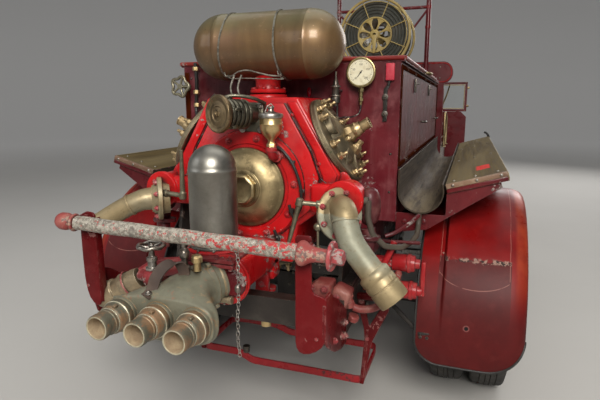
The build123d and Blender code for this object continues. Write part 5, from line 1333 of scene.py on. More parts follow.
# ball lever and a short arm on the left valve
p.tube([P(0.338, -0.530, 0.975), P(0.337, -0.530, 1.050)], 0.0055, seg=12)
p.lathe([(-0.0175 * cos(pi * k / 10), 0.0175 * sin(pi * k / 10) if 0 < k < 10 else 0.0) for k in range(11)], P(0.337, -0.530, 1.062), (0, 0, 1), seg=22)
p.lathe([(0, 0), (0, 0.013), (0.010, 0.013), (0.012, 0.008), (0.012, 0)], P(0.338, -0.530, 0.972), (0, 0, 1), seg=6)
p.done(LEVER, "chassis", "steel", angle=40)

# black cock handles beside the cover
p = Piece("cock_handles")
for (x0, z0), (x1, z1) in (((0.196, 1.128), (0.212, 1.072)), ((0.130, 1.018), (0.160, 0.948)), ((-0.205, 1.040), (-0.176, 0.986))):
    a, b = P(x0, -0.470, z0), P(x1, -0.458, z1)
    p.tube([a, (a + b) / 2 + Vector((0, -0.006, 0)), b], 0.0065, seg=12)
    p.lathe([(0, 0), (0, 0.011), (0.020, 0.011), (0.024, 0.008), (0.024, 0)], (a + b) / 2 + Vector((0, 0.016, 0)), (0, -1, 0), seg=16)
p.done(LINKBLACK, "chassis", "black_paint")

# rounded valve casting behind the right delivery and the boss of the drain hose
p = Piece("valve_casting")
for sd, cx_ in ((1, 0.500), (-1, -0.470)):
    rows_ = []
    for i in range(13):
        a = pi * i / 12
        z = 1.116 + 0.078 * cos(a)
        k = sin(a) ** 0.62 if 0 < i < 12 else 0.02
        rows_.append([P(cx_ + 0.045 * k * cos(2 * pi * j / 28), -0.338 + 0.048 * k * sin(2 * pi * j / 28), z) for j in range(28)])
    p.sheet(rows_, closed_u=True)
    p.box(P(sd * 0.450, -0.350, 1.120), (0.110, 0.075, 0.080), bev=0.020, seg=3)
    p.tube(curve_pts([P(cx_, -0.365, 1.030), P(cx_ + sd * 0.006, -0.372, 0.985), P(cx_ - sd * 0.004, -0.380, 0.930), P(sd * 0.470, -0.390, 0.870)], 5), 0.030, seg=22, radii=None)
    p.lathe([(0, 0), (0, 0.050), (0.004, 0.053), (0.014, 0.053), (0.018, 0.050), (0.018, 0)], P(cx_, -0.366, 1.002), (0, -0.1, -1), seg=30)
p.done(SCUFFED, "chassis", "maroon_paint", angle=50)

# pressure gauge: brass case, cream dial with ticks, numbers and a needle
gx, gz = 0.387, 1.669
p = Piece("gauge_case")
p.mi = 0
p.lathe([(0.0, 0.0), (0.0, 0.058), (0.004, 0.0625), (0.022, 0.0630), (0.026, 0.0665), (0.036, 0.0678), (0.042, 0.0668), (0.0435, 0.0640), (0.0430, 0.0590), (0.0395, 0.0570)], P(gx, -0.0115, gz), (0, -1, 0), seg=80)
p.mi = 1
p.lathe([(0.0385, 0.0575), (0.0385, 0.0)], P(gx, -0.0115, gz), (0, -1, 0), seg=80)
p.mi = 2
for k in range(33):
    a = radians(225 - 270 * k / 32)
    big = k % 4 == 0
    u = Vector((cos(a), 0, sin(a)))
    v = Vector((-sin(a), 0, cos(a)))
    o_ = P(gx, -0.0502, gz)
    r0, r1, wd = (0.043 if big else 0.047), 0.0515, (0.00085 if big else 0.00045)
    q = [o_ + u * r0 - v * wd, o_ + u * r0 + v * wd, o_ + u * r1 + v * wd, o_ + u * r1 - v * wd]
    p.solid(q, (0, -0.0003, 0))
a = radians(233)
u, v = Vector((cos(a), 0, sin(a))), Vector((-sin(a), 0, cos(a)))
o_ = P(gx, -0.0515, gz)
p.solid([o_ - u * 0.012 - v * 0.002, o_ - u * 0.012 + v * 0.002, o_ + u * 0.022 + v * 0.0014, o_ + u * 0.041, o_ + u * 0.022 - v * 0.0014], (0, -0.0006, 0))
p.lathe([(0, 0), (0, 0.0042), (0.002, 0.0036), (0.003, 0.0)], P(gx, -0.0510, gz), (0, -1, 0), seg=20)
p.mi = 0
p.lathe([(0, 0), (0, 0.011), (0.010, 0.011), (0.013, 0.009), (0.030, 0.0085), (0.032, 0.0)], P(gx, -0.034, 1.606), (0, 0, -1), seg=20)
p.lathe([(0, 0), (0, 0.014), (0.014, 0.014), (0.016, 0.010), (0.016, 0)], P(gx, -0.034, 1.598), (0, 0, -1), seg=6)
p.lathe([(0, 0), (0, 0.0095), (0.030, 0.0085), (0.032, 0)], P(gx, -0.034, 1.584), (0, 0, -1), seg=16)
p.lathe([(0, 0), (0, 0.0125), (0.014, 0.0125), (0.016, 0.009), (0.016, 0)], P(gx, -0.034, 1.556), (0, 0, -1), seg=6)
p.lathe([(0, 0), (0, 0.0075), (0.016, 0.0065), (0.018, 0)], P(gx, -0.034, 1.541), (0, 0, -1), seg=14)
GAUGEBRASS = metal("gauge_brass", (0.36, 0.29, 0.14), (0.16, 0.13, 0.07), (0.62, 0.52, 0.30), rough=(0.28, 0.48), scale=18, amount=(0.25, 0.6))
p.done([GAUGEBRASS, DIAL, INK], "chassis", "brass", replaces=("pressure_gauge",), angle=40)
for k, txt in enumerate(("0", "50", "100", "150", "200")):
    a = radians(225 - 270 * k / 4)
    tc = bpy.data.curves.new("dial_number", "FONT")
    tc.body, tc.size, tc.align_x, tc.align_y, tc.extrude = txt, 0.0125, "CENTER", "CENTER", 0.00015
    to = bpy.data.objects.new("dial_number_%d" % k, tc)
    bpy.context.scene.collection.objects.link(to)
    bpy.context.view_layer.update()
    me_ = bpy.data.meshes.new_from_object(to)
    bpy.data.objects.remove(to)
    M_ = Matrix.Translation(P(gx + 0.0345 * cos(a), -0.0504, gz + 0.0345 * sin(a))) @ Matrix.Rotation(radians(90), 4, "X")
    me_.transform(M_)
    me_.materials.clear()
    me_.materials.append(INK)
    no = bpy.data.objects.new("dial_number_%d" % k, me_)
    bpy.context.scene.collection.objects.link(no)
    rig.ride(no, "chassis")
    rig.slot(no, "black_plastic")

# thin pipes of the gauge and of the head, and the relief valve standing beside the gauge
p = Piece("small_pipes")
p.mi = 0
p.tube(curve_pts([P(gx, -0.034, 1.528), P(gx - 0.001, -0.036, 1.505), P(gx - 0.010, -0.045, 1.483), P(gx - 0.034, -0.070, 1.471), P(0.325, -0.110, 1.470), P(0.300, -0.150, 1.462)], 6), 0.0032, seg=10)
p.tube(curve_pts([P(0.293, -0.100, 1.520), P(0.293, -0.100, 1.490), P(0.297, -0.105, 1.455)], 5), 0.0050, seg=12)
p.tube(curve_pts([P(-0.476, -0.030, 1.735), P(-0.472, -0.030, 1.690), P(-0.473, -0.030, 1.600), P(-0.480, -0.030, 1.515), P(-0.466, -0.045, 1.470), P(-0.430, -0.090, 1.440)], 6), 0.0085, seg=14)
p.mi = 1
for z in (1.715, 1.600, 1.535):
    p.lathe([(0, 0), (0, 0.016), (0.018, 0.016), (0.021, 0.012), (0.021, 0)], P(-0.474, -0.030, z), (0, 0, -1), seg=6)
p.mi = 2
x0, s0 = 0.284, -0.098
p.lathe([(0.0, 0.0), (0.0, 0.012), (0.010, 0.013), (0.014, 0.020), (0.030, 0.0215), (0.040, 0.0210), (0.044, 0.0175), (0.078, 0.0170), (0.082, 0.0195), (0.090, 0.0195),
         (0.094, 0.014), (0.112, 0.011), (0.118, 0.007), (0.130, 0.006), (0.130, 0.0)], P(x0, s0, 1.520), (0, 0, 1), seg=30)
p.mi = 3
p.tube([P(x0, s0, 1.650), P(x0, s0, 1.672)], 0.0045, seg=10)
for z in (1.563, 1.603):
    p.lathe([(0, 0.0215), (0.003, 0.0228), (0.006, 0.0215)], P(x0, s0, z), (0, 0, 1), seg=30)
p.mi = 0
p.tube([P(x0, s0 + 0.02, 1.59), P(x0 + 0.002, -0.002, 1.59)], 0.006, seg=10)
p.done([LINKBLACK, CUP, DARKSTEEL, STEEL], "chassis", "black_paint", angle=40)

# lobed valve wheel on the body's left corner
p = Piece("lobed_wheel")
wx, ws, wz = -0.541, -0.075, 1.617
rim = [P(wx + (0.046 + 0.006 * cos(5 * a)) * cos(a), ws, wz + (0.046 + 0.006 * cos(5 * a)) * sin(a)) for a in np.linspace(0, 2 * pi, 50, endpoint=False)]
p.tube(rim, 0.0075, seg=12, closed=True)
for k in range(5):
    a = 2 * pi * k / 5
    p.tube([P(wx, ws, wz), P(wx + 0.050 * cos(a), ws, wz + 0.050 * sin(a))], 0.0055, seg=10)
p.lathe([(0, 0), (0, 0.014), (0.012, 0.014), (0.016, 0.008), (0.070, 0.008), (0.072, 0.020), (0.078, 0.020), (0.078, 0)], P(wx, ws - 0.006, wz), (0, 1, 0), seg=20)
p.done(LEVER, "chassis", "steel", angle=40)

# lamp, strip, reflector and bolts on the body's rear face
p = Piece("rear_face_fittings")
p.mi = 0
p.box(P(0.5135, -0.010, 1.671), (0.040, 0.022, 0.076), bev=0.005, seg=3)
p.mi = 1
p.solid([P(0.516, 0.0, 1.618), P(0.504, 0.0, 1.618), P(0.486, 0.0, 1.597), P(0.484, 0.0, 1.450), P(0.503, 0.0, 1.450), P(0.503, 0.0, 1.590)], (0, -0.009, 0), bev=0.002)
p.tube([P(0.511, -0.006, 1.636), P(0.506, -0.008, 1.612)], 0.006, seg=10)
p.mi = 2
for z in (1.560, 1.484):
    p.hexbolt(P(0.4935, -0.009, z), (0, -1, 0), r=0.0105, h=0.008, washer=0.014, dome=True)
for x, z in ((-0.52, 1.66), (-0.52, 1.30), (0.525, 1.12), (0.525, 1.30)):
    p.rivet(P(x, 0.0, z), (0, -1, 0), 0.006)
p.mi = 3
p.lathe([(0, 0), (0, 0.011), (0.004, 0.0115), (0.009, 0.009), (0.012, 0.0)], P(0.127, -0.0005, 1.586), (0, -1, 0), seg=24, sx=1.0, sy=2.0, hint=(1, 0, 0))
p.done([paint("lamp_faded_red", (0.40, 0.030, 0.050), (0.30, 0.022, 0.035), (0.50, 0.11, 0.12), rough=(0.4, 0.6), chips=0.3, coat=0.1, vary=9), LINKBLACK, DARKSTEEL, paint("reflector_red", (0.52, 0.008, 0.03), (0.4, 0.005, 0.02), (0.6, 0.05, 0.06), rough=(0.08, 0.2), chips=0.05, spots=0.0, coat=1.0)],
       "chassis", "red_paint", angle=40)

# ---- rail: chipped tube, bosses, end discs, left knob; brackets with their pressed shape
def rail_z(x):
    return 1.094 - 0.0302 * x


p = Piece("rail_tube")
p.mi = 0
p.tube([P(-0.445 + 0.87 * k / 40, -0.930, rail_z(-0.445 + 0.87 * k / 40) + 0.0009 * sin(k * 0.7)) for k in range(41)], 0.0258, seg=32)
p.mi = 1
zr_ = rail_z(0.42)
p.lathe([(0.0, 0.0), (0.0, 0.0330), (0.006, 0.0385), (0.014, 0.0400), (0.022, 0.0380), (0.036, 0.0285), (0.056, 0.0225), (0.086, 0.0215), (0.096, 0.0240), (0.100, 0.0300), (0.102, 0.0)],
        P(0.398, -0.930, zr_), (1, 0, -0.03), seg=40)
p.mi = 2
p.lathe([(0.0, 0.0), (0.0, 0.0385), (0.003, 0.0415), (0.009, 0.0415), (0.013, 0.038), (0.013, 0.0)], P(0.498, -0.930, zr_), (1, -0.10, -0.03), seg=36, sx=1.12, sy=0.95, hint=(0, 0.25, 1))
p.lathe([(0.0, 0.0), (0.0, 0.026), (0.026, 0.0255), (0.031, 0.022), (0.033, 0.0)], P(0.511, -0.930, zr_ - 0.001), (1, -0.10, -0.03), seg=6)
p.mi = 1
zl_ = rail_z(-0.45)
p.lathe([(0.0, 0.0), (0.0, 0.030), (0.006, 0.033), (0.012, 0.030), (0.014, 0.017), (0.024, 0.017)], P(-0.450, -0.930, zl_), (-1, 0, 0.03), seg=30)
p.lathe([(0.022, 0.0), (0.022, 0.0200), (0.030, 0.0290), (0.042, 0.0320), (0.062, 0.0315), (0.074, 0.0260), (0.080, 0.0160), (0.082, 0.0)], P(-0.450, -0.930, zl_), (-1, 0, 0.03), seg=36)
p.done([RAILPAINT, BOSS, BOLTPINK], "chassis", "steel", angle=40)

p = Piece("rail_brackets")
# right: narrow above, twice as wide below, rounded foot; left: plain with a round outer foot
R_OUT = [(0.376, 1.118), (0.376, 0.770), (0.380, 0.748), (0.390, 0.734), (0.404, 0.729), (0.424, 0.733), (0.446, 0.744), (0.464, 0.760), (0.476, 0.782), (0.480, 0.810), (0.480, 0.916), (0.472, 0.932), (0.440, 0.940),
         (0.430, 0.952), (0.430, 1.118), (0.424, 1.127), (0.384, 1.127)]
L_OUT = [(-0.395, 1.130), (-0.397, 0.800), (-0.402, 0.786), (-0.414, 0.784), (-0.430, 0.792), (-0.446, 0.812), (-0.456, 0.842), (-0.462, 0.885), (-0.464, 0.960), (-0.464, 1.112), (-0.452, 1.134), (-0.430, 1.144), (-0.404, 1.141)]
for sd, out, wx, wi in ((1, R_OUT, 0.480, 0.376), (-1, L_OUT, -0.464, -0.396)):
    p.mi = 0
    p.solid([P(x, -0.890, z) for x, z in out], (0, -0.010, 0), bev=0.0035, seg=3)
    top, low = (0.930, 0.790) if sd > 0 else (1.130, 0.870)
    web = [(-0.896, low), (-0.896, top), (-0.852, top), (-0.842, min(top, 1.020)), (-0.838, 0.930), (-0.812, 0.905), (-0.760, 0.880), (-0.690, 0.830), (-0.622, 0.782), (-0.620, 0.648), (-0.700, 0.660), (-0.780, 0.690),
           (-0.850, 0.735), (-0.880, low - 0.03)]
    p.solid([P(wx - sd * 0.010, s, z) for s, z in web], (sd * 0.010, 0, 0), bev=0.003, seg=2)
    # inner flange that makes the channel
    p.solid([P(wi, s, z) for s, z in ((-0.896, 0.800), (-0.896, 1.120), (-0.868, 1.120), (-0.864, 0.930), (-0.862, 0.830), (-0.874, 0.790))], (sd * 0.006, 0, 0), bev=0.002)
    p.box(P(sd * 0.420, -0.912, rail_z(sd * 0.42)), (0.050, 0.040, 0.050), bev=0.012, seg=3)
    # raised rib down the plate and bolt heads
    if sd > 0:
        p.tube([P(0.4735, -0.9005, 0.905), P(0.4735, -0.9005, 0.850), P(0.4735, -0.9005, 0.795)], 0.0035, seg=8)
    p.mi = 1
    for s, z in ((-0.800, 0.742), (-0.700, 0.712), (-0.650, 0.690), (-0.655, 0.745)):
        p.hexbolt(P(wx, s, z), (sd, 0, 0), r=0.011, h=0.008, washer=0.014, dome=True)
    p.hexbolt(P(sd * 0.448, -0.900, 0.790 if sd > 0 else 0.860), (0, -1, 0), r=0.006, h=0.004)
p.done([BRACKET_SHADED, PINKRED], "chassis", "red_paint", replaces=("rear_rail",), angle=40)

# ---- guard loop: rounded flat bar, bent, on its forked hanger
p = Piece("guard_bars")


def flat_bar(pts, w=0.036, t=0.010, closed=False):
    line = curve_pts(pts, 5, closed=closed)
    rows_ = []
    n = len(line)
    for i, q in enumerate(line):
        a = line[(i - 1) % n] if closed else line[max(i - 1, 0)]
        b = line[(i + 1) % n] if closed else line[min(i + 1, n - 1)]
        tg = (b - a).normalized()
        up = Vector((0, 0, 1))
        up = (up - tg * up.dot(tg)).normalized()
        sd_ = tg.cross(up)
        r = 0.0035
        prof = []
        for cx_, cz_, a0 in ((1, 1, 0), (-1, 1, 90), (-1, -1, 180), (1, -1, 270)):
            for k in range(3):
                an = radians(a0 + 45 * k)
                prof.append((cx_ * (t / 2 - r) + r * cos(an), cz_ * (w / 2 - r) + r * sin(an)))
        rows_.append([q + sd_ * u_ + up * v_ for u_, v_ in prof])
    if closed:
        rows_.append(rows_[0])
    p.sheet(rows_, closed_u=True)
    if not closed:
        p.add(rows_[0], [tuple(range(12))])
        p.add(rows_[-1], [tuple(range(12))])


p.mi = 0
flat_bar([P(-0.325, -0.240, 0.345), P(-0.318, -0.290, 0.345), P(-0.285, -0.3045, 0.345), P(-0.200, -0.305, 0.345), P(-0.135, -0.305, 0.343), P(-0.095, -0.305, 0.330), P(-0.055, -0.305, 0.314), P(0.0, -0.305, 0.312),
          P(0.200, -0.305, 0.313), P(0.400, -0.305, 0.312), P(0.455, -0.3045, 0.312), P(0.480, -0.292, 0.312), P(0.4835, -0.250, 0.312)])
flat_bar([P(0.4835, -0.254, 0.312), P(0.4835, -0.120, 0.312), P(0.4835, -0.020, 0.312), P(0.474, 0.018, 0.312), P(0.450, 0.0295, 0.312), P(0.380, 0.030, 0.312), P(0.150, 0.030, 0.313), P(0.020, 0.030, 0.314),
          P(-0.030, 0.030, 0.330), P(-0.090, 0.030, 0.345), P(-0.200, 0.030, 0.346), P(-0.285, 0.030, 0.345), P(-0.315, 0.018, 0.345), P(-0.325, -0.020, 0.345), P(-0.325, -0.244, 0.345)])
# forked hanger on the right: two strips leaving an opening, joined below
hang = [(0.470, 0.296), (0.489, 0.296), (0.497, 0.360), (0.519, 0.500), (0.545, 0.560), (0.588, 0.655), (0.592, 0.704), (0.558, 0.704), (0.553, 0.664), (0.507, 0.580), (0.485, 0.664), (0.482, 0.704), (0.454, 0.704),
        (0.455, 0.660), (0.482, 0.570), (0.487, 0.520), (0.478, 0.400)]
p.mi = 1
p.solid([P(x, -0.300, z) for x, z in hang], (0, -0.012, 0), bev=0.003, seg=2)
p.tube([P(0.500, -0.3125, 0.560), P(0.494, -0.3135, 0.470), P(0.483, -0.3125, 0.330)], 0.0045, seg=8)
hangl = [(-0.334, 0.330), (-0.312, 0.330), (-0.350, 0.458), (-0.418, 0.532), (-0.468, 0.610), (-0.472, 0.704), (-0.502, 0.704), (-0.500, 0.620), (-0.432, 0.520), (-0.366, 0.450)]
p.solid([P(x, -0.300, z) for x, z in hangl], (0, -0.012, 0), bev=0.003, seg=2)
for sd in (-1, 1):
    p.box(P(sd * 0.521, -0.310, 0.713), (0.140, 0.026, 0.026), bev=0.004)
    p.mi = 2
    for x in (0.470, 0.575):
        p.hexbolt(P(sd * x, -0.3125, 0.690), (0, -1, 0), r=0.009, h=0.007, washer=0.012)
    p.mi = 1
p.mi = 2
p.hexbolt(P(0.500, -0.3125, 0.520), (0, -1, 0), r=0.010, h=0.006, dome=True)
# stubs on the bars
for x, s in ((-0.089, -0.305), (0.085, 0.030), (0.300, 0.030)):
    p.mi = 3
    zb = 0.330 if x > -0.05 else 0.350
    p.lathe([(0, 0), (0, 0.015), (0.018, 0.015), (0.020, 0.018), (0.030, 0.018), (0.033, 0.014), (0.034, 0)], P(x, s, zb), (0, 0, 1), seg=18)
p.done([paint("loop_red", (0.27, 0.008, 0.012), (0.16, 0.006, 0.009), (0.36, 0.03, 0.03), rough=(0.22, 0.45), chips=0.95, crevice_dark=0.4, spots=0.15, scuff=0.3,
              primer=(0.02, 0.016, 0.015), metal=(0.03, 0.025, 0.022), bevel=0.0045, coat=0.4), BRACKET_SHADED, PINKRED, DARKSTEEL], "chassis", "red_paint", replaces=("guard_loop",), angle=40)

# ---- chain hanging from the rail
p = Piece("rail_chain")
z = 1.062
k = 0
while z > 0.700:
    h = 0.0125
    a0 = 0 if k % 2 == 0 else 90
    ring = []
    for j in range(14):
        a = 2 * pi * j / 14
        u, v = 0.0058 * cos(a), (h * 0.66) * sin(a)
        off = Vector((u, 0, v)) if a0 == 0 else Vector((0, u, v))
        ring.append(P(0.190 + 0.004 * sin(k * 0.23), -0.930 + 0.002 * sin(k), z) + off)
    p.tube(ring, 0.0016, seg=6, closed=True)
    z -= h * 1.02
    k += 1
p.lathe([(0, 0), (0, 0.005), (0.004, 0.0095), (0.018, 0.0105), (0.026, 0.006), (0.030, 0.0)], P(0.190, -0.930, 0.925), (0, 0, 1), seg=16)
p.tube([P(0.190, -0.930 + 0.0245 * cos(a), 1.0883 + 0.0245 * sin(a)) for a in np.linspace(0, 2 * pi, 24, endpoint=False)], 0.0018, seg=6, closed=True)
p.done(STEEL, "chassis", "steel", angle=50)

# ---- below the pump: drain pipe on its red flange, clamp castings, curved pipe, and two spring-end cylinders
p = Piece("under_pump_fittings")
p.mi = 0
p.lathe([(0.0, 0.0), (0.0, 0.022), (0.150, 0.022), (0.152, 0.0245), (0.164, 0.0245), (0.166, 0.0)], P(0.080, -0.450, 0.580), (0, 0, 1), seg=30)
p.mi = 1
p.box(P(0.082, -0.486, 0.830), (0.060, 0.022, 0.150), bev=0.006, seg=2)
p.lathe([(0, 0), (0, 0.045), (0.012, 0.045), (0.014, 0.040), (0.014, 0)], P(0.080, -0.450, 0.744), (0, 0, 1), seg=30)
p.mi = 2
for z in (0.875, 0.830, 0.785):
    p.hexbolt(P(0.082, -0.497, z), (0, -1, 0), r=0.010, h=0.008, washer=0.013, dome=True)
# clamp castings by the right bracket
p.mi = 3
blk = [(0.285, 0.800), (0.330, 0.838), (0.395, 0.838), (0.400, 0.770), (0.350, 0.760), (0.340, 0.728), (0.285, 0.722)]
p.solid([P(x, -0.455, z) for x, z in blk], (0, -0.095, 0), bev=0.010, seg=3)
p.solid([P(x, -0.455, z) for x, z in ((0.285, 0.742), (0.345, 0.742), (0.385, 0.700), (0.385, 0.670), (0.285, 0.700))], (0, -0.110, 0), bev=0.006, seg=2)
p.box(P(0.420, -0.500, 0.760), (0.075, 0.085, 0.130), bev=0.016, seg=3, rot=Matrix.Rotation(0.35, 3, "Y"))
p.mi = 2
for x, z in ((0.318, 0.818), (0.372, 0.818), (0.312, 0.718), (0.420, 0.790), (0.440, 0.735)):
    p.hexbolt(P(x, -0.551, z), (0, -1, 0), r=0.012, h=0.010, washer=0.015, dome=True)
p.mi = 3
p.lathe([(0, 0), (0, 0.021), (0.022, 0.021), (0.025, 0.017), (0.040, 0.017), (0.042, 0.022), (0.052, 0.022), (0.052, 0)], P(0.466, -0.505, 0.742), (-0.2, -0.1, 1), seg=8)
p.lathe([(0, 0), (0, 0.023), (0.020, 0.023), (0.024, 0.018), (0.024, 0)], P(0.475, -0.505, 0.690), (0.4, -0.2, 1), seg=8)
p.tube(curve_pts([P(0.478, -0.505, 0.742), P(0.510, -0.500, 0.735), P(0.560, -0.480, 0.742), P(0.600, -0.440, 0.770), P(0.618, -0.380, 0.805), P(0.622, -0.300, 0.830)], 6), 0.0155, seg=18)
# cylinders on the frame's right end
p.mi = 1
for z, x0 in ((0.862, 0.590), (0.742, 0.602)):
    p.lathe([(0.0, 0.0), (0.0, 0.034), (0.004, 0.037), (0.060, 0.037), (0.063, 0.041), (0.075, 0.041), (0.078, 0.036), (0.094, 0.034), (0.096, 0.022), (0.115, 0.020), (0.118, 0.0)],
            P(x0, -0.250, z), (1, 0, 0), seg=32)
    p.box(P(0.530, -0.250, z), (0.130, 0.060, 0.034), bev=0.008)
p.tube([P(0.560, -0.300, 0.860), P(0.592, -0.300, 0.940), P(0.600, -0.295, 0.965)], 0.014, seg=14)
p.box(P(0.720, -0.250, 0.800), (0.018, 0.030, 0.150), bev=0.004)
p.done([CUP, RED2, BOLTPINK, BOSS], "chassis", "red_paint", angle=40)
p = Piece("frame_end_bar")
p.tube([P(0.700, -0.250, 0.955), P(0.500, -0.250, 0.948)], 0.008, seg=12)
p.tube(curve_pts([P(0.560, -0.300, 0.985), P(0.600, -0.280, 1.000), P(0.650, -0.230, 1.030), P(0.680, -0.150, 1.050)], 5), 0.009, seg=12)
p.done(DEEP, "chassis", "red_paint")


# ================================================================ mudguards
def guard_paint():
    """rear mudguard: bright red above a chipped line, dull purplish red below, a scribed outline, wear on the shoulder"""
    m = Mat("mudguard_paint")
    xs = m.xyz()
    X, Z = m.math("ABSOLUTE", xs[0]), xs[2]
    Y = xs[1]
    n1 = m.noise(2.6, 4, 0.6)
    red = m.mix(m.step(n1, 0.3, 0.7), (0.195, 0.004, 0.004), (0.110, 0.003, 0.003))
    st = m.noise(1.0, 4, 0.6, co=m.map((20, 20, 1.8)))
    red = m.mix(m.mul(m.step(st, 0.5, 0.8), 0.3), red, (0.29, 0.016, 0.014))
    dull = m.mix(m.step(m.noise(5.5, 5, 0.65), 0.3, 0.7), (0.088, 0.0065, 0.0065), (0.058, 0.005, 0.005))
    dull = m.mix(m.mul(m.step(m.noise(17, 5, 0.7), 0.5, 0.75), 0.35), dull, (0.120, 0.018, 0.016))
    side = m.step(Z, 0.33, 0.60, 0.0, 1.0)
    wavy = m.math("ADD", Z, m.mul(m.math("SUBTRACT", m.noise(16, 4, 0.7), 0.5), 0.035))
    split = m.step(wavy, 0.826, 0.832)
    rearside = m.step(Y, Y0 + 0.50, Y0 + 0.56, 1.0, 0.0)
    inpanel = m.mul(m.step(X, 0.771, 0.774), m.step(X, 1.080, 1.084, 1.0, 0.0))
    upper = m.mul(split, inpanel)
    sidepart = m.mul(m.sub(1.0, inpanel), m.step(Z, 0.52, 0.80))
    c = m.mix(m.mul(m.math("MAXIMUM", upper, sidepart), 1.0), dull, red)
    c = m.mix(m.sub(1.0, rearside), c, m.mix(m.step(n1, 0.3, 0.7), (0.15, 0.012, 0.013), (0.07, 0.008, 0.009)))
    # scribed outline: two uprights and a shallow arc
    wob = m.mul(m.math("SUBTRACT", m.noise(7, 2), 0.5), 0.010)
    Xw = m.math("ADD", X, wob)

    def line(v, at, w):
        d = m.math("ABSOLUTE", m.math("SUBTRACT", v, at))
        return m.step(d, w * 0.5, w, 1.0, 0.0)
    xc = m.math("SUBTRACT", X, 0.935)
    arcz = m.math("ADD", 0.7135, m.mul(m.mul(xc, xc), 1.45))
    arcz = m.math("ADD", arcz, m.mul(m.mul(m.mul(xc, xc), m.mul(xc, xc)), 26.0))
    a_ = line(m.math("SUBTRACT", Z, arcz), 0.0, 0.0022)
    a_ = m.mul(a_, m.mul(m.step(X, 0.774, 0.779), m.step(X, 1.072, 1.077, 1.0, 0.0)))
    v1 = m.mul(line(Xw, 0.776, 0.0016), m.step(Z, 0.757, 0.765))
    v2 = m.mul(line(Xw, 1.077, 0.0016), m.step(Z, 0.757, 0.765))
    ln = m.math("MAXIMUM", a_, m.math("MAXIMUM", v1, v2))
    ln = m.mul(m.mul(ln, rearside), m.step(m.noise(9, 4, 0.7), 0.36, 0.50))
    c = m.mix(m.mul(ln, 0.55), c, (0.36, 0.15, 0.12))
    # chips along the split line, in dark and tan
    band = m.math("ABSOLUTE", m.math("SUBTRACT", wavy, 0.829))
    chipb = m.mul(m.step(band, 0.004, 0.012, 1.0, 0.0), m.mul(inpanel, m.step(m.noise(24, 5, 0.75), 0.47, 0.53)))
    chipb = m.mul(chipb, rearside)
    c = m.mix(chipb, c, m.mix(m.step(m.noise(60, 3), 0.45, 0.55), (0.03, 0.018, 0.016), (0.30, 0.19, 0.15)))
    loose = m.mul(m.step(m.noise(30, 5, 0.75), 0.655, 0.675), m.step(m.noise(4, 2), 0.45, 0.6))
    loose = m.mul(loose, m.step(m.math("ABSOLUTE", m.math("SUBTRACT", Z, 0.80)), 0.10, 0.22, 1.0, 0.10))
    c = m.mix(m.mul(loose, 0.8), c, (0.07, 0.03, 0.028))
    # orange rub on the outer shoulder
    sh = m.mul(m.step(X, 1.092, 1.112), m.step(Z, 0.62, 0.84))
    sh = m.mul(sh, m.step(m.noise(6, 4, 0.65), 0.32, 0.6, 0.25, 0.9))
    c = m.mix(m.mul(sh, rearside), c, (0.27, 0.034, 0.012))
    # hole
    hx = m.math("SUBTRACT", X, 0.907)
    hz = m.math("SUBTRACT", Z, 0.551)
    hd = m.math("SQRT", m.math("ADD", m.mul(hx, hx), m.mul(hz, hz)))
    hole = m.mul(m.step(hd, 0.0075, 0.0095, 1.0, 0.0), rearside)
    c = m.mix(hole, c, (0.008, 0.006, 0.006))
    ring = m.mul(m.step(m.math("ABSOLUTE", m.math("SUBTRACT", hd, 0.0115)), 0.001, 0.004, 1.0, 0.0), rearside)
    c = m.mix(m.mul(ring, 0.4), c, (0.30, 0.12, 0.11))
    dark = m.mul(m.step(m.noise(3.3, 4, 0.6), 0.45, 0.72), 0.4)
    c = m.mix(dark, c, (0.055, 0.010, 0.012))
    e = m.mul(m.edge(0.004, 0.02, 0.2), m.step(m.noise(40, 4, 0.7), 0.5, 0.6))
    c = m.mix(m.mul(e, 0.6), c, (0.05, 0.03, 0.03))
    r = m.step(m.noise(9, 5, 0.6), 0.3, 0.7, 0.26, 0.46)
    r = m.math("MAXIMUM", r, m.mul(m.math("MAXIMUM", chipb, m.mul(m.sub(1.0, split), 0.72)), 0.75))
    n = m.bump([(m.noise(60, 3), 0.10, 0.001), (m.sub(1.0, m.math("MAXIMUM", chipb, hole)), 0.5, 0.0008), (m.noise(3.0, 2), 0.25, 0.006)], m.bevel_normal(0.003))
    return m.out(c, r, 0.0, n, Coat_Weight=0.05, Coat_Roughness=0.3, Specular_IOR_Level=0.16)


GUARDPAINT = guard_paint()


def guard_sheet(name, R, prof, x_sign, t0, tend, pos, n_t=60):
    """crowned sheet over a wheel. prof: rows (x, inset); pos(t, r) gives (s, z); t0(x) start of each column"""
    p = Piece(name)
    xs_, ins = [q[0] for q in prof], [q[1] for q in prof]
    rows_ = []
    for i in range(n_t + 1):
        u = i / n_t
        row = []
        for x, k in zip(xs_, ins):
            a = t0(x)
            t = a + (tend - a) * u
            s, z = pos(t, R - k)
            row.append(P(x_sign * x, s, z))
        rows_.append(row)
    return p, rows_


RA, RF, RZ, RS = 0.650, 0.560, 0.440, 0.500      # reach behind and ahead of the axle


def low_z(x):
    if x < 0.796:
        return 0.472 - sqrt(max(0.0, 0.112 ** 2 - (0.796 - x) ** 2))
    if x > 0.990:
        return 0.525 - sqrt(max(0.0, 0.165 ** 2 - (x - 0.990) ** 2))
    return 0.360


def crown_h(x):
    u = min(1.0, max(0.0, (x - 0.7915) / 0.0115))
    return 0.583 + 0.067 * u * u * (3 - 2 * u)


def inset(x, top=1.066, end=1.1538, drop=0.050):
    if x < top:
        return 0.0004 + 0.0035 * ((0.92 - x) / 0.235) ** 2 if x < 0.92 else 0.0004 + 0.004 * ((x - 0.92) / 0.146) ** 2
    u = (x - top) / (end - top)
    return 0.0044 + (drop - 0.0044) * (1 - sqrt(max(0.0, 1 - u ** 2.3)))


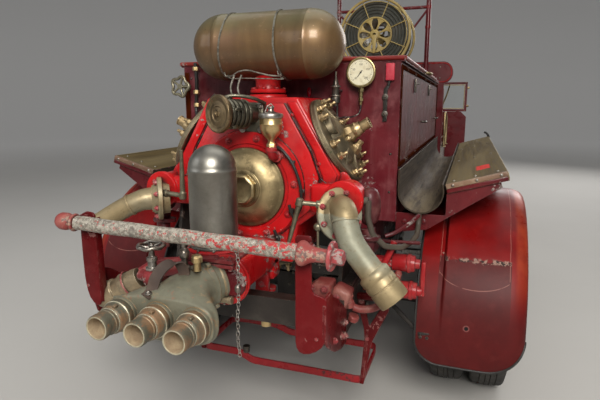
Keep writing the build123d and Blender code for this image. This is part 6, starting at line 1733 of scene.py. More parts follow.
x_rows = [0.6850, 0.6856, 0.688, 0.694, 0.704, 0.720, 0.742, 0.768, 0.786, 0.7915, 0.7940, 0.7965, 0.7990, 0.8010, 0.8035, 0.810, 0.835, 0.870, 0.91, 0.95, 0.99, 1.02, 1.045, 1.066, 1.082, 1.096, 1.108, 1.119, 1.129,
          1.1365, 1.143, 1.148, 1.1515, 1.1530, 1.1538]
beads, stays = Piece("guard_beading"), Piece("guard_stays")
for sd, nm in ((-1, "left"), (1, "right")):
    prof = [(x, inset(x)) for x in x_rows]
    # turned-in skirt below the shoulder
    prof += [(1.1535, 0.062), (1.1525, 0.070)]
    p = Piece("mudguard_rear_" + nm)
    rows_ = []
    for i in range(73):
        row = []
        for x, k in prof:
            t = (low_z(x) - 0.360) * (1 - i / 72) + (0.080 + 1.885) * i / 72
            if t < 0.080:
                row.append(P(sd * x, RS - RA + k, 0.360 + t))
            else:
                a = pi - (t - 0.080) / 0.6
                row.append(P(sd * x, RS + ((RA if cos(a) < 0 else RF) - k) * cos(a), RZ + (crown_h(x) - k) * sin(a)))
        rows_.append(row)
    if sd < 0:
        rows_ = [list(reversed(r)) for r in rows_]
    p.sheet(rows_, thick=0.0035)
    p.done(GUARDPAINT, "chassis", "maroon_paint", replaces=("mudguards",) if sd < 0 else (), angle=30)
    first = rows_[0]
    inner = [r[0] if sd > 0 else r[-1] for r in rows_]
    outer = [r[-1] if sd > 0 else r[0] for r in rows_]
    beads.tube(first, 0.0055, seg=8)
    beads.tube(inner, 0.0060, seg=8)
    beads.tube(outer, 0.0045, seg=8)
    # stays and lugs
    stays.tube(curve_pts([P(sd * 0.466, 0.020, 0.650), P(sd * 0.58, -0.060, 0.575), P(sd * 0.714, -0.138, 0.490)], 5), 0.0115, seg=14)
    stays.tube([P(sd * 0.466, 0.500, 0.764), P(sd * 0.600, 0.500, 0.910), P(sd * 0.700, 0.500, 1.014)], 0.0115, seg=14)
    stays.box(P(sd * 0.726, -0.1405, 0.486), (0.055, 0.008, 0.040), bev=0.003)
    for dx in (-0.014, 0.016):
        stays.hexbolt(P(sd * (0.726 + dx), -0.1505, 0.486), (0, -1, 0), r=0.008, h=0.005)

# front guards: arc over the wheel, then a straight run down to the board
FG, FS = 0.540, 4.180 - 0.0
try:
    FS = (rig.box("tyre_front_left")[0][1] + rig.box("tyre_front_left")[1][1]) / 2 - Y0
except Exception:
    pass
a_top, a_end = radians(12), radians(150)
L1 = (a_end - a_top) * FG
ex, ez = FS + FG * cos(a_end), RZ + FG * sin(a_end)
L2 = hypot(ex - 3.790, ez - 0.530)


def front_pos(t, r):
    if t < L1:
        a = a_top + t / FG
        return FS + r * cos(a), RZ + r * sin(a)
    u = (t - L1) / L2
    k = FG - r
    s, z = ex + (3.790 - ex) * u, ez + (0.530 - ez) * u
    nx, nz = (ez - 0.530) / L2, -(ex - 3.790) / L2
    bend = sin(pi * u) * 0.016
    if nz > 0:
        nx, nz = -nx, -nz
    return s + nx * (k + bend) * (1 - 0.55 * u), z + nz * (k + bend) * (1 - 0.55 * u)


for sd, nm in ((-1, "left"), (1, "right")):
    fx = [0.811, 0.812, 0.816, 0.824, 0.836, 0.86, 0.90, 0.94, 0.98, 1.01, 1.035, 1.055, 1.072, 1.086, 1.096, 1.103, 1.107, 1.1095]
    prof = []
    for x in fx:
        k = 0.0004 + 0.006 * abs((x - 0.95) / 0.15) ** 2 if x < 1.035 else 0.0022 + 0.046 * (1 - sqrt(max(0.0, 1 - ((x - 1.035) / 0.0745) ** 2.2)))
        prof.append((x, k))
    prof += [(1.1092, 0.058)]
    p, rows_ = guard_sheet("mudguard_front_" + nm, FG, prof, sd, lambda x: 0.0, L1 + L2, front_pos, 56)
    if sd > 0:
        rows_ = [list(reversed(r)) for r in rows_]
    p.sheet(rows_, thick=0.0035)
    p.done(GUARDPAINT, "chassis", "maroon_paint", angle=30)
    inner = [r[-1] if sd > 0 else r[0] for r in rows_]
    outer = [r[0] if sd > 0 else r[-1] for r in rows_]
    beads.tube(rows_[0], 0.0055, seg=8)
    beads.tube(inner, 0.0055, seg=8)
    beads.tube(outer, 0.0050, seg=8)
    stays.tube(curve_pts([P(sd * 0.468, 4.560, 0.735), P(sd * 0.66, 4.560, 0.83), P(sd * 0.880, 4.560, 0.928)], 5), 0.012, seg=14)
    stays.tube(curve_pts([P(sd * 0.468, 4.000, 0.735), P(sd * 0.66, 4.020, 0.805), P(sd * 0.860, 4.040, 0.872)], 5), 0.012, seg=14)
beads.done(BEAD, "chassis", "rubber", angle=60)
stays.done(BLACK, "chassis", "black_paint", angle=40)

# ================================================================ body trim
# lid: rounded lip along its edges, and ribs on top
LIP = paint("lid_lip", (0.24, 0.022, 0.014), (0.14, 0.010, 0.008), (0.36, 0.07, 0.045), rough=(0.25, 0.45), chips=0.6, crevice_dark=0.4, spots=0.2, coat=0.5)
p = Piece("lid_lip")
bl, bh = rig.box("body_lid")
zt = bh[2] - 0.0105
ring = [Vector((-0.5745, bl[1] + 0.0005, zt)), Vector((0.5745, bl[1] + 0.0005, zt))]
p.tube([Vector((-0.5745 + 1.149 * k / 20, bl[1] - 0.0005, zt)) for k in range(21)], 0.0105, seg=16)
for sd in (-1, 1):
    p.tube([Vector((sd * 0.5745, bl[1] + (bh[1] - bl[1]) * k / 20, zt)) for k in range(21)], 0.0105, seg=16)
for x in (-0.30, 0.0, 0.30):
    p.solid([Vector((x - 0.020, bl[1] + 0.03, bh[2] - 0.001)), Vector((x + 0.020, bl[1] + 0.03, bh[2] - 0.001)), Vector((x + 0.020, bh[1] - 0.03, bh[2] - 0.001)), Vector((x - 0.020, bh[1] - 0.03, bh[2] - 0.001))],
            (0, 0, 0.007), bev=0.003)
# lift handle on the free side
p.mi = 1
p.tube(curve_pts([Vector((0.586, -0.98, 1.722)), Vector((0.606, -0.97, 1.722)), Vector((0.612, -0.94, 1.722)), Vector((0.612, -0.86, 1.722)), Vector((0.606, -0.83, 1.722)), Vector((0.586, -0.82, 1.722))], 4), 0.007, seg=12)
p.done([LIP, BRASS], "lid", "maroon_paint", angle=50)

# mouldings, corner posts, seams and fittings of the body's sides
p = Piece("body_mouldings")
p.mi = 0
for sd in (-1, 1):
    x = sd * 0.5605
    for z in (1.695, 1.250):
        p.solid([P(x, 0.010, z - 0.010), P(x, 2.410, z - 0.010), P(x, 2.410, z + 0.010), P(x, 0.010, z + 0.010)], (sd * 0.006, 0, 0), bev=0.0028)
    for s in (0.022, 2.398):
        p.solid([P(x, s - 0.011, 1.246), P(x, s + 0.011, 1.246), P(x, s + 0.011, 1.695), P(x, s - 0.011, 1.695)], (sd * 0.0055, 0, 0), bev=0.0025)
    p.mi = 1
    for s in (0.022, 2.398):
        for z in (1.285, 1.400, 1.520, 1.655):
            p.rivet(P(x + sd * 0.0052, s, z), (sd, 0, 0), 0.0055)
    # hasps that hold the lid, and staples for the ladder straps
    p.mi = 2
    for s in (0.55, 1.45):
        if sd > 0:
            p.box(P(x + sd * 0.008, s, 1.630), (0.010, 0.034, 0.075), bev=0.003)
            p.tube([P(x + sd * 0.014, s - 0.010, 1.640), P(x + sd * 0.026, s - 0.010, 1.640), P(x + sd * 0.026, s + 0.010, 1.640), P(x + sd * 0.014, s + 0.010, 1.640)], 0.0035, seg=8)
    for s in (1.02, 2.10):
        p.tube(curve_pts([P(x + sd * 0.004, s - 0.055, 1.420), P(x + sd * 0.030, s - 0.050, 1.420), P(x + sd * 0.036, s, 1.420), P(x + sd * 0.030, s + 0.050, 1.420), P(x + sd * 0.004, s + 0.055, 1.420)], 4), 0.006, seg=10)
    p.mi = 0
# rear face: framing battens behind the pump
p.solid([P(-0.556, 0.0, 1.000), P(-0.530, 0.0, 1.000), P(-0.530, 0.0, 1.690), P(-0.556, 0.0, 1.690)], (0, -0.004, 0), bev=0.0015)
p.done([SIDE_SHADED, DARKSTEEL, DARKSTEEL], "chassis", "maroon_paint", angle=40)

# troughs: rolled wire edge, end rims
p = Piece("trough_rims")
for sd in (-1, 1):
    for s in (-0.028, 2.624):
        pts = [P(sd * (0.672 + 0.1005 * cos(radians(a))), s, 1.135 + 0.1005 * sin(radians(a))) for a in range(20, -181, -10)]
        pts.append(P(sd * 0.5715, s, 1.228))
        p.tube(pts, 0.0036, seg=8)
    p.tube([P(sd * 0.5715, -0.028 + 2.652 * k / 12, 1.2295) for k in range(13)], 0.0045, seg=8)
    p.tube([P(sd * (0.672 + 0.1005 * cos(radians(20))), -0.028 + 2.652 * k / 12, 1.135 + 0.1005 * sin(radians(20)) + 0.001) for k in range(13)], 0.0045, seg=8)
p.done(TROUGH, "chassis", "trough_metal", angle=60)

def trough_worn():
    """inside of the troughs: dull dark brown, scuffed lengthwise, tan dust lying near the rear end"""
    m = Mat("trough_worn")
    lengthwise = m.noise(1.0, 5, 0.65, 0.5, co=m.map((46, 2.2, 46)))
    c = m.mix(m.step(lengthwise, 0.35, 0.72), (0.040, 0.028, 0.019), (0.088, 0.066, 0.045))
    c = m.mix(m.mul(m.step(m.noise(1.0, 5, 0.7, co=m.map((9, 0.9, 9))), 0.45, 0.72), 0.55), c, (0.030, 0.017, 0.015))
    q = m.xyz()
    low = m.step(m.math("ADD", q[2], m.mul(m.noise(13, 4, 0.7), 0.05)), 1.075, 1.120, 1.0, 0.0)
    end = m.step(q[1], Y0 + 0.05, Y0 + 0.75, 1.0, 0.25)
    dust = m.mul(m.mul(low, end), m.step(m.noise(1.0, 5, 0.7, co=m.map((21, 2.2, 21))), 0.36, 0.62))
    c = m.mix(m.mul(dust, 0.75), c, (0.19, 0.150, 0.092))
    c = m.mix(m.mul(m.step(m.noise(1.0, 4, 0.75, co=m.map((33, 3.2, 33))), 0.60, 0.66), 0.8), c, (0.014, 0.011, 0.009))
    n = m.bump([(lengthwise, 0.2, 0.001), (m.noise(1.0, 3, 0.6, co=m.map((90, 6, 90))), 0.15, 0.0006)])
    return m.out(c, m.step(m.noise(1.0, 4, co=m.map((24, 2, 24))), 0.3, 0.7, 0.65, 0.85), 0.0, n, Specular_IOR_Level=0.16)


p = Piece("trough_linings")
for sd in (-1, 1):
    prof_ = [(0.672 + 0.0972 * cos(radians(a)), 1.135 + 0.0972 * sin(radians(a))) for a in range(20, -181, -8)] + [(0.5748, 1.165), (0.5748, 1.195), (0.5748, 1.226)]
    p.sheet([[P(sd * x, -0.022 + 2.640 * k / 24, z) for x, z in prof_] for k in range(25)], thick=0.0010)
p.done(trough_worn(), "chassis", "trough_metal", angle=60)

# bench boards: painted end battens with screws, edge strips
def bench_pt(sd, u, v, s):
    """u along the slope in metres from the inner edge, v above the underside"""
    L = hypot(0.255, 0.073)
    ux, uz = 0.255 / L, 0.073 / L
    return P(sd * (0.790 + ux * u - uz * v), s, 1.130 + uz * u + ux * v)


BATTEN = paint("batten_worn", (0.200, 0.120, 0.075), (0.110, 0.060, 0.040), (0.36, 0.28, 0.20), rough=(0.35, 0.6), chips=0.9, crevice_dark=0.6, spots=0.4, scuff=0.9,
               primer=(0.36, 0.28, 0.22), metal=(0.22, 0.17, 0.12), bevel=0.003, coat=0.1)
p = Piece("bench_trim")
for sd in (-1, 1):
    for s0, s1 in ((-0.0125, 0.006), (2.604, 2.6225)):
        p.mi = 0
        q = [bench_pt(sd, 0.000, 0.0205, s0), bench_pt(sd, 0.2650, 0.0205, s0), bench_pt(sd, 0.2650, 0.0425, s0), bench_pt(sd, 0.000, 0.0425, s0)]
        p.solid(q, (0, s1 - s0, 0), bev=0.003)
        p.mi = 4
        q = [bench_pt(sd, 0.000, 0.0005, s0), bench_pt(sd, 0.2630, 0.0005, s0), bench_pt(sd, 0.2630, 0.0195, s0), bench_pt(sd, 0.000, 0.0195, s0)]
        e_ = 0.0006 if s0 < 1 else 0.0
        p.solid([v_ + Vector((0, e_, 0)) for v_ in q], (0, s1 - s0 - 0.0006, 0), bev=0.002)
        p.mi = 1
        for u in (0.030, 0.135, 0.238):
            sdir = -1 if s0 < 1 else 1
            p.rivet(bench_pt(sd, u, 0.0315, s0 if s0 < 1 else s1), (0, sdir, 0), 0.0070)
    # top screws in rows over the brackets
    p.mi = 1
    for s in (0.055, 0.930, 1.810, 2.565):
        for u in (0.035, 0.130, 0.228):
            p.rivet(bench_pt(sd, u, 0.0418, s), (bench_pt(sd, 0, 1, 0) - bench_pt(sd, 0, 0, 0)).normalized(), 0.0075)
    p.mi = 2
    p.solid([bench_pt(sd, 0.2645, 0.006, 0.008), bench_pt(sd, 0.2685, 0.006, 0.008), bench_pt(sd, 0.2685, 0.034, 0.008), bench_pt(sd, 0.2645, 0.034, 0.008)], (0, 2.594, 0), bev=0.001)
    # bench rest at the front: curled end of iron strip
    p.mi = 3
    p.tube(curve_pts([bench_pt(sd, 0.235, -0.004, 2.590), bench_pt(sd, 0.262, 0.020, 2.596), bench_pt(sd, 0.258, 0.070, 2.600), bench_pt(sd, 0.236, 0.090, 2.604)], 6), 0.010, seg=12)
p.done([BATTEN, STEEL, BRASS, LINKBLACK, DEEP], "chassis", "wood", angle=40)

p = Piece("bracket_bolts")
for sd in (-1, 1):
    for s in (0.002, 0.880, 1.760, 2.600):
        for x, z in ((0.600, 0.985), (0.690, 0.990)):
            p.hexbolt(P(sd * x, s - 0.0002, z), (0, -1, 0), r=0.009, h=0.006, washer=0.012)
p.done(DEEP, "chassis", "maroon_paint")

# side lockers: door panels with raised moulding, hinge straps, catches
for sd, nm in ((-1, "left"), (1, "right")):
    lo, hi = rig.box("locker_door_" + nm)
    x1 = sd * 1.0602
    p = Piece("locker_trim_" + nm)
    y0_, y1_ = lo[1] + 0.035, hi[1] - 0.035
    z0_, z1_ = 0.600, 0.868
    p.mi = 0
    for a, b, c_, d_ in ((y0_, y1_, z0_, z0_ + 0.016), (y0_, y1_, z1_ - 0.016, z1_), (y0_, y0_ + 0.016, z0_, z1_), (y1_ - 0.016, y1_, z0_, z1_), ((y0_ + y1_) / 2 - 0.008, (y0_ + y1_) / 2 + 0.008, z0_, z1_)):
        p.solid([Vector((x1, a, c_)), Vector((x1, b, c_)), Vector((x1, b, d_)), Vector((x1, a, d_))], (sd * 0.006, 0, 0), bev=0.0025)
    p.mi = 1
    for s in (1.300, 1.880, 2.460):
        p.solid([P(x1, s - 0.018, 0.572), P(x1, s + 0.018, 0.572), P(x1, s + 0.012, 0.650), P(x1, s, 0.662), P(x1, s - 0.012, 0.650)], (sd * 0.004, 0, 0), bev=0.0012)
        for z in (0.590, 0.618, 0.645):
            p.rivet(P(x1 + sd * 0.004, s, z), (sd, 0, 0), 0.005)
    for s in (1.820, 1.940):
        p.lathe([(0, 0), (0, 0.014), (0.003, 0.016), (0.006, 0.014), (0.006, 0.0)], P(x1, s, 0.888), (sd, 0, 0), seg=20)
    p.lathe([(0, 0), (0, 0.017), (0.002, 0.0185), (0.004, 0.017), (0.0045, 0.0)], P(x1, 1.620, 0.840), (sd, 0, 0), seg=26)
    p.solid([P(x1 + sd * 0.004, 1.618, 0.834), P(x1 + sd * 0.004, 1.622, 0.834), P(x1 + sd * 0.004, 1.622, 0.846), P(x1 + sd * 0.004, 1.618, 0.846)], (sd * 0.0015, 0, 0))
    p.done([SIDE_SHADED, BRASS], "door_" + nm, "brass", angle=40)
p = Piece("locker_edges")
for sd in (-1, 1):
    for s in (1.1205, 2.6395):
        for z0_, z1_ in ((0.562, 0.923),):
            p.tube([P(sd * 1.0385, s, z0_), P(sd * 1.0385, s, z1_)], 0.0045, seg=8)
    p.tube([P(sd * 1.0385, 1.122, 0.9245), P(sd * 1.0385, 2.638, 0.9245)], 0.0045, seg=8)
    # grab rail on top of the locker
    p.tube(curve_pts([P(sd * 0.985, 1.30, 0.925), P(sd * 0.985, 1.305, 0.975), P(sd * 0.985, 1.36, 0.990), P(sd * 0.985, 2.40, 0.990), P(sd * 0.985, 2.455, 0.975), P(sd * 0.985, 2.46, 0.925)], 5), 0.0095, seg=12)
p.done([BRASS], "chassis", "brass", angle=50)

# running board: brass edge strip, bolts over the hangers
p = Piece("board_edges")
for sd in (-1, 1):
    p.mi = 0
    p.solid([P(sd * 1.1195, 1.112, 0.5005), P(sd * 1.1225, 1.112, 0.5005), P(sd * 1.1225, 1.112, 0.531), P(sd * 1.100, 1.112, 0.531), P(sd * 1.100, 1.112, 0.5285), P(sd * 1.1195, 1.112, 0.5285)], (0, 2.676, 0), bev=0.0008)
    p.mi = 1
    for k in range(22):
        p.rivet(P(sd * 1.110, 1.16 + k * 0.123, 0.5308), (0, 0, 1), 0.0045)
    for s in (1.200, 2.000, 2.800, 3.600):
        for x in (0.68, 0.86, 1.04):
            p.hexbolt(P(sd * x, s, 0.528), (0, 0, 1), r=0.010, h=0.006, washer=0.014)
p.done([BRASS, STEEL], "chassis", "brass", angle=40)

# ================================================================ reel and gantry
gb0, gb1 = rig.box("hose_reel")
RCZ = (gb0[2] + gb1[2]) / 2
RR = (gb1[2] - gb0[2]) / 2
ys = (gb0[1], gb1[1])
GOLDTUBE = paint("reel_gold", (0.36, 0.27, 0.09), (0.22, 0.16, 0.055), (0.52, 0.43, 0.19), rough=(0.3, 0.5), chips=0.45, crevice_dark=0.5, spots=0.25,
                 primer=(0.16, 0.05, 0.03), metal=(0.09, 0.07, 0.05), scuff=0.4, coat=0.3)
p = Piece("reel_wheels")
for y, ydir in ((ys[0] + 0.007, -1), (ys[1] - 0.007, 1)):
    C = Vector((0, y, RCZ))
    for R_, rt in ((RR - 0.0125, 0.0125), (RR - 0.040, 0.0045), (0.148, 0.0080)):
        p.tube([C + Vector((R_ * cos(a), 0, R_ * sin(a))) for a in np.linspace(0, 2 * pi, 72, endpoint=False)], rt, seg=12, closed=True)
    for k in range(8):
        a = radians(45 * k + 22)
        p.tube([C + Vector((r * cos(a), 0, r * sin(a))) for r in (0.146, 0.190, 0.240, RR - 0.016)], 0.0048, seg=10)
        # cast web between two petal-shaped holes: narrow at the hub, wide at the rim
        web = [(0.044, 0.0085), (0.070, 0.0075), (0.095, 0.0095), (0.115, 0.017), (0.130, 0.032), (0.142, 0.054)]
        q = [(r, w) for r, w in web] + [(r, -w) for r, w in reversed(web)]
        ca, sa = cos(a), sin(a)
        p.solid([C + Vector((r * ca - w * sa, -ydir * 0.004, r * sa + w * ca)) for r, w in q], (0, ydir * 0.007, 0), bev=0.0018)
    p.lathe([(-0.010, 0.0), (-0.010, 0.040), (-0.006, 0.046), (0.008, 0.046), (0.012, 0.040), (0.020, 0.034), (0.022, 0.0155)], C - Vector((0, ydir * 0.002, 0)), (0, ydir, 0), seg=36)
    for k in range(6):
        a = radians(60 * k)
        p.hexbolt(C + Vector((0.058 * cos(a), ydir * 0.004, 0.058 * sin(a))), (0, ydir, 0), r=0.006, h=0.005)
p.lathe([(0.010, 0.1185), (0.320, 0.1185)], Vector((0, ys[0], RCZ)), (0, 1, 0), seg=48)
# crank handle on the rear wheel
C = Vector((0, ys[0] - 0.006, RCZ))
p.solid([C + Vector((0.020, 0, 0.0)), C + Vector((-0.020, 0, 0.0)), C + Vector((-0.013, 0, -0.160)), C + Vector((0.013, 0, -0.160))], (0, -0.008, 0), bev=0.003)
p.done(GOLDTUBE, "reel", "gold_paint", replaces=("hose_reel",), angle=45)

hb0, hb1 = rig.box("reel_hose")
p = Piece("reel_hose_turns")
hr = 0.0135
n_side = int((hb1[1] - hb0[1]) / (2 * hr))
pitch = (hb1[1] - hb0[1] - 2 * hr) / (n_side - 1)


def turn(y, r, seg=56, wob=0.0):
    ph = random.random() * 6.28
    p.tube([Vector(((r + wob * sin(3 * a + ph)) * cos(a), y + wob * 0.7 * sin(2 * a + ph), RCZ + (r + wob * sin(3 * a + ph)) * sin(a))) for a in np.linspace(0, 2 * pi, seg, endpoint=False)], hr, seg=8, closed=True)


for k in range(n_side):
    turn(hb0[1] + hr + k * pitch, 0.2775, wob=0.0006)
for j in range(5):
    r = 0.137 + j * 0.0281
    turn(hb0[1] + hr + 0.001, r, 44, 0.0005)
    turn(hb1[1] - hr - 0.001, r, 44, 0.0005)
p.lathe([(0.012, 0.118), (0.012, 0.262), (hb1[1] - hb0[1] - 0.012, 0.262), (hb1[1] - hb0[1] - 0.012, 0.118)], Vector((0, hb0[1], RCZ)), (0, 1, 0), seg=48)
p.done(HOSERUB, "reel", "rubber", replaces=("reel_hose",), angle=60)
# brass branch pipe tucked in the turns
p = Piece("reel_nozzle")
p.lathe([(0, 0), (0, 0.019), (0.018, 0.021), (0.022, 0.017), (0.110, 0.0125), (0.150, 0.0095), (0.153, 0.012), (0.165, 0.012), (0.166, 0.0)], Vector((-0.085, (ys[0] + ys[1]) / 2 + 0.02, RCZ + 0.2655)), (1, 0.12, 0.0), seg=22)
p.done(BRASS, "reel", "brass", angle=40)

p = Piece("gantry_fittings")
for sd in (-1, 1):
    p.mi = 0
    for s in (2.450, 2.560, 2.675):
        for dx in (-0.026, 0.026):
            p.hexbolt(P(sd * (0.430 + dx), s, 1.7452), (0, 0, 1), r=0.010, h=0.008, washer=0.013)
    p.mi = 1
    for z in (1.760, 2.250, 2.430):
        p.lathe([(-0.014, 0.0222), (-0.012, 0.0262), (0.012, 0.0262), (0.014, 0.0222)], P(sd * 0.430, 2.655, z), (0, 0, 1), seg=24)
    p.lathe([(0, 0.0), (0, 0.034), (0.006, 0.036), (0.012, 0.034), (0.014, 0.0)], P(sd * 0.470, 2.655, 2.590), (sd, 0, 0), seg=26)
    p.hexbolt(P(sd * 0.484, 2.655, 2.590), (sd, 0, 0), r=0.012, h=0.008)
    p.box(P(sd * 0.340, 2.222, 1.742), (0.050, 0.030, 0.008), bev=0.002)
    for dx in (-0.018, 0.018):
        p.mi = 0
        p.hexbolt(P(sd * (0.340 + dx * 1.3), 2.222, 1.7355), (0, 0, 1), r=0.007, h=0.005)
# grooves and end ferrules of the roller
p.mi = 2
for x in (-0.40, 0.40, -0.20, 0.0, 0.20):
    p.lathe([(-0.012, 0.0302), (-0.010, 0.0318), (0.010, 0.0318), (0.012, 0.0302)], P(x, 2.655, 2.590), (1, 0, 0), seg=26)
p.done([STEEL, GUARD, BRASS], "chassis", "red_paint", angle=40)


# ================================================================ tyres and wheels
def build_tyre(name, xs_, axis_s, body, replaces):
    """cushion-shaped tyres with a cut tread, bead lines and side ribs"""
    p = Piece(name)
    for xm in xs_:
        half = [(0.0, 0.4396), (0.10, 0.4394), (0.115, 0.4330), (0.135, 0.4330), (0.150, 0.4392), (0.40, 0.4383), (0.415, 0.4322), (0.440, 0.4320), (0.455, 0.4376), (0.70, 0.4340), (0.80, 0.4290), (0.86, 0.4225), (0.90, 0.4140),
                (0.935, 0.4020), (0.950, 0.3940), (0.968, 0.3925), (0.972, 0.3860), (0.965, 0.3840), (0.985, 0.3700), (0.996, 0.3500), (0.998, 0.3300), (0.985, 0.3120), (0.960, 0.3010), (0.945, 0.2985), (0.952, 0.2930), (0.930, 0.2840),
                (0.880, 0.2720), (0.845, 0.2655), (0.800, 0.2615)]
        prof = [(-k * 0.093, r) for k, r in reversed(half[1:])] + [(k * 0.093, r) for k, r in half]
        # cross cuts across the two outer ribs
        seg = 120
        M = basis(P(xm, axis_s, 0.440), (1, 0, 0))
        rows_ = []
        for h, r in prof:
            row = []
            for k in range(seg):
                a = 2 * pi * k / seg
                rr = r
                sh = 1 if h > 0 else 0
                if r > 0.425 and 0.40 < abs(h) / 0.093 < 0.93 and (k + sh * 2) % 4 == 0:
                    rr = r - 0.0055
                row.append(M @ Vector((rr * cos(a), rr * sin(a), h)))
            rows_.append(row)
        p.sheet(rows_, closed_u=True)
        # inner face closes on the rim
        p.lathe([(-0.0744, 0.2615), (-0.0744, 0.2603), (0.0744, 0.2603), (0.0744, 0.2615)], P(xm, axis_s, 0.440), (1, 0, 0), seg=seg)
    p.done(TYRE, body, "tyre", replaces=replaces, angle=32)


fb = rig.box("tyre_front_left")
FSTA = (fb[0][1] + fb[1][1]) / 2 - Y0
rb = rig.box("tyres_rear_left")
RSTA = (rb[0][1] + rb[1][1]) / 2 - Y0
SPOKE = paint("wheel_red", (0.27, 0.010, 0.012), (0.16, 0.008, 0.009), (0.38, 0.035, 0.03), rough=(0.2, 0.42), chips=0.5, crevice_dark=0.7, spots=0.2, scuff=0.4, coat=0.5)
for sd, nm in ((-1, "left"), (1, "right")):
    build_tyre("tyre_front_" + nm + "_cut", (sd * 0.932,), FSTA, "front_wheel_" + nm, ("tyre_front_" + nm,))
    build_tyre("tyres_rear_" + nm + "_cut", (sd * 0.826, sd * 1.030), RSTA, "rear_wheels_" + nm, ("tyres_rear_" + nm,))
    # front wheel: rim, dished disc with lightening holes drawn as dished pockets, nuts, hub cap
    p = Piece("front_rim_" + nm)
    C = P(sd * 0.932, FSTA, 0.440)
    ax = (sd, 0, 0)
    p.mi = 0
    p.lathe([(-0.0745, 0.2598), (-0.0740, 0.2490), (-0.066, 0.2430), (-0.050, 0.2400), (0.020, 0.2330), (0.055, 0.2400), (0.068, 0.2440), (0.0742, 0.2500), (0.0745, 0.2598)], C, ax, seg=96)
    p.lathe([(0.052, 0.2420), (0.046, 0.2250), (0.018, 0.2180), (0.012, 0.1900), (0.022, 0.1600), (0.032, 0.1380), (0.037, 0.1280), (0.037, 0.1150), (0.040, 0.0870), (0.060, 0.0830), (0.090, 0.0800),
             (0.098, 0.0745), (0.099, 0.0600)], C, ax, seg=96)
    p.lathe([(-0.066, 0.024), (-0.066, 0.098), (-0.062, 0.102), (-0.010, 0.102), (0.000, 0.126), (0.010, 0.186), (0.008, 0.220), (0.030, 0.238)], C, ax, seg=72)
    F = basis(C, ax)
    p.mi = 1
    for k in range(8):
        a = radians(45 * k + 22)
        q = F @ Vector((0.104 * cos(a), 0.104 * sin(a), 0.038))
        p.hexbolt(q, ax, r=0.0145, h=0.014, washer=0.018, dome=True)
    p.mi = 2
    p.lathe([(0.096, 0.0), (0.096, 0.0585), (0.100, 0.0600), (0.114, 0.0585), (0.119, 0.052), (0.122, 0.038), (0.124, 0.0)], C, ax, seg=48)
    p.lathe([(0.120, 0.026), (0.128, 0.024), (0.128, 0.0)], C, ax, seg=6)
    # valve
    q = F @ Vector((0.222, 0.0, 0.040))
    p.tube([q, q + Vector((sd * 0.030, 0, 0)) + (F.to_3x3() @ Vector((-0.020, 0, 0)))], 0.0045, seg=10)
    # locking ring on the rim
    p.mi = 0
    p.tube([F @ Vector((0.2545 * cos(a), 0.2545 * sin(a), 0.0715)) for a in np.linspace(0, 2 * pi, 84, endpoint=False)], 0.0048, seg=10, closed=True)
    p.mi = 3
    for k in range(8):
        a = radians(45 * k)
        q = F @ Vector((0.170 * cos(a), 0.170 * sin(a), 0.0195))
        n_ = (F.to_3x3() @ Vector((-0.30 * cos(a), -0.30 * sin(a), 1))).normalized()
        p.lathe([(0.0, 0.0), (0.0, 0.0225), (0.0022, 0.0245), (0.0035, 0.0270)], q + n_ * 0.0004, n_, seg=24)
    p.done([SPOKE, STEEL, BRASS, BLACK], "front_wheel_" + nm, "red_paint", replaces=("wheel_front_" + nm,), angle=35)

    p = Piece("rear_rims_" + nm)
    C = P(0, RSTA, 0.440)
    p.mi = 0
    for x0, x1 in ((0.752, 0.900), (0.956, 1.104)):
        p.lathe([(x0, 0.2598), (x0 + 0.001, 0.2490), (x0 + 0.010, 0.2430), (x0 + 0.024, 0.2400), ((x0 + x1) / 2, 0.2340), (x1 - 0.024, 0.2400), (x1 - 0.010, 0.2430), (x1 - 0.001, 0.2490), (x1, 0.2598)], C, ax, seg=96)
    p.lathe([(0.706, 0.034), (0.706, 0.118), (0.710, 0.122), (0.744, 0.122), (0.752, 0.200), (0.760, 0.240)], C, ax, seg=72)
    p.lathe([(0.890, 0.2440), (0.904, 0.2280), (0.914, 0.140), (0.918, 0.130), (0.930, 0.130)], C, ax, seg=72)
    p.lathe([(1.094, 0.2440), (1.085, 0.2320), (1.010, 0.2250), (0.975, 0.2150), (0.958, 0.190), (0.944, 0.140), (0.942, 0.128), (0.942, 0.096), (0.950, 0.094), (1.060, 0.090), (1.070, 0.084), (1.071, 0.0)], C, ax, seg=96)
    p.tube([basis(C, ax) @ Vector((0.2545 * cos(a), 0.2545 * sin(a), 1.1015)) for a in np.linspace(0, 2 * pi, 84, endpoint=False)], 0.0048, seg=10, closed=True)
    F = basis(C, ax)
    p.mi = 1
    for k in range(10):
        a = radians(36 * k + 12)
        p.hexbolt(F @ Vector((0.112 * cos(a), 0.112 * sin(a), 0.943)), ax, r=0.0145, h=0.016, washer=0.018, dome=True)
    for k in range(8):
        a = radians(45 * k)
        p.hexbolt(F @ Vector((0.070 * cos(a), 0.070 * sin(a), 1.0708)), ax, r=0.0075, h=0.006)
    p.mi = 2
    p.lathe([(1.066, 0.0), (1.066, 0.048), (1.072, 0.050), (1.0775, 0.044), (1.0778, 0.0)], C, ax, seg=40)
    p.mi = 3
    for k in range(8):
        a = radians(45 * k + 22.5)
        q = F @ Vector((0.172 * cos(a), 0.172 * sin(a), 0.9525))
        n_ = (F.to_3x3() @ Vector((-0.38 * cos(a), -0.38 * sin(a), 1))).normalized()
        p.lathe([(0.0, 0.0), (0.0, 0.0215), (0.0022, 0.0235), (0.0035, 0.0260)], q + n_ * 0.0006, n_, seg=24)
    p.done([SPOKE, STEEL, BRASS, BLACK], "rear_wheels_" + nm, "red_paint", replaces=("wheels_rear_" + nm,), angle=35)

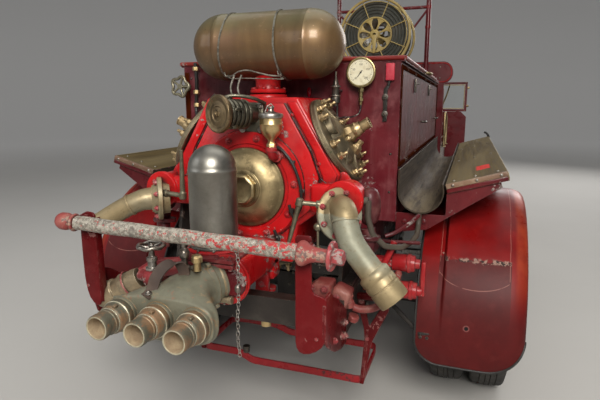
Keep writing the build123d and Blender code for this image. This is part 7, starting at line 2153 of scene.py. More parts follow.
# ---- frame rivets, spring clips and shackles, axle cover
p = Piece("frame_rivets")
for sd in (-1, 1):
    for k in range(33):
        s = -0.60 + 0.164 * k
        if 1.05 < s < 3.85 and k % 2:
            continue
        for z in (0.648, 0.752):
            p.rivet(P(sd * 0.4502, s, z), (sd, 0, 0), 0.0085)
    for s in (-0.56, 0.06, 0.56, 1.20, 2.00, 2.80):
        for z in (0.680, 0.720):
            p.hexbolt(P(sd * 0.4502, s + 0.035, z), (sd, 0, 0), r=0.0095, h=0.007)
p.done(BLACK, "chassis", "black_paint", angle=40)

p = Piece("spring_clips")
for s0, halves, t, zc in ((RSTA, (0.600, 0.500, 0.400, 0.300, 0.190), 0.011, 0.505), (FSTA, (0.520, 0.420, 0.320, 0.210), 0.010, 0.470)):
    n = len(halves)
    for sd in (-1, 1):
        p.mi = 0
        for ds in (-0.045, 0.045):
            zt_ = zc + n * t + 0.012
            line = [P(sd * 0.3655, s0 + ds, zc - 0.030), P(sd * 0.3655, s0 + ds, zt_ - 0.005), P(sd * 0.372, s0 + ds, zt_ + 0.006), P(sd * 0.413, s0 + ds, zt_ + 0.009), P(sd * 0.454, s0 + ds, zt_ + 0.006),
                    P(sd * 0.4605, s0 + ds, zt_ - 0.005), P(sd * 0.4605, s0 + ds, zc - 0.030)]
            p.tube(line, 0.0075, seg=12)
            for x in (0.3655, 0.4605):
                p.hexbolt(P(sd * x, s0 + ds, zc - 0.012), (0, 0, -1), r=0.0135, h=0.012)
        p.mi = 1
        rise = lambda u: (0.590 - (zc + n * t)) * (u / halves[0]) ** 2
        for u in (-halves[2] * 0.92, halves[2] * 0.92):
            z_ = zc + rise(u) + n * t * 0.5 + 0.006
            p.box(P(sd * 0.413, s0 + u, z_), (0.080, 0.022, 0.040), bev=0.003)
        for e in (-halves[0], halves[0]):
            p.mi = 0
            for side in (0.374, 0.452):
                q = P(sd * side, s0 + e, 0.590 + t * 0.5)
                p.hexbolt(q, (sd if side > 0.4 else -sd, 0, 0), r=0.014, h=0.010, washer=0.017)
p.done([DARKSTEEL, BLACK], "chassis", "steel", angle=40)

p = Piece("axle_cover_bolts")
for k in range(10):
    a = radians(36 * k)
    p.hexbolt(P(0.128 * cos(a), RSTA - 0.0945, 0.440 + 0.128 * sin(a)), (0, -1, 0), r=0.0105, h=0.008)
p.lathe([(0, 0.0), (0, 0.060), (0.010, 0.056), (0.020, 0.040), (0.024, 0.0)], P(0, RSTA - 0.094, 0.440), (0, -1, 0), seg=36)
for sd in (-1, 1):
    for k in range(8):
        a = radians(45 * k + 20)
        p.hexbolt(P(sd * 0.6415, RSTA + 0.130 * cos(a), 0.440 + 0.130 * sin(a)), (-sd, 0, 0), r=0.009, h=0.007)
p.done(DARKSTEEL, "chassis", "cast_iron", angle=40)

# engine: cylinder blocks, manifold, ribs on the crankcase, seen from below and through the wheel arches
p = Piece("engine_fittings")
for k in range(4):
    p.mi = 0
    p.lathe([(0, 0.0), (0, 0.055), (0.006, 0.058), (0.030, 0.058), (0.034, 0.052), (0.036, 0.020), (0.058, 0.018), (0.060, 0.0)], P(-0.06, 3.940 + 0.170 * k, 1.290), (0, 0, 1), seg=26)
    p.mi = 1
    p.tube(curve_pts([P(-0.235, 3.940 + 0.170 * k, 1.120), P(-0.275, 3.935 + 0.170 * k, 1.120), P(-0.300, 3.915 + 0.165 * k, 1.095)], 4), 0.024, seg=14)
p.mi = 1
p.tube([P(-0.302, 3.850, 1.085), P(-0.302, 4.480, 1.085)], 0.032, seg=18)
p.tube(curve_pts([P(-0.302, 3.860, 1.085), P(-0.302, 3.820, 1.040), P(-0.290, 3.830, 0.880), P(-0.266, 3.890, 0.720)], 5), 0.030, seg=16)
p.mi = 2
for k in range(6):
    for sd in (-1, 1):
        p.box(P(sd * 0.2385, 3.900 + 0.125 * k, 0.770), (0.010, 0.014, 0.240), bev=0.003)
        p.hexbolt(P(sd * 0.2345, 3.850 + 0.135 * k, 0.640), (sd, 0, 0), r=0.010, h=0.008)
p.box(P(0.275, 4.060, 1.020), (0.085, 0.140, 0.130), bev=0.012, seg=3)
p.tube(curve_pts([P(0.275, 4.000, 1.090), P(0.275, 3.990, 1.150), P(0.250, 4.020, 1.200), P(0.200, 4.100, 1.235)], 5), 0.010, seg=12)
p.lathe([(0, 0), (0, 0.055), (0.010, 0.060), (0.200, 0.060), (0.210, 0.055), (0.210, 0)], P(0.300, 4.250, 0.860), (0, 1, 0), seg=30)
p.done([IRON, EXHAUST, ALLOY_TAN], "chassis", "cast_iron", angle=40)


# ================================================================ cab
def cushion(name, lo, hi, nx, ny, bulge, axis_up, channels, cap=0.024, pressure=4.0, wedge=0.0):
    """padded hide cushion: closed box mesh blown up with cloth, then sewn channels pressed in"""
    lo, hi = Vector(lo), Vector(hi)
    c, h = (lo + hi) / 2, (hi - lo) / 2
    shrink = Vector((0.020, 0.020, 0.020))
    h = h - shrink
    bm = bmesh.new()
    bmesh.ops.create_cube(bm, size=2.0)
    for v in bm.verts:
        v.co = Vector((v.co.x * h.x, v.co.y * h.y, v.co.z * h.z))
    bmesh.ops.bevel(bm, geom=bm.edges[:], offset=min(h) * 0.35, segments=3, profile=0.6, affect="EDGES")
    if wedge:
        for v in bm.verts:
            if v.co.y > 0:
                v.co.y -= wedge * (v.co.z + h.z) / (2 * h.z)
    me = bpy.data.meshes.new(name)
    bm.to_mesh(me)
    bm.free()
    o = bpy.data.objects.new(name, me)
    bpy.context.scene.collection.objects.link(o)
    o.location = (0, 0, 0)
    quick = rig.quick()
    rm = o.modifiers.new("remesh", "REMESH")
    rm.mode, rm.voxel_size = "VOXEL", 0.012 if quick else 0.0085
    bpy.context.view_layer.update()
    dg = bpy.context.evaluated_depsgraph_get()
    base = bpy.data.meshes.new_from_object(o.evaluated_get(dg))
    o.modifiers.clear()
    o.data = base
    rest = np.empty(len(base.vertices) * 3)
    base.vertices.foreach_get("co", rest)
    rest = rest.reshape(-1, 3)
    if not quick:
        cl = o.modifiers.new("cloth", "CLOTH")
        st = cl.settings
        st.quality = 6
        st.use_pressure = True
        st.uniform_pressure_force = pressure
        st.effector_weights.gravity = 0.0
        st.tension_stiffness = st.compression_stiffness = 18.0
        st.bending_stiffness = 0.8
        cl.collision_settings.use_collision = False
        sc = bpy.context.scene
        f0 = sc.frame_current
        for f in range(1, 21):
            sc.frame_set(f)
        dg = bpy.context.evaluated_depsgraph_get()
        sim = bpy.data.meshes.new_from_object(o.evaluated_get(dg))
        new = np.empty(len(sim.vertices) * 3)
        sim.vertices.foreach_get("co", new)
        new = new.reshape(-1, 3)
        o.modifiers.clear()
        sc.frame_set(f0)
        if new.shape == rest.shape:
            d = new - rest
            ln = np.linalg.norm(d, axis=1)
            k = np.minimum(1.0, cap / np.maximum(ln, 1e-9))
            new = rest + d * k[:, None]
        else:
            new = rest
    else:
        nn = np.empty(len(base.vertices) * 3)
        base.vertices.foreach_get("normal", nn)
        nn = nn.reshape(-1, 3)
        q = rest / np.array(h)
        new = rest + nn * 0.014 * (1 - 0.6 * np.clip(np.max(np.abs(q), axis=1) - 0.8, 0, 0.2) / 0.2)[:, None]
    # sit flat where it rests, keep inside the space of the solid
    H = np.array((hi - lo) / 2) + np.array([0.004, 0.004, 0.010])
    ax = {"z": 2, "y": 1}[axis_up]
    new = np.clip(new, -H, H)
    low = new[:, ax] < -(np.array((hi - lo) / 2)[ax] - 0.002)
    new[low, ax] = -(np.array((hi - lo) / 2)[ax] - 0.002)
    # sewn channels: grooves across the top face
    u = new[:, 0]
    top = np.clip((new[:, ax] / h[ax] - 0.2) / 0.6, 0, 1)
    for cx_ in channels:
        g = np.exp(-((u - cx_) / 0.011) ** 2)
        new[:, ax] -= g * 0.013 * top
    o.data.vertices.foreach_set("co", (new + np.array(c)).astype(float).ravel())
    o.data.update()
    sb = o.modifiers.new("sub", "SUBSURF")
    sb.levels = sb.render_levels = 1
    o.data.shade_smooth()
    o.data.materials.clear()
    o.data.materials.append(LEATHER)
    return o


ch = [(-0.60 + 1.2 * k / 10) for k in range(1, 10)]
seat = cushion("seat_pad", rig.box("seat_cushion")[0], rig.box("seat_cushion")[1], 1, 1, 0.01, "z", ch)
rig.ride(seat, "chassis")
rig.slot(seat, "leather")
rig.replaces(seat, "seat_cushion")
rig.padded(seat, 0.8)
back = cushion("backrest_pad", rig.box("seat_backrest")[0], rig.box("seat_backrest")[1], 1, 1, 0.01, "y", ch, cap=0.022, wedge=0.016)
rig.ride(back, "chassis")
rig.slot(back, "leather")
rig.replaces(back, "seat_backrest")
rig.padded(back, 0.8)

p = Piece("seat_piping")
sl, sh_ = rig.box("seat_cushion")
zt = (sl[2] + sh_[2]) / 2


def loop_line(x0, x1, y0, y1, z, r, n=6):
    pts = []
    for cx_, cy_, a0 in ((x1 - r, y1 - r, 0), (x0 + r, y1 - r, 90), (x0 + r, y0 + r, 180), (x1 - r, y0 + r, 270)):
        for k in range(n + 1):
            a = radians(a0 + 90 * k / n)
            pts.append(Vector((cx_ + r * cos(a), cy_ + r * sin(a), z)))
    return pts


p.tube(loop_line(sl[0] + 0.006, sh_[0] - 0.006, sl[1] + 0.006, sh_[1] - 0.004, sh_[2] - 0.030, 0.035), 0.0055, seg=8, closed=True)
p.tube(loop_line(sl[0] + 0.006, sh_[0] - 0.006, sl[1] + 0.006, sh_[1] - 0.004, sl[2] + 0.020, 0.035), 0.0050, seg=8, closed=True)
bl_, bh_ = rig.box("seat_backrest")
pts = [Vector((q.x, bl_[1] + 0.052, q.y)) for q in loop_line(bl_[0] + 0.004, bh_[0] - 0.004, bl_[2] + 0.008, bh_[2] - 0.004, 0, 0.040)]
p.tube(pts, 0.0055, seg=8, closed=True)
p.done(LEATHER, "chassis", "leather", angle=60)

# seat box: brass rails at the seat's ends
p = Piece("seat_rails")
for sd in (-1, 1):
    p.tube(curve_pts([P(sd * 0.624, 2.790, 1.120), P(sd * 0.624, 2.790, 1.400), P(sd * 0.624, 2.830, 1.455), P(sd * 0.624, 3.080, 1.420), P(sd * 0.624, 3.165, 1.360), P(sd * 0.624, 3.170, 1.120)], 6), 0.011, seg=14)
    for s in (2.790, 3.170):
        p.lathe([(0, 0), (0, 0.024), (0.005, 0.024), (0.010, 0.014), (0.010, 0)], P(sd * 0.624, s, 1.1205), (0, 0, 1), seg=20)
p.done(BRASS, "chassis", "brass", angle=50)

# red seat back panel: raised beading, bolts
p = Piece("back_panel_trim")
p.mi = 0
for y, ydir in ((2.7000, -1), (2.7450, 1)):
    out = []
    for cx_, cz_, a0 in ((0.584, 1.8415, 0), (-0.584, 1.8415, 90), (-0.584, 1.8285, 180), (0.584, 1.8285, 270)):
        out += [(cx_ + 0.082 * cos(radians(a0 + 9 * k)), cz_ + 0.082 * sin(radians(a0 + 9 * k))) for k in range(11)]
    p.tube([P(x, y + ydir * 0.0005, z) for x, z in out], 0.0055, seg=8, closed=True)
p.mi = 1
for x in (-0.56, -0.28, 0.0, 0.28, 0.56):
    p.rivet(P(x, 2.700, 1.783), (0, -1, 0), 0.007)
    p.rivet(P(x, 2.700, 1.887), (0, -1, 0), 0.007)
p.done([BONNET, STEEL], "chassis", "red_paint", angle=40)

# cab floor: pedals, levers and their quadrant
p = Piece("cab_controls")
p.mi = 0
for x in (0.255, 0.350, 0.445):
    p.tube(curve_pts([P(x, 3.560, 0.830), P(x, 3.520, 0.900), P(x, 3.480, 0.945)], 4), 0.010, seg=12)
    p.box(P(x, 3.470, 0.958), (0.070, 0.014, 0.075), bev=0.005, rot=Matrix.Rotation(radians(-35), 3, "X"))
p.mi = 1
for x, tilt, ln in ((0.565, 0.10, 0.52), (0.598, -0.06, 0.46)):
    a, b = P(x, 3.330, 0.815), P(x, 3.330 - tilt, 0.815 + ln)
    p.tube([a, (a + b) / 2, b], 0.011, seg=14, radii=[0.013, 0.011, 0.009])
    p.lathe([(-0.020 * cos(pi * k / 8), 0.020 * sin(pi * k / 8) if 0 < k < 8 else 0) for k in range(9)], b, (0, 0, 1), seg=20)
p.mi = 2
q = []
for k in range(11):
    a = radians(55 + 70 * k / 10)
    q.append(P(0.5815, 3.330 - 0.20 * cos(a) , 0.815 + 0.20 * sin(a)))
p.tube(q, 0.006, seg=8)
p.box(P(0.5815, 3.330, 0.818), (0.080, 0.300, 0.022), bev=0.005)
p.done([DARKSTEEL, STEEL, BRASS], "chassis", "steel", angle=40)

# steering wheel: rim with grips moulded in, four spokes, brass hub cap, control levers
wb0, wb1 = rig.box("steering_wheel")
SWC = P(0.350, 3.300, 1.450)
SL = radians(40)
nrm = Vector((0, -cos(SL), sin(SL)))
F = basis(SWC, nrm, (1, 0, 0))
p = Piece("steering_rim")
p.mi = 0
ring = []
rad = []
for k in range(144):
    a = 2 * pi * k / 144
    ring.append(F @ Vector((0.215 * cos(a), 0.215 * sin(a), 0)))
    rad.append(0.0132 + 0.0008 * cos(24 * a))
p.tube(ring, 0.0132, seg=14, closed=True, radii=rad)
p.mi = 1
for k in range(4):
    a = radians(90 * k + 45)
    d = Vector((cos(a), sin(a), 0))
    e = Vector((-sin(a), cos(a), 0))
    rows_ = []
    for u in np.linspace(0.030, 0.206, 9):
        wdt = 0.013 - 0.005 * sin(pi * (u - 0.03) / 0.176)
        th = 0.0042
        rows_.append([F @ (d * u + e * (wdt * cos(b)) + Vector((0, 0, th * sin(b) + 0.004 * (1 - u / 0.21)))) for b in np.linspace(0, 2 * pi, 12, endpoint=False)])
    p.sheet(rows_, closed_u=True)
p.lathe([(-0.017, 0.0), (-0.017, 0.036), (-0.010, 0.0378), (0.006, 0.036), (0.010, 0.030), (0.0150, 0.026), (0.0168, 0.018), (0.017, 0.0)], SWC, nrm, seg=40)
p.done([EBONITE, BRASS], "steering", "black_plastic", replaces=("steering_wheel",), angle=45)
p = Piece("column_fittings")
q0 = SWC - nrm * 0.050
for k, (dx, dz) in enumerate(((0.075, 0.02), (-0.075, 0.02))):
    a_ = q0
    b_ = F.to_3x3() @ Vector((dx, 0.015, 0)) + q0
    p.tube([a_, b_], 0.005, seg=10)
    p.lathe([(-0.009 * cos(pi * j / 6), 0.009 * sin(pi * j / 6) if 0 < j < 6 else 0) for j in range(7)], b_, nrm, seg=14)
p.lathe([(-0.060, 0.0245), (-0.058, 0.0275), (-0.044, 0.0275), (-0.042, 0.0245)], SWC, nrm, seg=30)
p.done(BRASS, "chassis", "brass", angle=45)

# windscreen: brass frame keeps its bars; wing nuts, stays
p = Piece("screen_fittings")
for sd in (-1, 1):
    for z in (1.52, 1.72):
        p.lathe([(0, 0), (0, 0.014), (0.010, 0.014), (0.014, 0.009), (0.026, 0.007), (0.026, 0)], P(sd * 0.8105, 3.630, z), (sd, 0, 0), seg=18)
    p.tube(curve_pts([P(sd * 0.620, 3.642, 1.772), P(sd * 0.585, 3.690, 1.640), P(sd * 0.520, 3.725, 1.470), P(sd * 0.462, 3.735, 1.300)], 5), 0.0085, seg=12)
    for x0, x1 in ((0.020, 0.780),):
        # bead round each pane
        q = [(x0, 1.492), (x1, 1.492), (x1, 1.752), (x0, 1.752)]
        for a_, b_ in zip(q, q[1:] + q[:1]):
            p.tube([P(sd * a_[0], 3.6195, a_[1]), P(sd * (a_[0] + b_[0]) / 2, 3.6195, (a_[1] + b_[1]) / 2), P(sd * b_[0], 3.6195, b_[1])], 0.0042, seg=8)
for x in (-0.79, -0.40, 0.0, 0.40, 0.79):
    for z in (1.470, 1.774):
        p.rivet(P(x, 3.6185, z), (0, -1, 0), 0.005)
p.done(BRASS, "chassis", "brass", angle=45)

# scuttle: instrument board with dials and switches, brass beading, side lamps, bell on its bracket
p = Piece("dash")
p.mi = 0
p.solid([P(x, 3.598, z) for x, z in ((-0.540, 1.250), (0.540, 1.250), (0.520, 1.320), (0.420, 1.400), (0.250, 1.436), (-0.250, 1.436), (-0.420, 1.400), (-0.520, 1.320))], (0, -0.012, 0), bev=0.004)
for x, z, r in ((-0.16, 1.345, 0.050), (0.0, 1.350, 0.062), (0.15, 1.345, 0.045)):
    p.mi = 1
    p.lathe([(0, r * 0.92), (0.004, r), (0.014, r * 1.02), (0.018, r * 0.96), (0.014, r * 0.86)], P(x, 3.587, z), (0, -1, 0), seg=40)
    p.mi = 2
    p.lathe([(0.010, r * 0.88), (0.010, 0.0)], P(x, 3.587, z), (0, -1, 0), seg=40)
    p.mi = 3
    for k in range(13):
        a = radians(225 - 270 * k / 12)
        u, v = Vector((cos(a), 0, sin(a))), Vector((-sin(a), 0, cos(a)))
        o_ = P(x, 3.5768, z)
        p.solid([o_ + u * r * 0.66 - v * 0.0006, o_ + u * r * 0.66 + v * 0.0006, o_ + u * r * 0.80 + v * 0.0006, o_ + u * r * 0.80 - v * 0.0006], (0, -0.0003, 0))
    a = radians(200 - 60 * (x > 0))
    u, v = Vector((cos(a), 0, sin(a))), Vector((-sin(a), 0, cos(a)))
    o_ = P(x, 3.5760, z)
    p.solid([o_ - v * 0.0016, o_ + v * 0.0016, o_ + u * r * 0.72], (0, -0.0005, 0))
for x in (-0.30, -0.26, 0.26):
    p.mi = 1
    p.lathe([(0, 0), (0, 0.012), (0.006, 0.012), (0.008, 0.006), (0.022, 0.005), (0.024, 0.0)], P(x, 3.586, 1.320), (0, -1, 0.25), seg=16)
p.done([OAK, BRASS, DIAL, INK], "chassis", "wood", angle=40)

p = Piece("bell")
BX, BS, BZ = -0.700, 3.745, 1.000
p.mi = 0
bellprof = [(0.000, 0.0), (0.000, 0.018), (-0.006, 0.034), (-0.018, 0.052), (-0.040, 0.064), (-0.070, 0.070), (-0.095, 0.078), (-0.115, 0.092), (-0.128, 0.104), (-0.134, 0.1065), (-0.137, 0.104), (-0.136, 0.098),
            (-0.118, 0.084), (-0.095, 0.072), (-0.070, 0.064), (-0.040, 0.058), (-0.022, 0.046), (-0.010, 0.020), (-0.008, 0.0)]
p.lathe(bellprof, P(BX, BS, BZ + 0.14), (0, 0, 1), seg=64)
p.lathe([(-0.016 * cos(pi * k / 8), 0.016 * sin(pi * k / 8) if 0 < k < 8 else 0) for k in range(9)], P(BX, BS, BZ + 0.012), (0, 0, 1), seg=20)
p.tube([P(BX, BS, BZ + 0.13), P(BX, BS, BZ + 0.02)], 0.004, seg=10)
p.mi = 1
p.tube(curve_pts([P(BX, BS, BZ + 0.140), P(BX, BS, BZ + 0.175), P(BX, BS - 0.05, BZ + 0.190), P(BX, 3.620, BZ + 0.175)], 5), 0.010, seg=14)
p.box(P(BX, 3.620, BZ + 0.165), (0.046, 0.012, 0.085), bev=0.004)
p.tube([P(BX, BS, BZ + 0.004), P(BX, BS - 0.002, BZ - 0.060)], 0.003, seg=8)
p.lathe([(-0.011 * cos(pi * k / 6), 0.011 * sin(pi * k / 6) if 0 < k < 6 else 0) for k in range(7)], P(BX, BS - 0.002, BZ - 0.066), (0, 0, 1), seg=14)
p.done([CUP, BRASS], "chassis", "brass", angle=40)

p = Piece("side_lamps")
for sd in (-1, 1):
    C = P(sd * 0.640, 3.700, 1.300)
    p.mi = 0
    p.lathe([(0.0, 0.0), (-0.002, 0.030), (0.010, 0.052), (0.040, 0.060), (0.060, 0.062), (0.066, 0.060), (0.066, 0.052)], C, (0, 1, 0), seg=40)
    p.lathe([(0, 0), (0, 0.016), (0.020, 0.022), (0.026, 0.018), (0.034, 0.012), (0.034, 0)], C + Vector((0, 0.030, 0.056)), (0, 0, 1), seg=22)
    p.mi = 1
    p.lathe([(0.062, 0.052), (0.068, 0.040), (0.071, 0.020), (0.072, 0.0)], C, (0, 1, 0), seg=36)
    p.mi = 2
    p.lathe([(0.001, 0.0), (-0.004, 0.012), (-0.006, 0.016), (-0.002, 0.020)], C, (0, 1, 0), seg=20)
    p.mi = 0
    p.tube(curve_pts([C + Vector((0, 0.030, -0.058)), C + Vector((0, 0.030, -0.090)), C + Vector((-sd * 0.05, 0.025, -0.115)), C + Vector((-sd * 0.150, 0.010, -0.115))], 5), 0.010, seg=12)
p.done([BRASS, LENS, REDLENS], "chassis", "brass", angle=40)

# bonnet lids: louvres, handles, catches, beading; each rides on its own lid
LOUV = BONNET
for sd, nm in ((-1, "left"), (1, "right")):
    p = Piece("bonnet_trim_" + nm)
    lo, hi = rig.box("bonnet_" + nm)

    def side_x(s, z):
        t = (s - 3.750) / 0.945
        xa = 0.448 + (0.358 - 0.448) * t
        xb = 0.448 + (0.356 - 0.448) * t
        return xa + (xb - xa) * (1.180 - z) / 0.380
    p.mi = 0
    for k in range(14):
        s = 3.860 + 0.052 * k
        xo = side_x(s, 1.0)
        rows_ = []
        for z in np.linspace(0.890, 1.120, 10):
            e = max(0.0, sin(pi * (z - 0.890) / 0.230)) ** 0.5
            x_ = side_x(s, z)
            rows_.append([P(sd * (x_ + 0.0008), s - 0.016, z), P(sd * (x_ + 0.006 * e), s - 0.010, z), P(sd * (x_ + 0.012 * e), s + 0.002, z), P(sd * (x_ + 0.013 * e), s + 0.010, z), P(sd * (x_ + 0.0008), s + 0.011, z)])
        p.sheet(rows_)
    p.mi = 1
    for s in (3.800, 4.640):
        x_ = side_x(s, 0.850)
        p.box(P(sd * (x_ + 0.008), s, 0.850), (0.014, 0.026, 0.060), bev=0.004)
        p.tube([P(sd * (x_ + 0.012), s, 0.872), P(sd * (x_ + 0.022), s, 0.866), P(sd * (x_ + 0.022), s, 0.838)], 0.005, seg=10)
    x_ = side_x(4.220, 1.165)
    p.tube(curve_pts([P(sd * (x_ + 0.002), 4.150, 1.165), P(sd * (x_ + 0.024), 4.155, 1.165), P(sd * (x_ + 0.028), 4.220, 1.165), P(sd * (x_ + 0.024), 4.285, 1.165), P(sd * (x_ + 0.002), 4.290, 1.165)], 5), 0.0065, seg=12)
    p.mi = 0
    for s_, in ((3.7535,), (4.6915,)):
        t = (s_ - 3.750) / 0.945
        prof = [(0.020, 1.4367), (0.232 + (0.182 - 0.232) * t, 1.4272), (0.368 + (0.292 - 0.368) * t, 1.3695), (0.438 + (0.350 - 0.438) * t, 1.2910), (0.4488 + (0.3588 - 0.4488) * t, 1.181), (0.4488 + (0.3568 - 0.4488) * t, 0.803)]
        p.tube([P(sd * x, s_, z) for x, z in prof], 0.0040, seg=8)
    p.done([LOUV, BRASS], "bonnet_lid_" + nm, "red_paint", angle=45)
p = Piece("bonnet_hinge")
p.tube([P(0, 3.755, 1.4435), P(0, 4.690, 1.4435)], 0.0038, seg=12)
p.done(BRASS, "chassis", "brass")

# ---------------------------------------------------------------- radiator: rounded brass shell, honeycomb, cap, starting handle, badge bar left bare
rb0, rb1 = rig.box("radiator")
RO = [(-0.350, 0.645), (0.350, 0.645), (0.3615, 1.180), (0.3515, 1.290), (0.300, 1.3745), (0.180, 1.4495), (-0.180, 1.4495), (-0.300, 1.3745), (-0.3515, 1.290), (-0.3615, 1.180)]


def rounded(poly, r, n=5):
    out = []
    m_ = len(poly)
    for i in range(m_):
        a, b, c_ = Vector(poly[i - 1]), Vector(poly[i]), Vector(poly[(i + 1) % m_])
        u, v = (a - b).normalized(), (c_ - b).normalized()
        rr = min(r, (a - b).length * 0.45, (c_ - b).length * 0.45)
        p0, p1 = b + u * rr, b + v * rr
        for k in range(n + 1):
            t = k / n
            out.append(((1 - t) ** 2 * p0 + 2 * t * (1 - t) * b + t * t * p1)[:])
    return out


RP = rounded(RO, 0.050)
p = Piece("radiator_shell")
p.mi = 0
cx_, cz_ = 0.0, 1.03
rows_ = []
for s, k, dz in ((4.7005, 0.970, 0), (4.7008, 0.990, 0), (4.704, 0.998, 0), (4.712, 1.0, 0), (4.812, 1.0, 0), (4.822, 0.997, 0), (4.828, 0.990, 0), (4.8298, 0.978, 0), (4.8295, 0.900, 0)):
    rows_.append([P(cx_ + (x - cx_) * k, s, cz_ + (z - cz_) * k) for x, z in RP])
p.sheet(rows_, closed_u=True)
# front face ring between the shell and the core opening
core = rounded([(-0.280, 0.695), (0.280, 0.695), (0.280, 1.315), (-0.280, 1.315)], 0.040, 5)


def resample(poly, n):
    pts = [Vector(q) for q in poly]
    L = [0.0]
    for i in range(len(pts)):
        L.append(L[-1] + (pts[(i + 1) % len(pts)] - pts[i]).length)
    out = []
    for k in range(n):
        t = L[-1] * k / n
        i = max(j for j in range(len(pts)) if L[j] <= t + 1e-12)
        f = (t - L[i]) / max(1e-9, L[i + 1] - L[i])
        out.append(pts[i].lerp(pts[(i + 1) % len(pts)], f))
    return out


def by_angle(poly, n, c_):
    """point of a closed outline in each direction"""
    out = []
    m_ = len(poly)
    for k in range(n):
        a = 2 * pi * k / n
        d = Vector((cos(a), sin(a)))
        best = None
        for i in range(m_):
            A, Bq = Vector(poly[i]) - c_, Vector(poly[(i + 1) % m_]) - c_
            e = Bq - A
            den = d.x * (-e.y) + e.x * d.y
            if abs(den) < 1e-12:
                continue
            t = (A.x * (-e.y) + e.x * A.y) / den
            u = (d.x * A.y - d.y * A.x) / den
            if t > 0 and -1e-6 <= u <= 1 + 1e-6:
                best = t if best is None else max(best, t)
        out.append(c_ + d * (best or 0.1))
    return out


CC = Vector((0.0, 1.03))
oa = by_angle([((x) * 0.900, cz_ + (z - cz_) * 0.900) for x, z in RP], 120, CC)
ca = by_angle(core, 120, CC)
rows_ = [[P(q.x, 4.8296, q.y) for q in oa], [P(q.x + (CC.x - q.x) * -0.012, 4.8290, q.y + (q.y - CC.y) * 0.012) for q in ca], [P(q.x, 4.8262, q.y) for q in ca], [P(q.x, 4.810, q.y) for q in ca]]
p.sheet(rows_, closed_u=True)
p.mi = 1
p.add([P(q.x, 4.8105, q.y) for q in ca], [tuple(range(120))])
p.mi = 0
p.add([P(x * 0.97, 4.7005, cz_ + (z - cz_) * 0.97) for x, z in RP], [tuple(range(len(RP)))])
# filler cap with lugs, overflow pipe
p.lathe([(0.0, 0.0), (0.0, 0.050), (0.006, 0.052), (0.014, 0.046), (0.020, 0.0425), (0.034, 0.0425), (0.038, 0.036), (0.0395, 0.012), (0.0400, 0.0)], P(0, 4.765, 1.4495), (0, 0, 1), seg=48)
for a in range(0, 360, 60):
    p.box(P(0.046 * cos(radians(a)), 4.765 + 0.046 * sin(radians(a)), 1.475), (0.014, 0.012, 0.018), bev=0.003, rot=Matrix.Rotation(radians(a), 3, "Z"))
p.tube(curve_pts([P(0.300, 4.835, 1.360), P(0.300, 4.845, 1.330), P(0.304, 4.842, 1.000), P(0.300, 4.842, 0.690)], 6), 0.006, seg=10)
for k in range(9):
    p.rivet(P(-0.305, 4.829, 0.72 + 0.072 * k), (0, 1, 0), 0.005)
    p.rivet(P(0.318, 4.829, 0.72 + 0.072 * k), (0, 1, 0), 0.005)
p.done([BRASS, HONEY], "chassis", "brass", replaces=("radiator",), angle=35)
p = Piece("starting_handle")
p.tube(curve_pts([P(0, 4.800, 0.600), P(0, 4.920, 0.600), P(0.004, 4.935, 0.592), P(0.010, 4.938, 0.570), P(0.010, 4.938, 0.430)], 5), 0.011, seg=14)
p.tube([P(0.010, 4.938, 0.432), P(0.010, 5.030, 0.430)], 0.015, seg=16)
p.box(P(0, 4.840, 0.620), (0.060, 0.070, 0.060), bev=0.010)
p.done(DARKSTEEL, "chassis", "steel", angle=40)

# headlamps: brass shells, ribbed lenses, reflectors, forked brackets
hl0, hl1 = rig.box("headlamps")
p = Piece("headlamp_shells")
for sd in (-1, 1):
    C = P(sd * 0.540, 4.860, 1.080)
    p.mi = 0
    p.lathe([(-0.080, 0.0), (-0.078, 0.022), (-0.066, 0.052), (-0.040, 0.084), (-0.010, 0.104), (0.030, 0.116), (0.058, 0.1185), (0.060, 0.1215), (0.066, 0.1225), (0.084, 0.1220), (0.090, 0.1190), (0.090, 0.108),
             (0.082, 0.106)], C, (0, 1, 0), seg=72)
    p.lathe([(0, 0), (0, 0.024), (0.020, 0.030), (0.026, 0.024), (0.034, 0.010), (0.036, 0)], C + Vector((0, 0.010, 0.108)), (0, 0, 1), seg=26)
    p.mi = 1
    p.lathe([(0.084, 0.107), (0.092, 0.088), (0.0985, 0.050), (0.100, 0.0)], C, (0, 1, 0), seg=64)
    p.mi = 2
    p.lathe([(0.060, 0.104), (0.030, 0.088), (0.0, 0.055), (-0.012, 0.020), (-0.014, 0.0)], C, (0, 1, 0), seg=48)
    p.mi = 0
    fork = [C + Vector((0.1265 * cos(radians(a)), 0.008, 0.1265 * sin(radians(a)))) for a in range(180, 361, 10)]
    p.tube(fork, 0.0085, seg=12)
    for k in (-1, 1):
        p.lathe([(0, 0), (0, 0.014), (0.012, 0.014), (0.016, 0.009), (0.016, 0)], C + Vector((k * 0.120, 0.008, 0.0)), (k, 0, 0), seg=16)
    p.mi = 3
    p.tube([P(sd * 0.540, 4.868, 0.885), P(sd * 0.540, 4.868, 0.955)], 0.0145, seg=18)
    p.lathe([(0, 0), (0, 0.022), (0.012, 0.022), (0.016, 0.016), (0.016, 0)], P(sd * 0.540, 4.868, 0.936), (0, 0, 1), seg=6)
    p.tube([P(sd * 0.415, 4.868, 0.740), P(sd * 0.415, 4.868, 0.880)], 0.016, seg=18)
    p.lathe([(0, 0), (0, 0.030), (0.008, 0.030), (0.012, 0.020), (0.012, 0)], P(sd * 0.415, 4.868, 0.741), (0, 0, 1), seg=24)
p.mi = 3
p.tube([P(-0.556 + 1.112 * k / 16, 4.868, 0.880) for k in range(17)], 0.0158, seg=20)
p.done([BRASS, LENS, CHROME, LINKBLACK], "chassis", "brass", replaces=("headlamps",), angle=38)


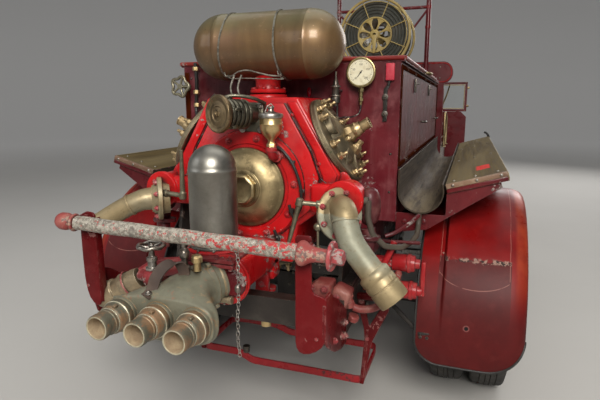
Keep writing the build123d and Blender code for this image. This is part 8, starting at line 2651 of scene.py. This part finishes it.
# ================================================================ finishes of the CAD bodies that keep their own mesh
KEEP = {
    "chassis_frame": BLACK, "leaf_springs": DARKSTEEL, "rear_axle": BLACK, "front_axle": BLACK, "engine_and_drive": IRON, "exhaust": EXHAUST,
    "body_box": MAROON, "body_lid": MAROON, "hose_troughs": TROUGH, "bench_boards": OAK, "bench_brackets": DEEP, "side_lockers": SIDE_SHADED,
    "locker_door_left": SIDE_SHADED, "locker_door_right": SIDE_SHADED, "running_boards": TREAD, "cab_floor": TREAD, "seat_back_panel": DEEP, "scuttle": DEEP,
    "windscreen": DEEP, "windscreen_glass": GLASS, "steering_column": LINKBLACK, "radiator": BRASS, "bonnet_left": BONNET, "bonnet_right": BONNET,
    "ladder_gantry": DEEP, "rear_rail": PINKRED, "guard_loop": GUARD, "drain_hose": DRAIN, "knuckle_left": BLACK, "knuckle_right": BLACK,
    "track_rod": BLACK, "mudguards": SIDE_SHADED, "wheel_front_left": GUARD, "wheel_front_right": GUARD, "wheels_rear_left": GUARD, "wheels_rear_right": GUARD,
    "tyre_front_left": TYRE, "tyre_front_right": TYRE, "tyres_rear_left": TYRE, "tyres_rear_right": TYRE, "headlamps": BRASS,
    "hose_reel": GOLD, "reel_hose": HOSERUB, "seat_cushion": LEATHER, "seat_backrest": LEATHER, "steering_wheel": EBONITE,
    "pump_casing": RED, "pump_cover": BRASS, "pump_heads": BRONZE, "air_tank": COPPER, "suction_vessel": NICKEL, "collecting_head": ALLOY,
    "suction_inlets": ALLOY_TAN, "delivery_bends": ALLOY_TAN, "pressure_gauge": LINKBLACK,
}
for nm_, ob_ in NODES.items():
    if ob_.type != "MESH":
        continue
    mt_ = KEEP.get(nm_, BLACK)
    if not ob_.material_slots:
        ob_.data.materials.append(mt_)
    for sl_ in ob_.material_slots:
        sl_.material = mt_


# ================================================================ camera, floor and light
cam = bpy.data.cameras.new("camera")
cam.sensor_width = 36.0
cam.lens = 29.1
cam.clip_start, cam.clip_end = 0.05, 250.0
co_ = bpy.data.objects.new("camera", cam)
co_.location = (0.87, -4.19, 1.52)
co_.rotation_euler = (radians(90 - 10.97), 0.0, radians(19.2))
bpy.context.scene.collection.objects.link(co_)
bpy.context.scene.camera = co_

# round floor that rises gently a long way off, so no horizon shows
fl = Piece("studio_floor")
rad_ = [(0.0, 0.0), (3.0, 0.0), (8.0, 0.0), (16.0, 0.0), (26.0, 0.0), (34.0, 0.5), (42.0, 2.2), (50.0, 5.5), (57.0, 11.0), (62.0, 19.0), (65.0, 30.0)]
ns_ = 96
for r_, z_ in rad_[1:]:
    for k in range(ns_):
        a_ = 2 * pi * k / ns_
        fl.v.append(Vector((r_ * cos(a_), r_ * sin(a_), z_)))
fl.v.append(Vector((0, 0, 0)))
c0_ = len(fl.v) - 1
faces_ = [(c0_, k, (k + 1) % ns_) for k in range(ns_)]
for i_ in range(len(rad_) - 2):
    for k in range(ns_):
        a_, b_ = i_ * ns_, (i_ + 1) * ns_
        faces_.append((a_ + k, b_ + k, b_ + (k + 1) % ns_, a_ + (k + 1) % ns_))
mf = Mat("studio_pale")
xf_ = mf.xyz()
rr_ = mf.math("SQRT", mf.math("ADD", mf.mul(xf_[0], xf_[0]), mf.mul(xf_[1], xf_[1])))
cfl = mf.mix(mf.noise(0.7, 4, 0.6), (0.46, 0.452, 0.432), (0.50, 0.490, 0.470))
# painted light: the floor turns paler far out, making up for the weaker light from the lamps there
cfl = mf.mix(mf.step(rr_, 8.0, 20.0), cfl, (0.80, 0.790, 0.770))
mf.out(cfl, mf.step(mf.noise(2.0, 3), 0.3, 0.7, 0.8, 0.9), 0.0, Specular_IOR_Level=0.15)
me_ = bpy.data.meshes.new("studio_floor")
me_.from_pydata([tuple(q) for q in fl.v], [], faces_)
me_.update()
for p_ in me_.polygons:
    p_.use_smooth = True
fo = bpy.data.objects.new("studio_floor", me_)
me_.materials.append(mf.m)
bpy.context.scene.collection.objects.link(fo)
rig.stage(fo)


def area_light(name, loc, target, size, power, color=(1, 1, 1), size_y=None):
    ld = bpy.data.lights.new(name, "AREA")
    ld.shape = "RECTANGLE" if size_y else "SQUARE"
    ld.size = size
    if size_y:
        ld.size_y = size_y
    ld.energy, ld.color = power, color
    lo = bpy.data.objects.new(name, ld)
    lo.location = loc
    lo.rotation_euler = (Vector(target) - Vector(loc)).to_track_quat("-Z", "Y").to_euler()
    bpy.context.scene.collection.objects.link(lo)
    return lo


area_light("key", (2.2, -7.4, 4.6), (0.1, -1.9, 1.0), 2.6, 520, (1.0, 0.96, 0.90))
area_light("fill_left", (-5.6, -5.6, 3.8), (0.0, -1.0, 1.0), 3.6, 78, (0.95, 0.97, 1.0))
area_light("top", (0.4, 0.0, 6.6), (0.0, -0.2, 0.0), 5.5, 120, (1.0, 0.98, 0.94))
sd_ = bpy.data.lights.new("sky_soft", "SUN")
sd_.energy, sd_.angle, sd_.color = 0.42, 1.6, (1.0, 0.99, 0.97)
so_ = bpy.data.objects.new("sky_soft", sd_)
so_.rotation_euler = (radians(12), radians(8), 0.0)
bpy.context.scene.collection.objects.link(so_)
area_light("front_fill", (3.4, 7.4, 4.6), (0.0, 1.4, 0.9), 4.0, 240, (1.0, 0.98, 0.96))
w = bpy.data.worlds.new("studio")
w.use_nodes = True
bg = next(n for n in w.node_tree.nodes if n.type == "BACKGROUND")
bg.inputs["Color"].default_value = (0.93, 0.95, 1.0, 1.0)
bg.inputs["Strength"].default_value = 0.13
bpy.context.scene.world = w
bpy.context.scene.view_settings.view_transform = "Standard"
bpy.context.scene.view_settings.look = "None"
bpy.context.scene.view_settings.exposure = 0.0

# ---------------------------------------------------------------- size of the visual model beside the CAD box
VIS_LO, VIS_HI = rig.bounds()
with open("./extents.json", "w") as fh:
    json.dump({"cad": [list(map(float, CAD_LO)), list(map(float, CAD_HI))], "visual": [list(map(float, VIS_LO)), list(map(float, VIS_HI))]}, fh)
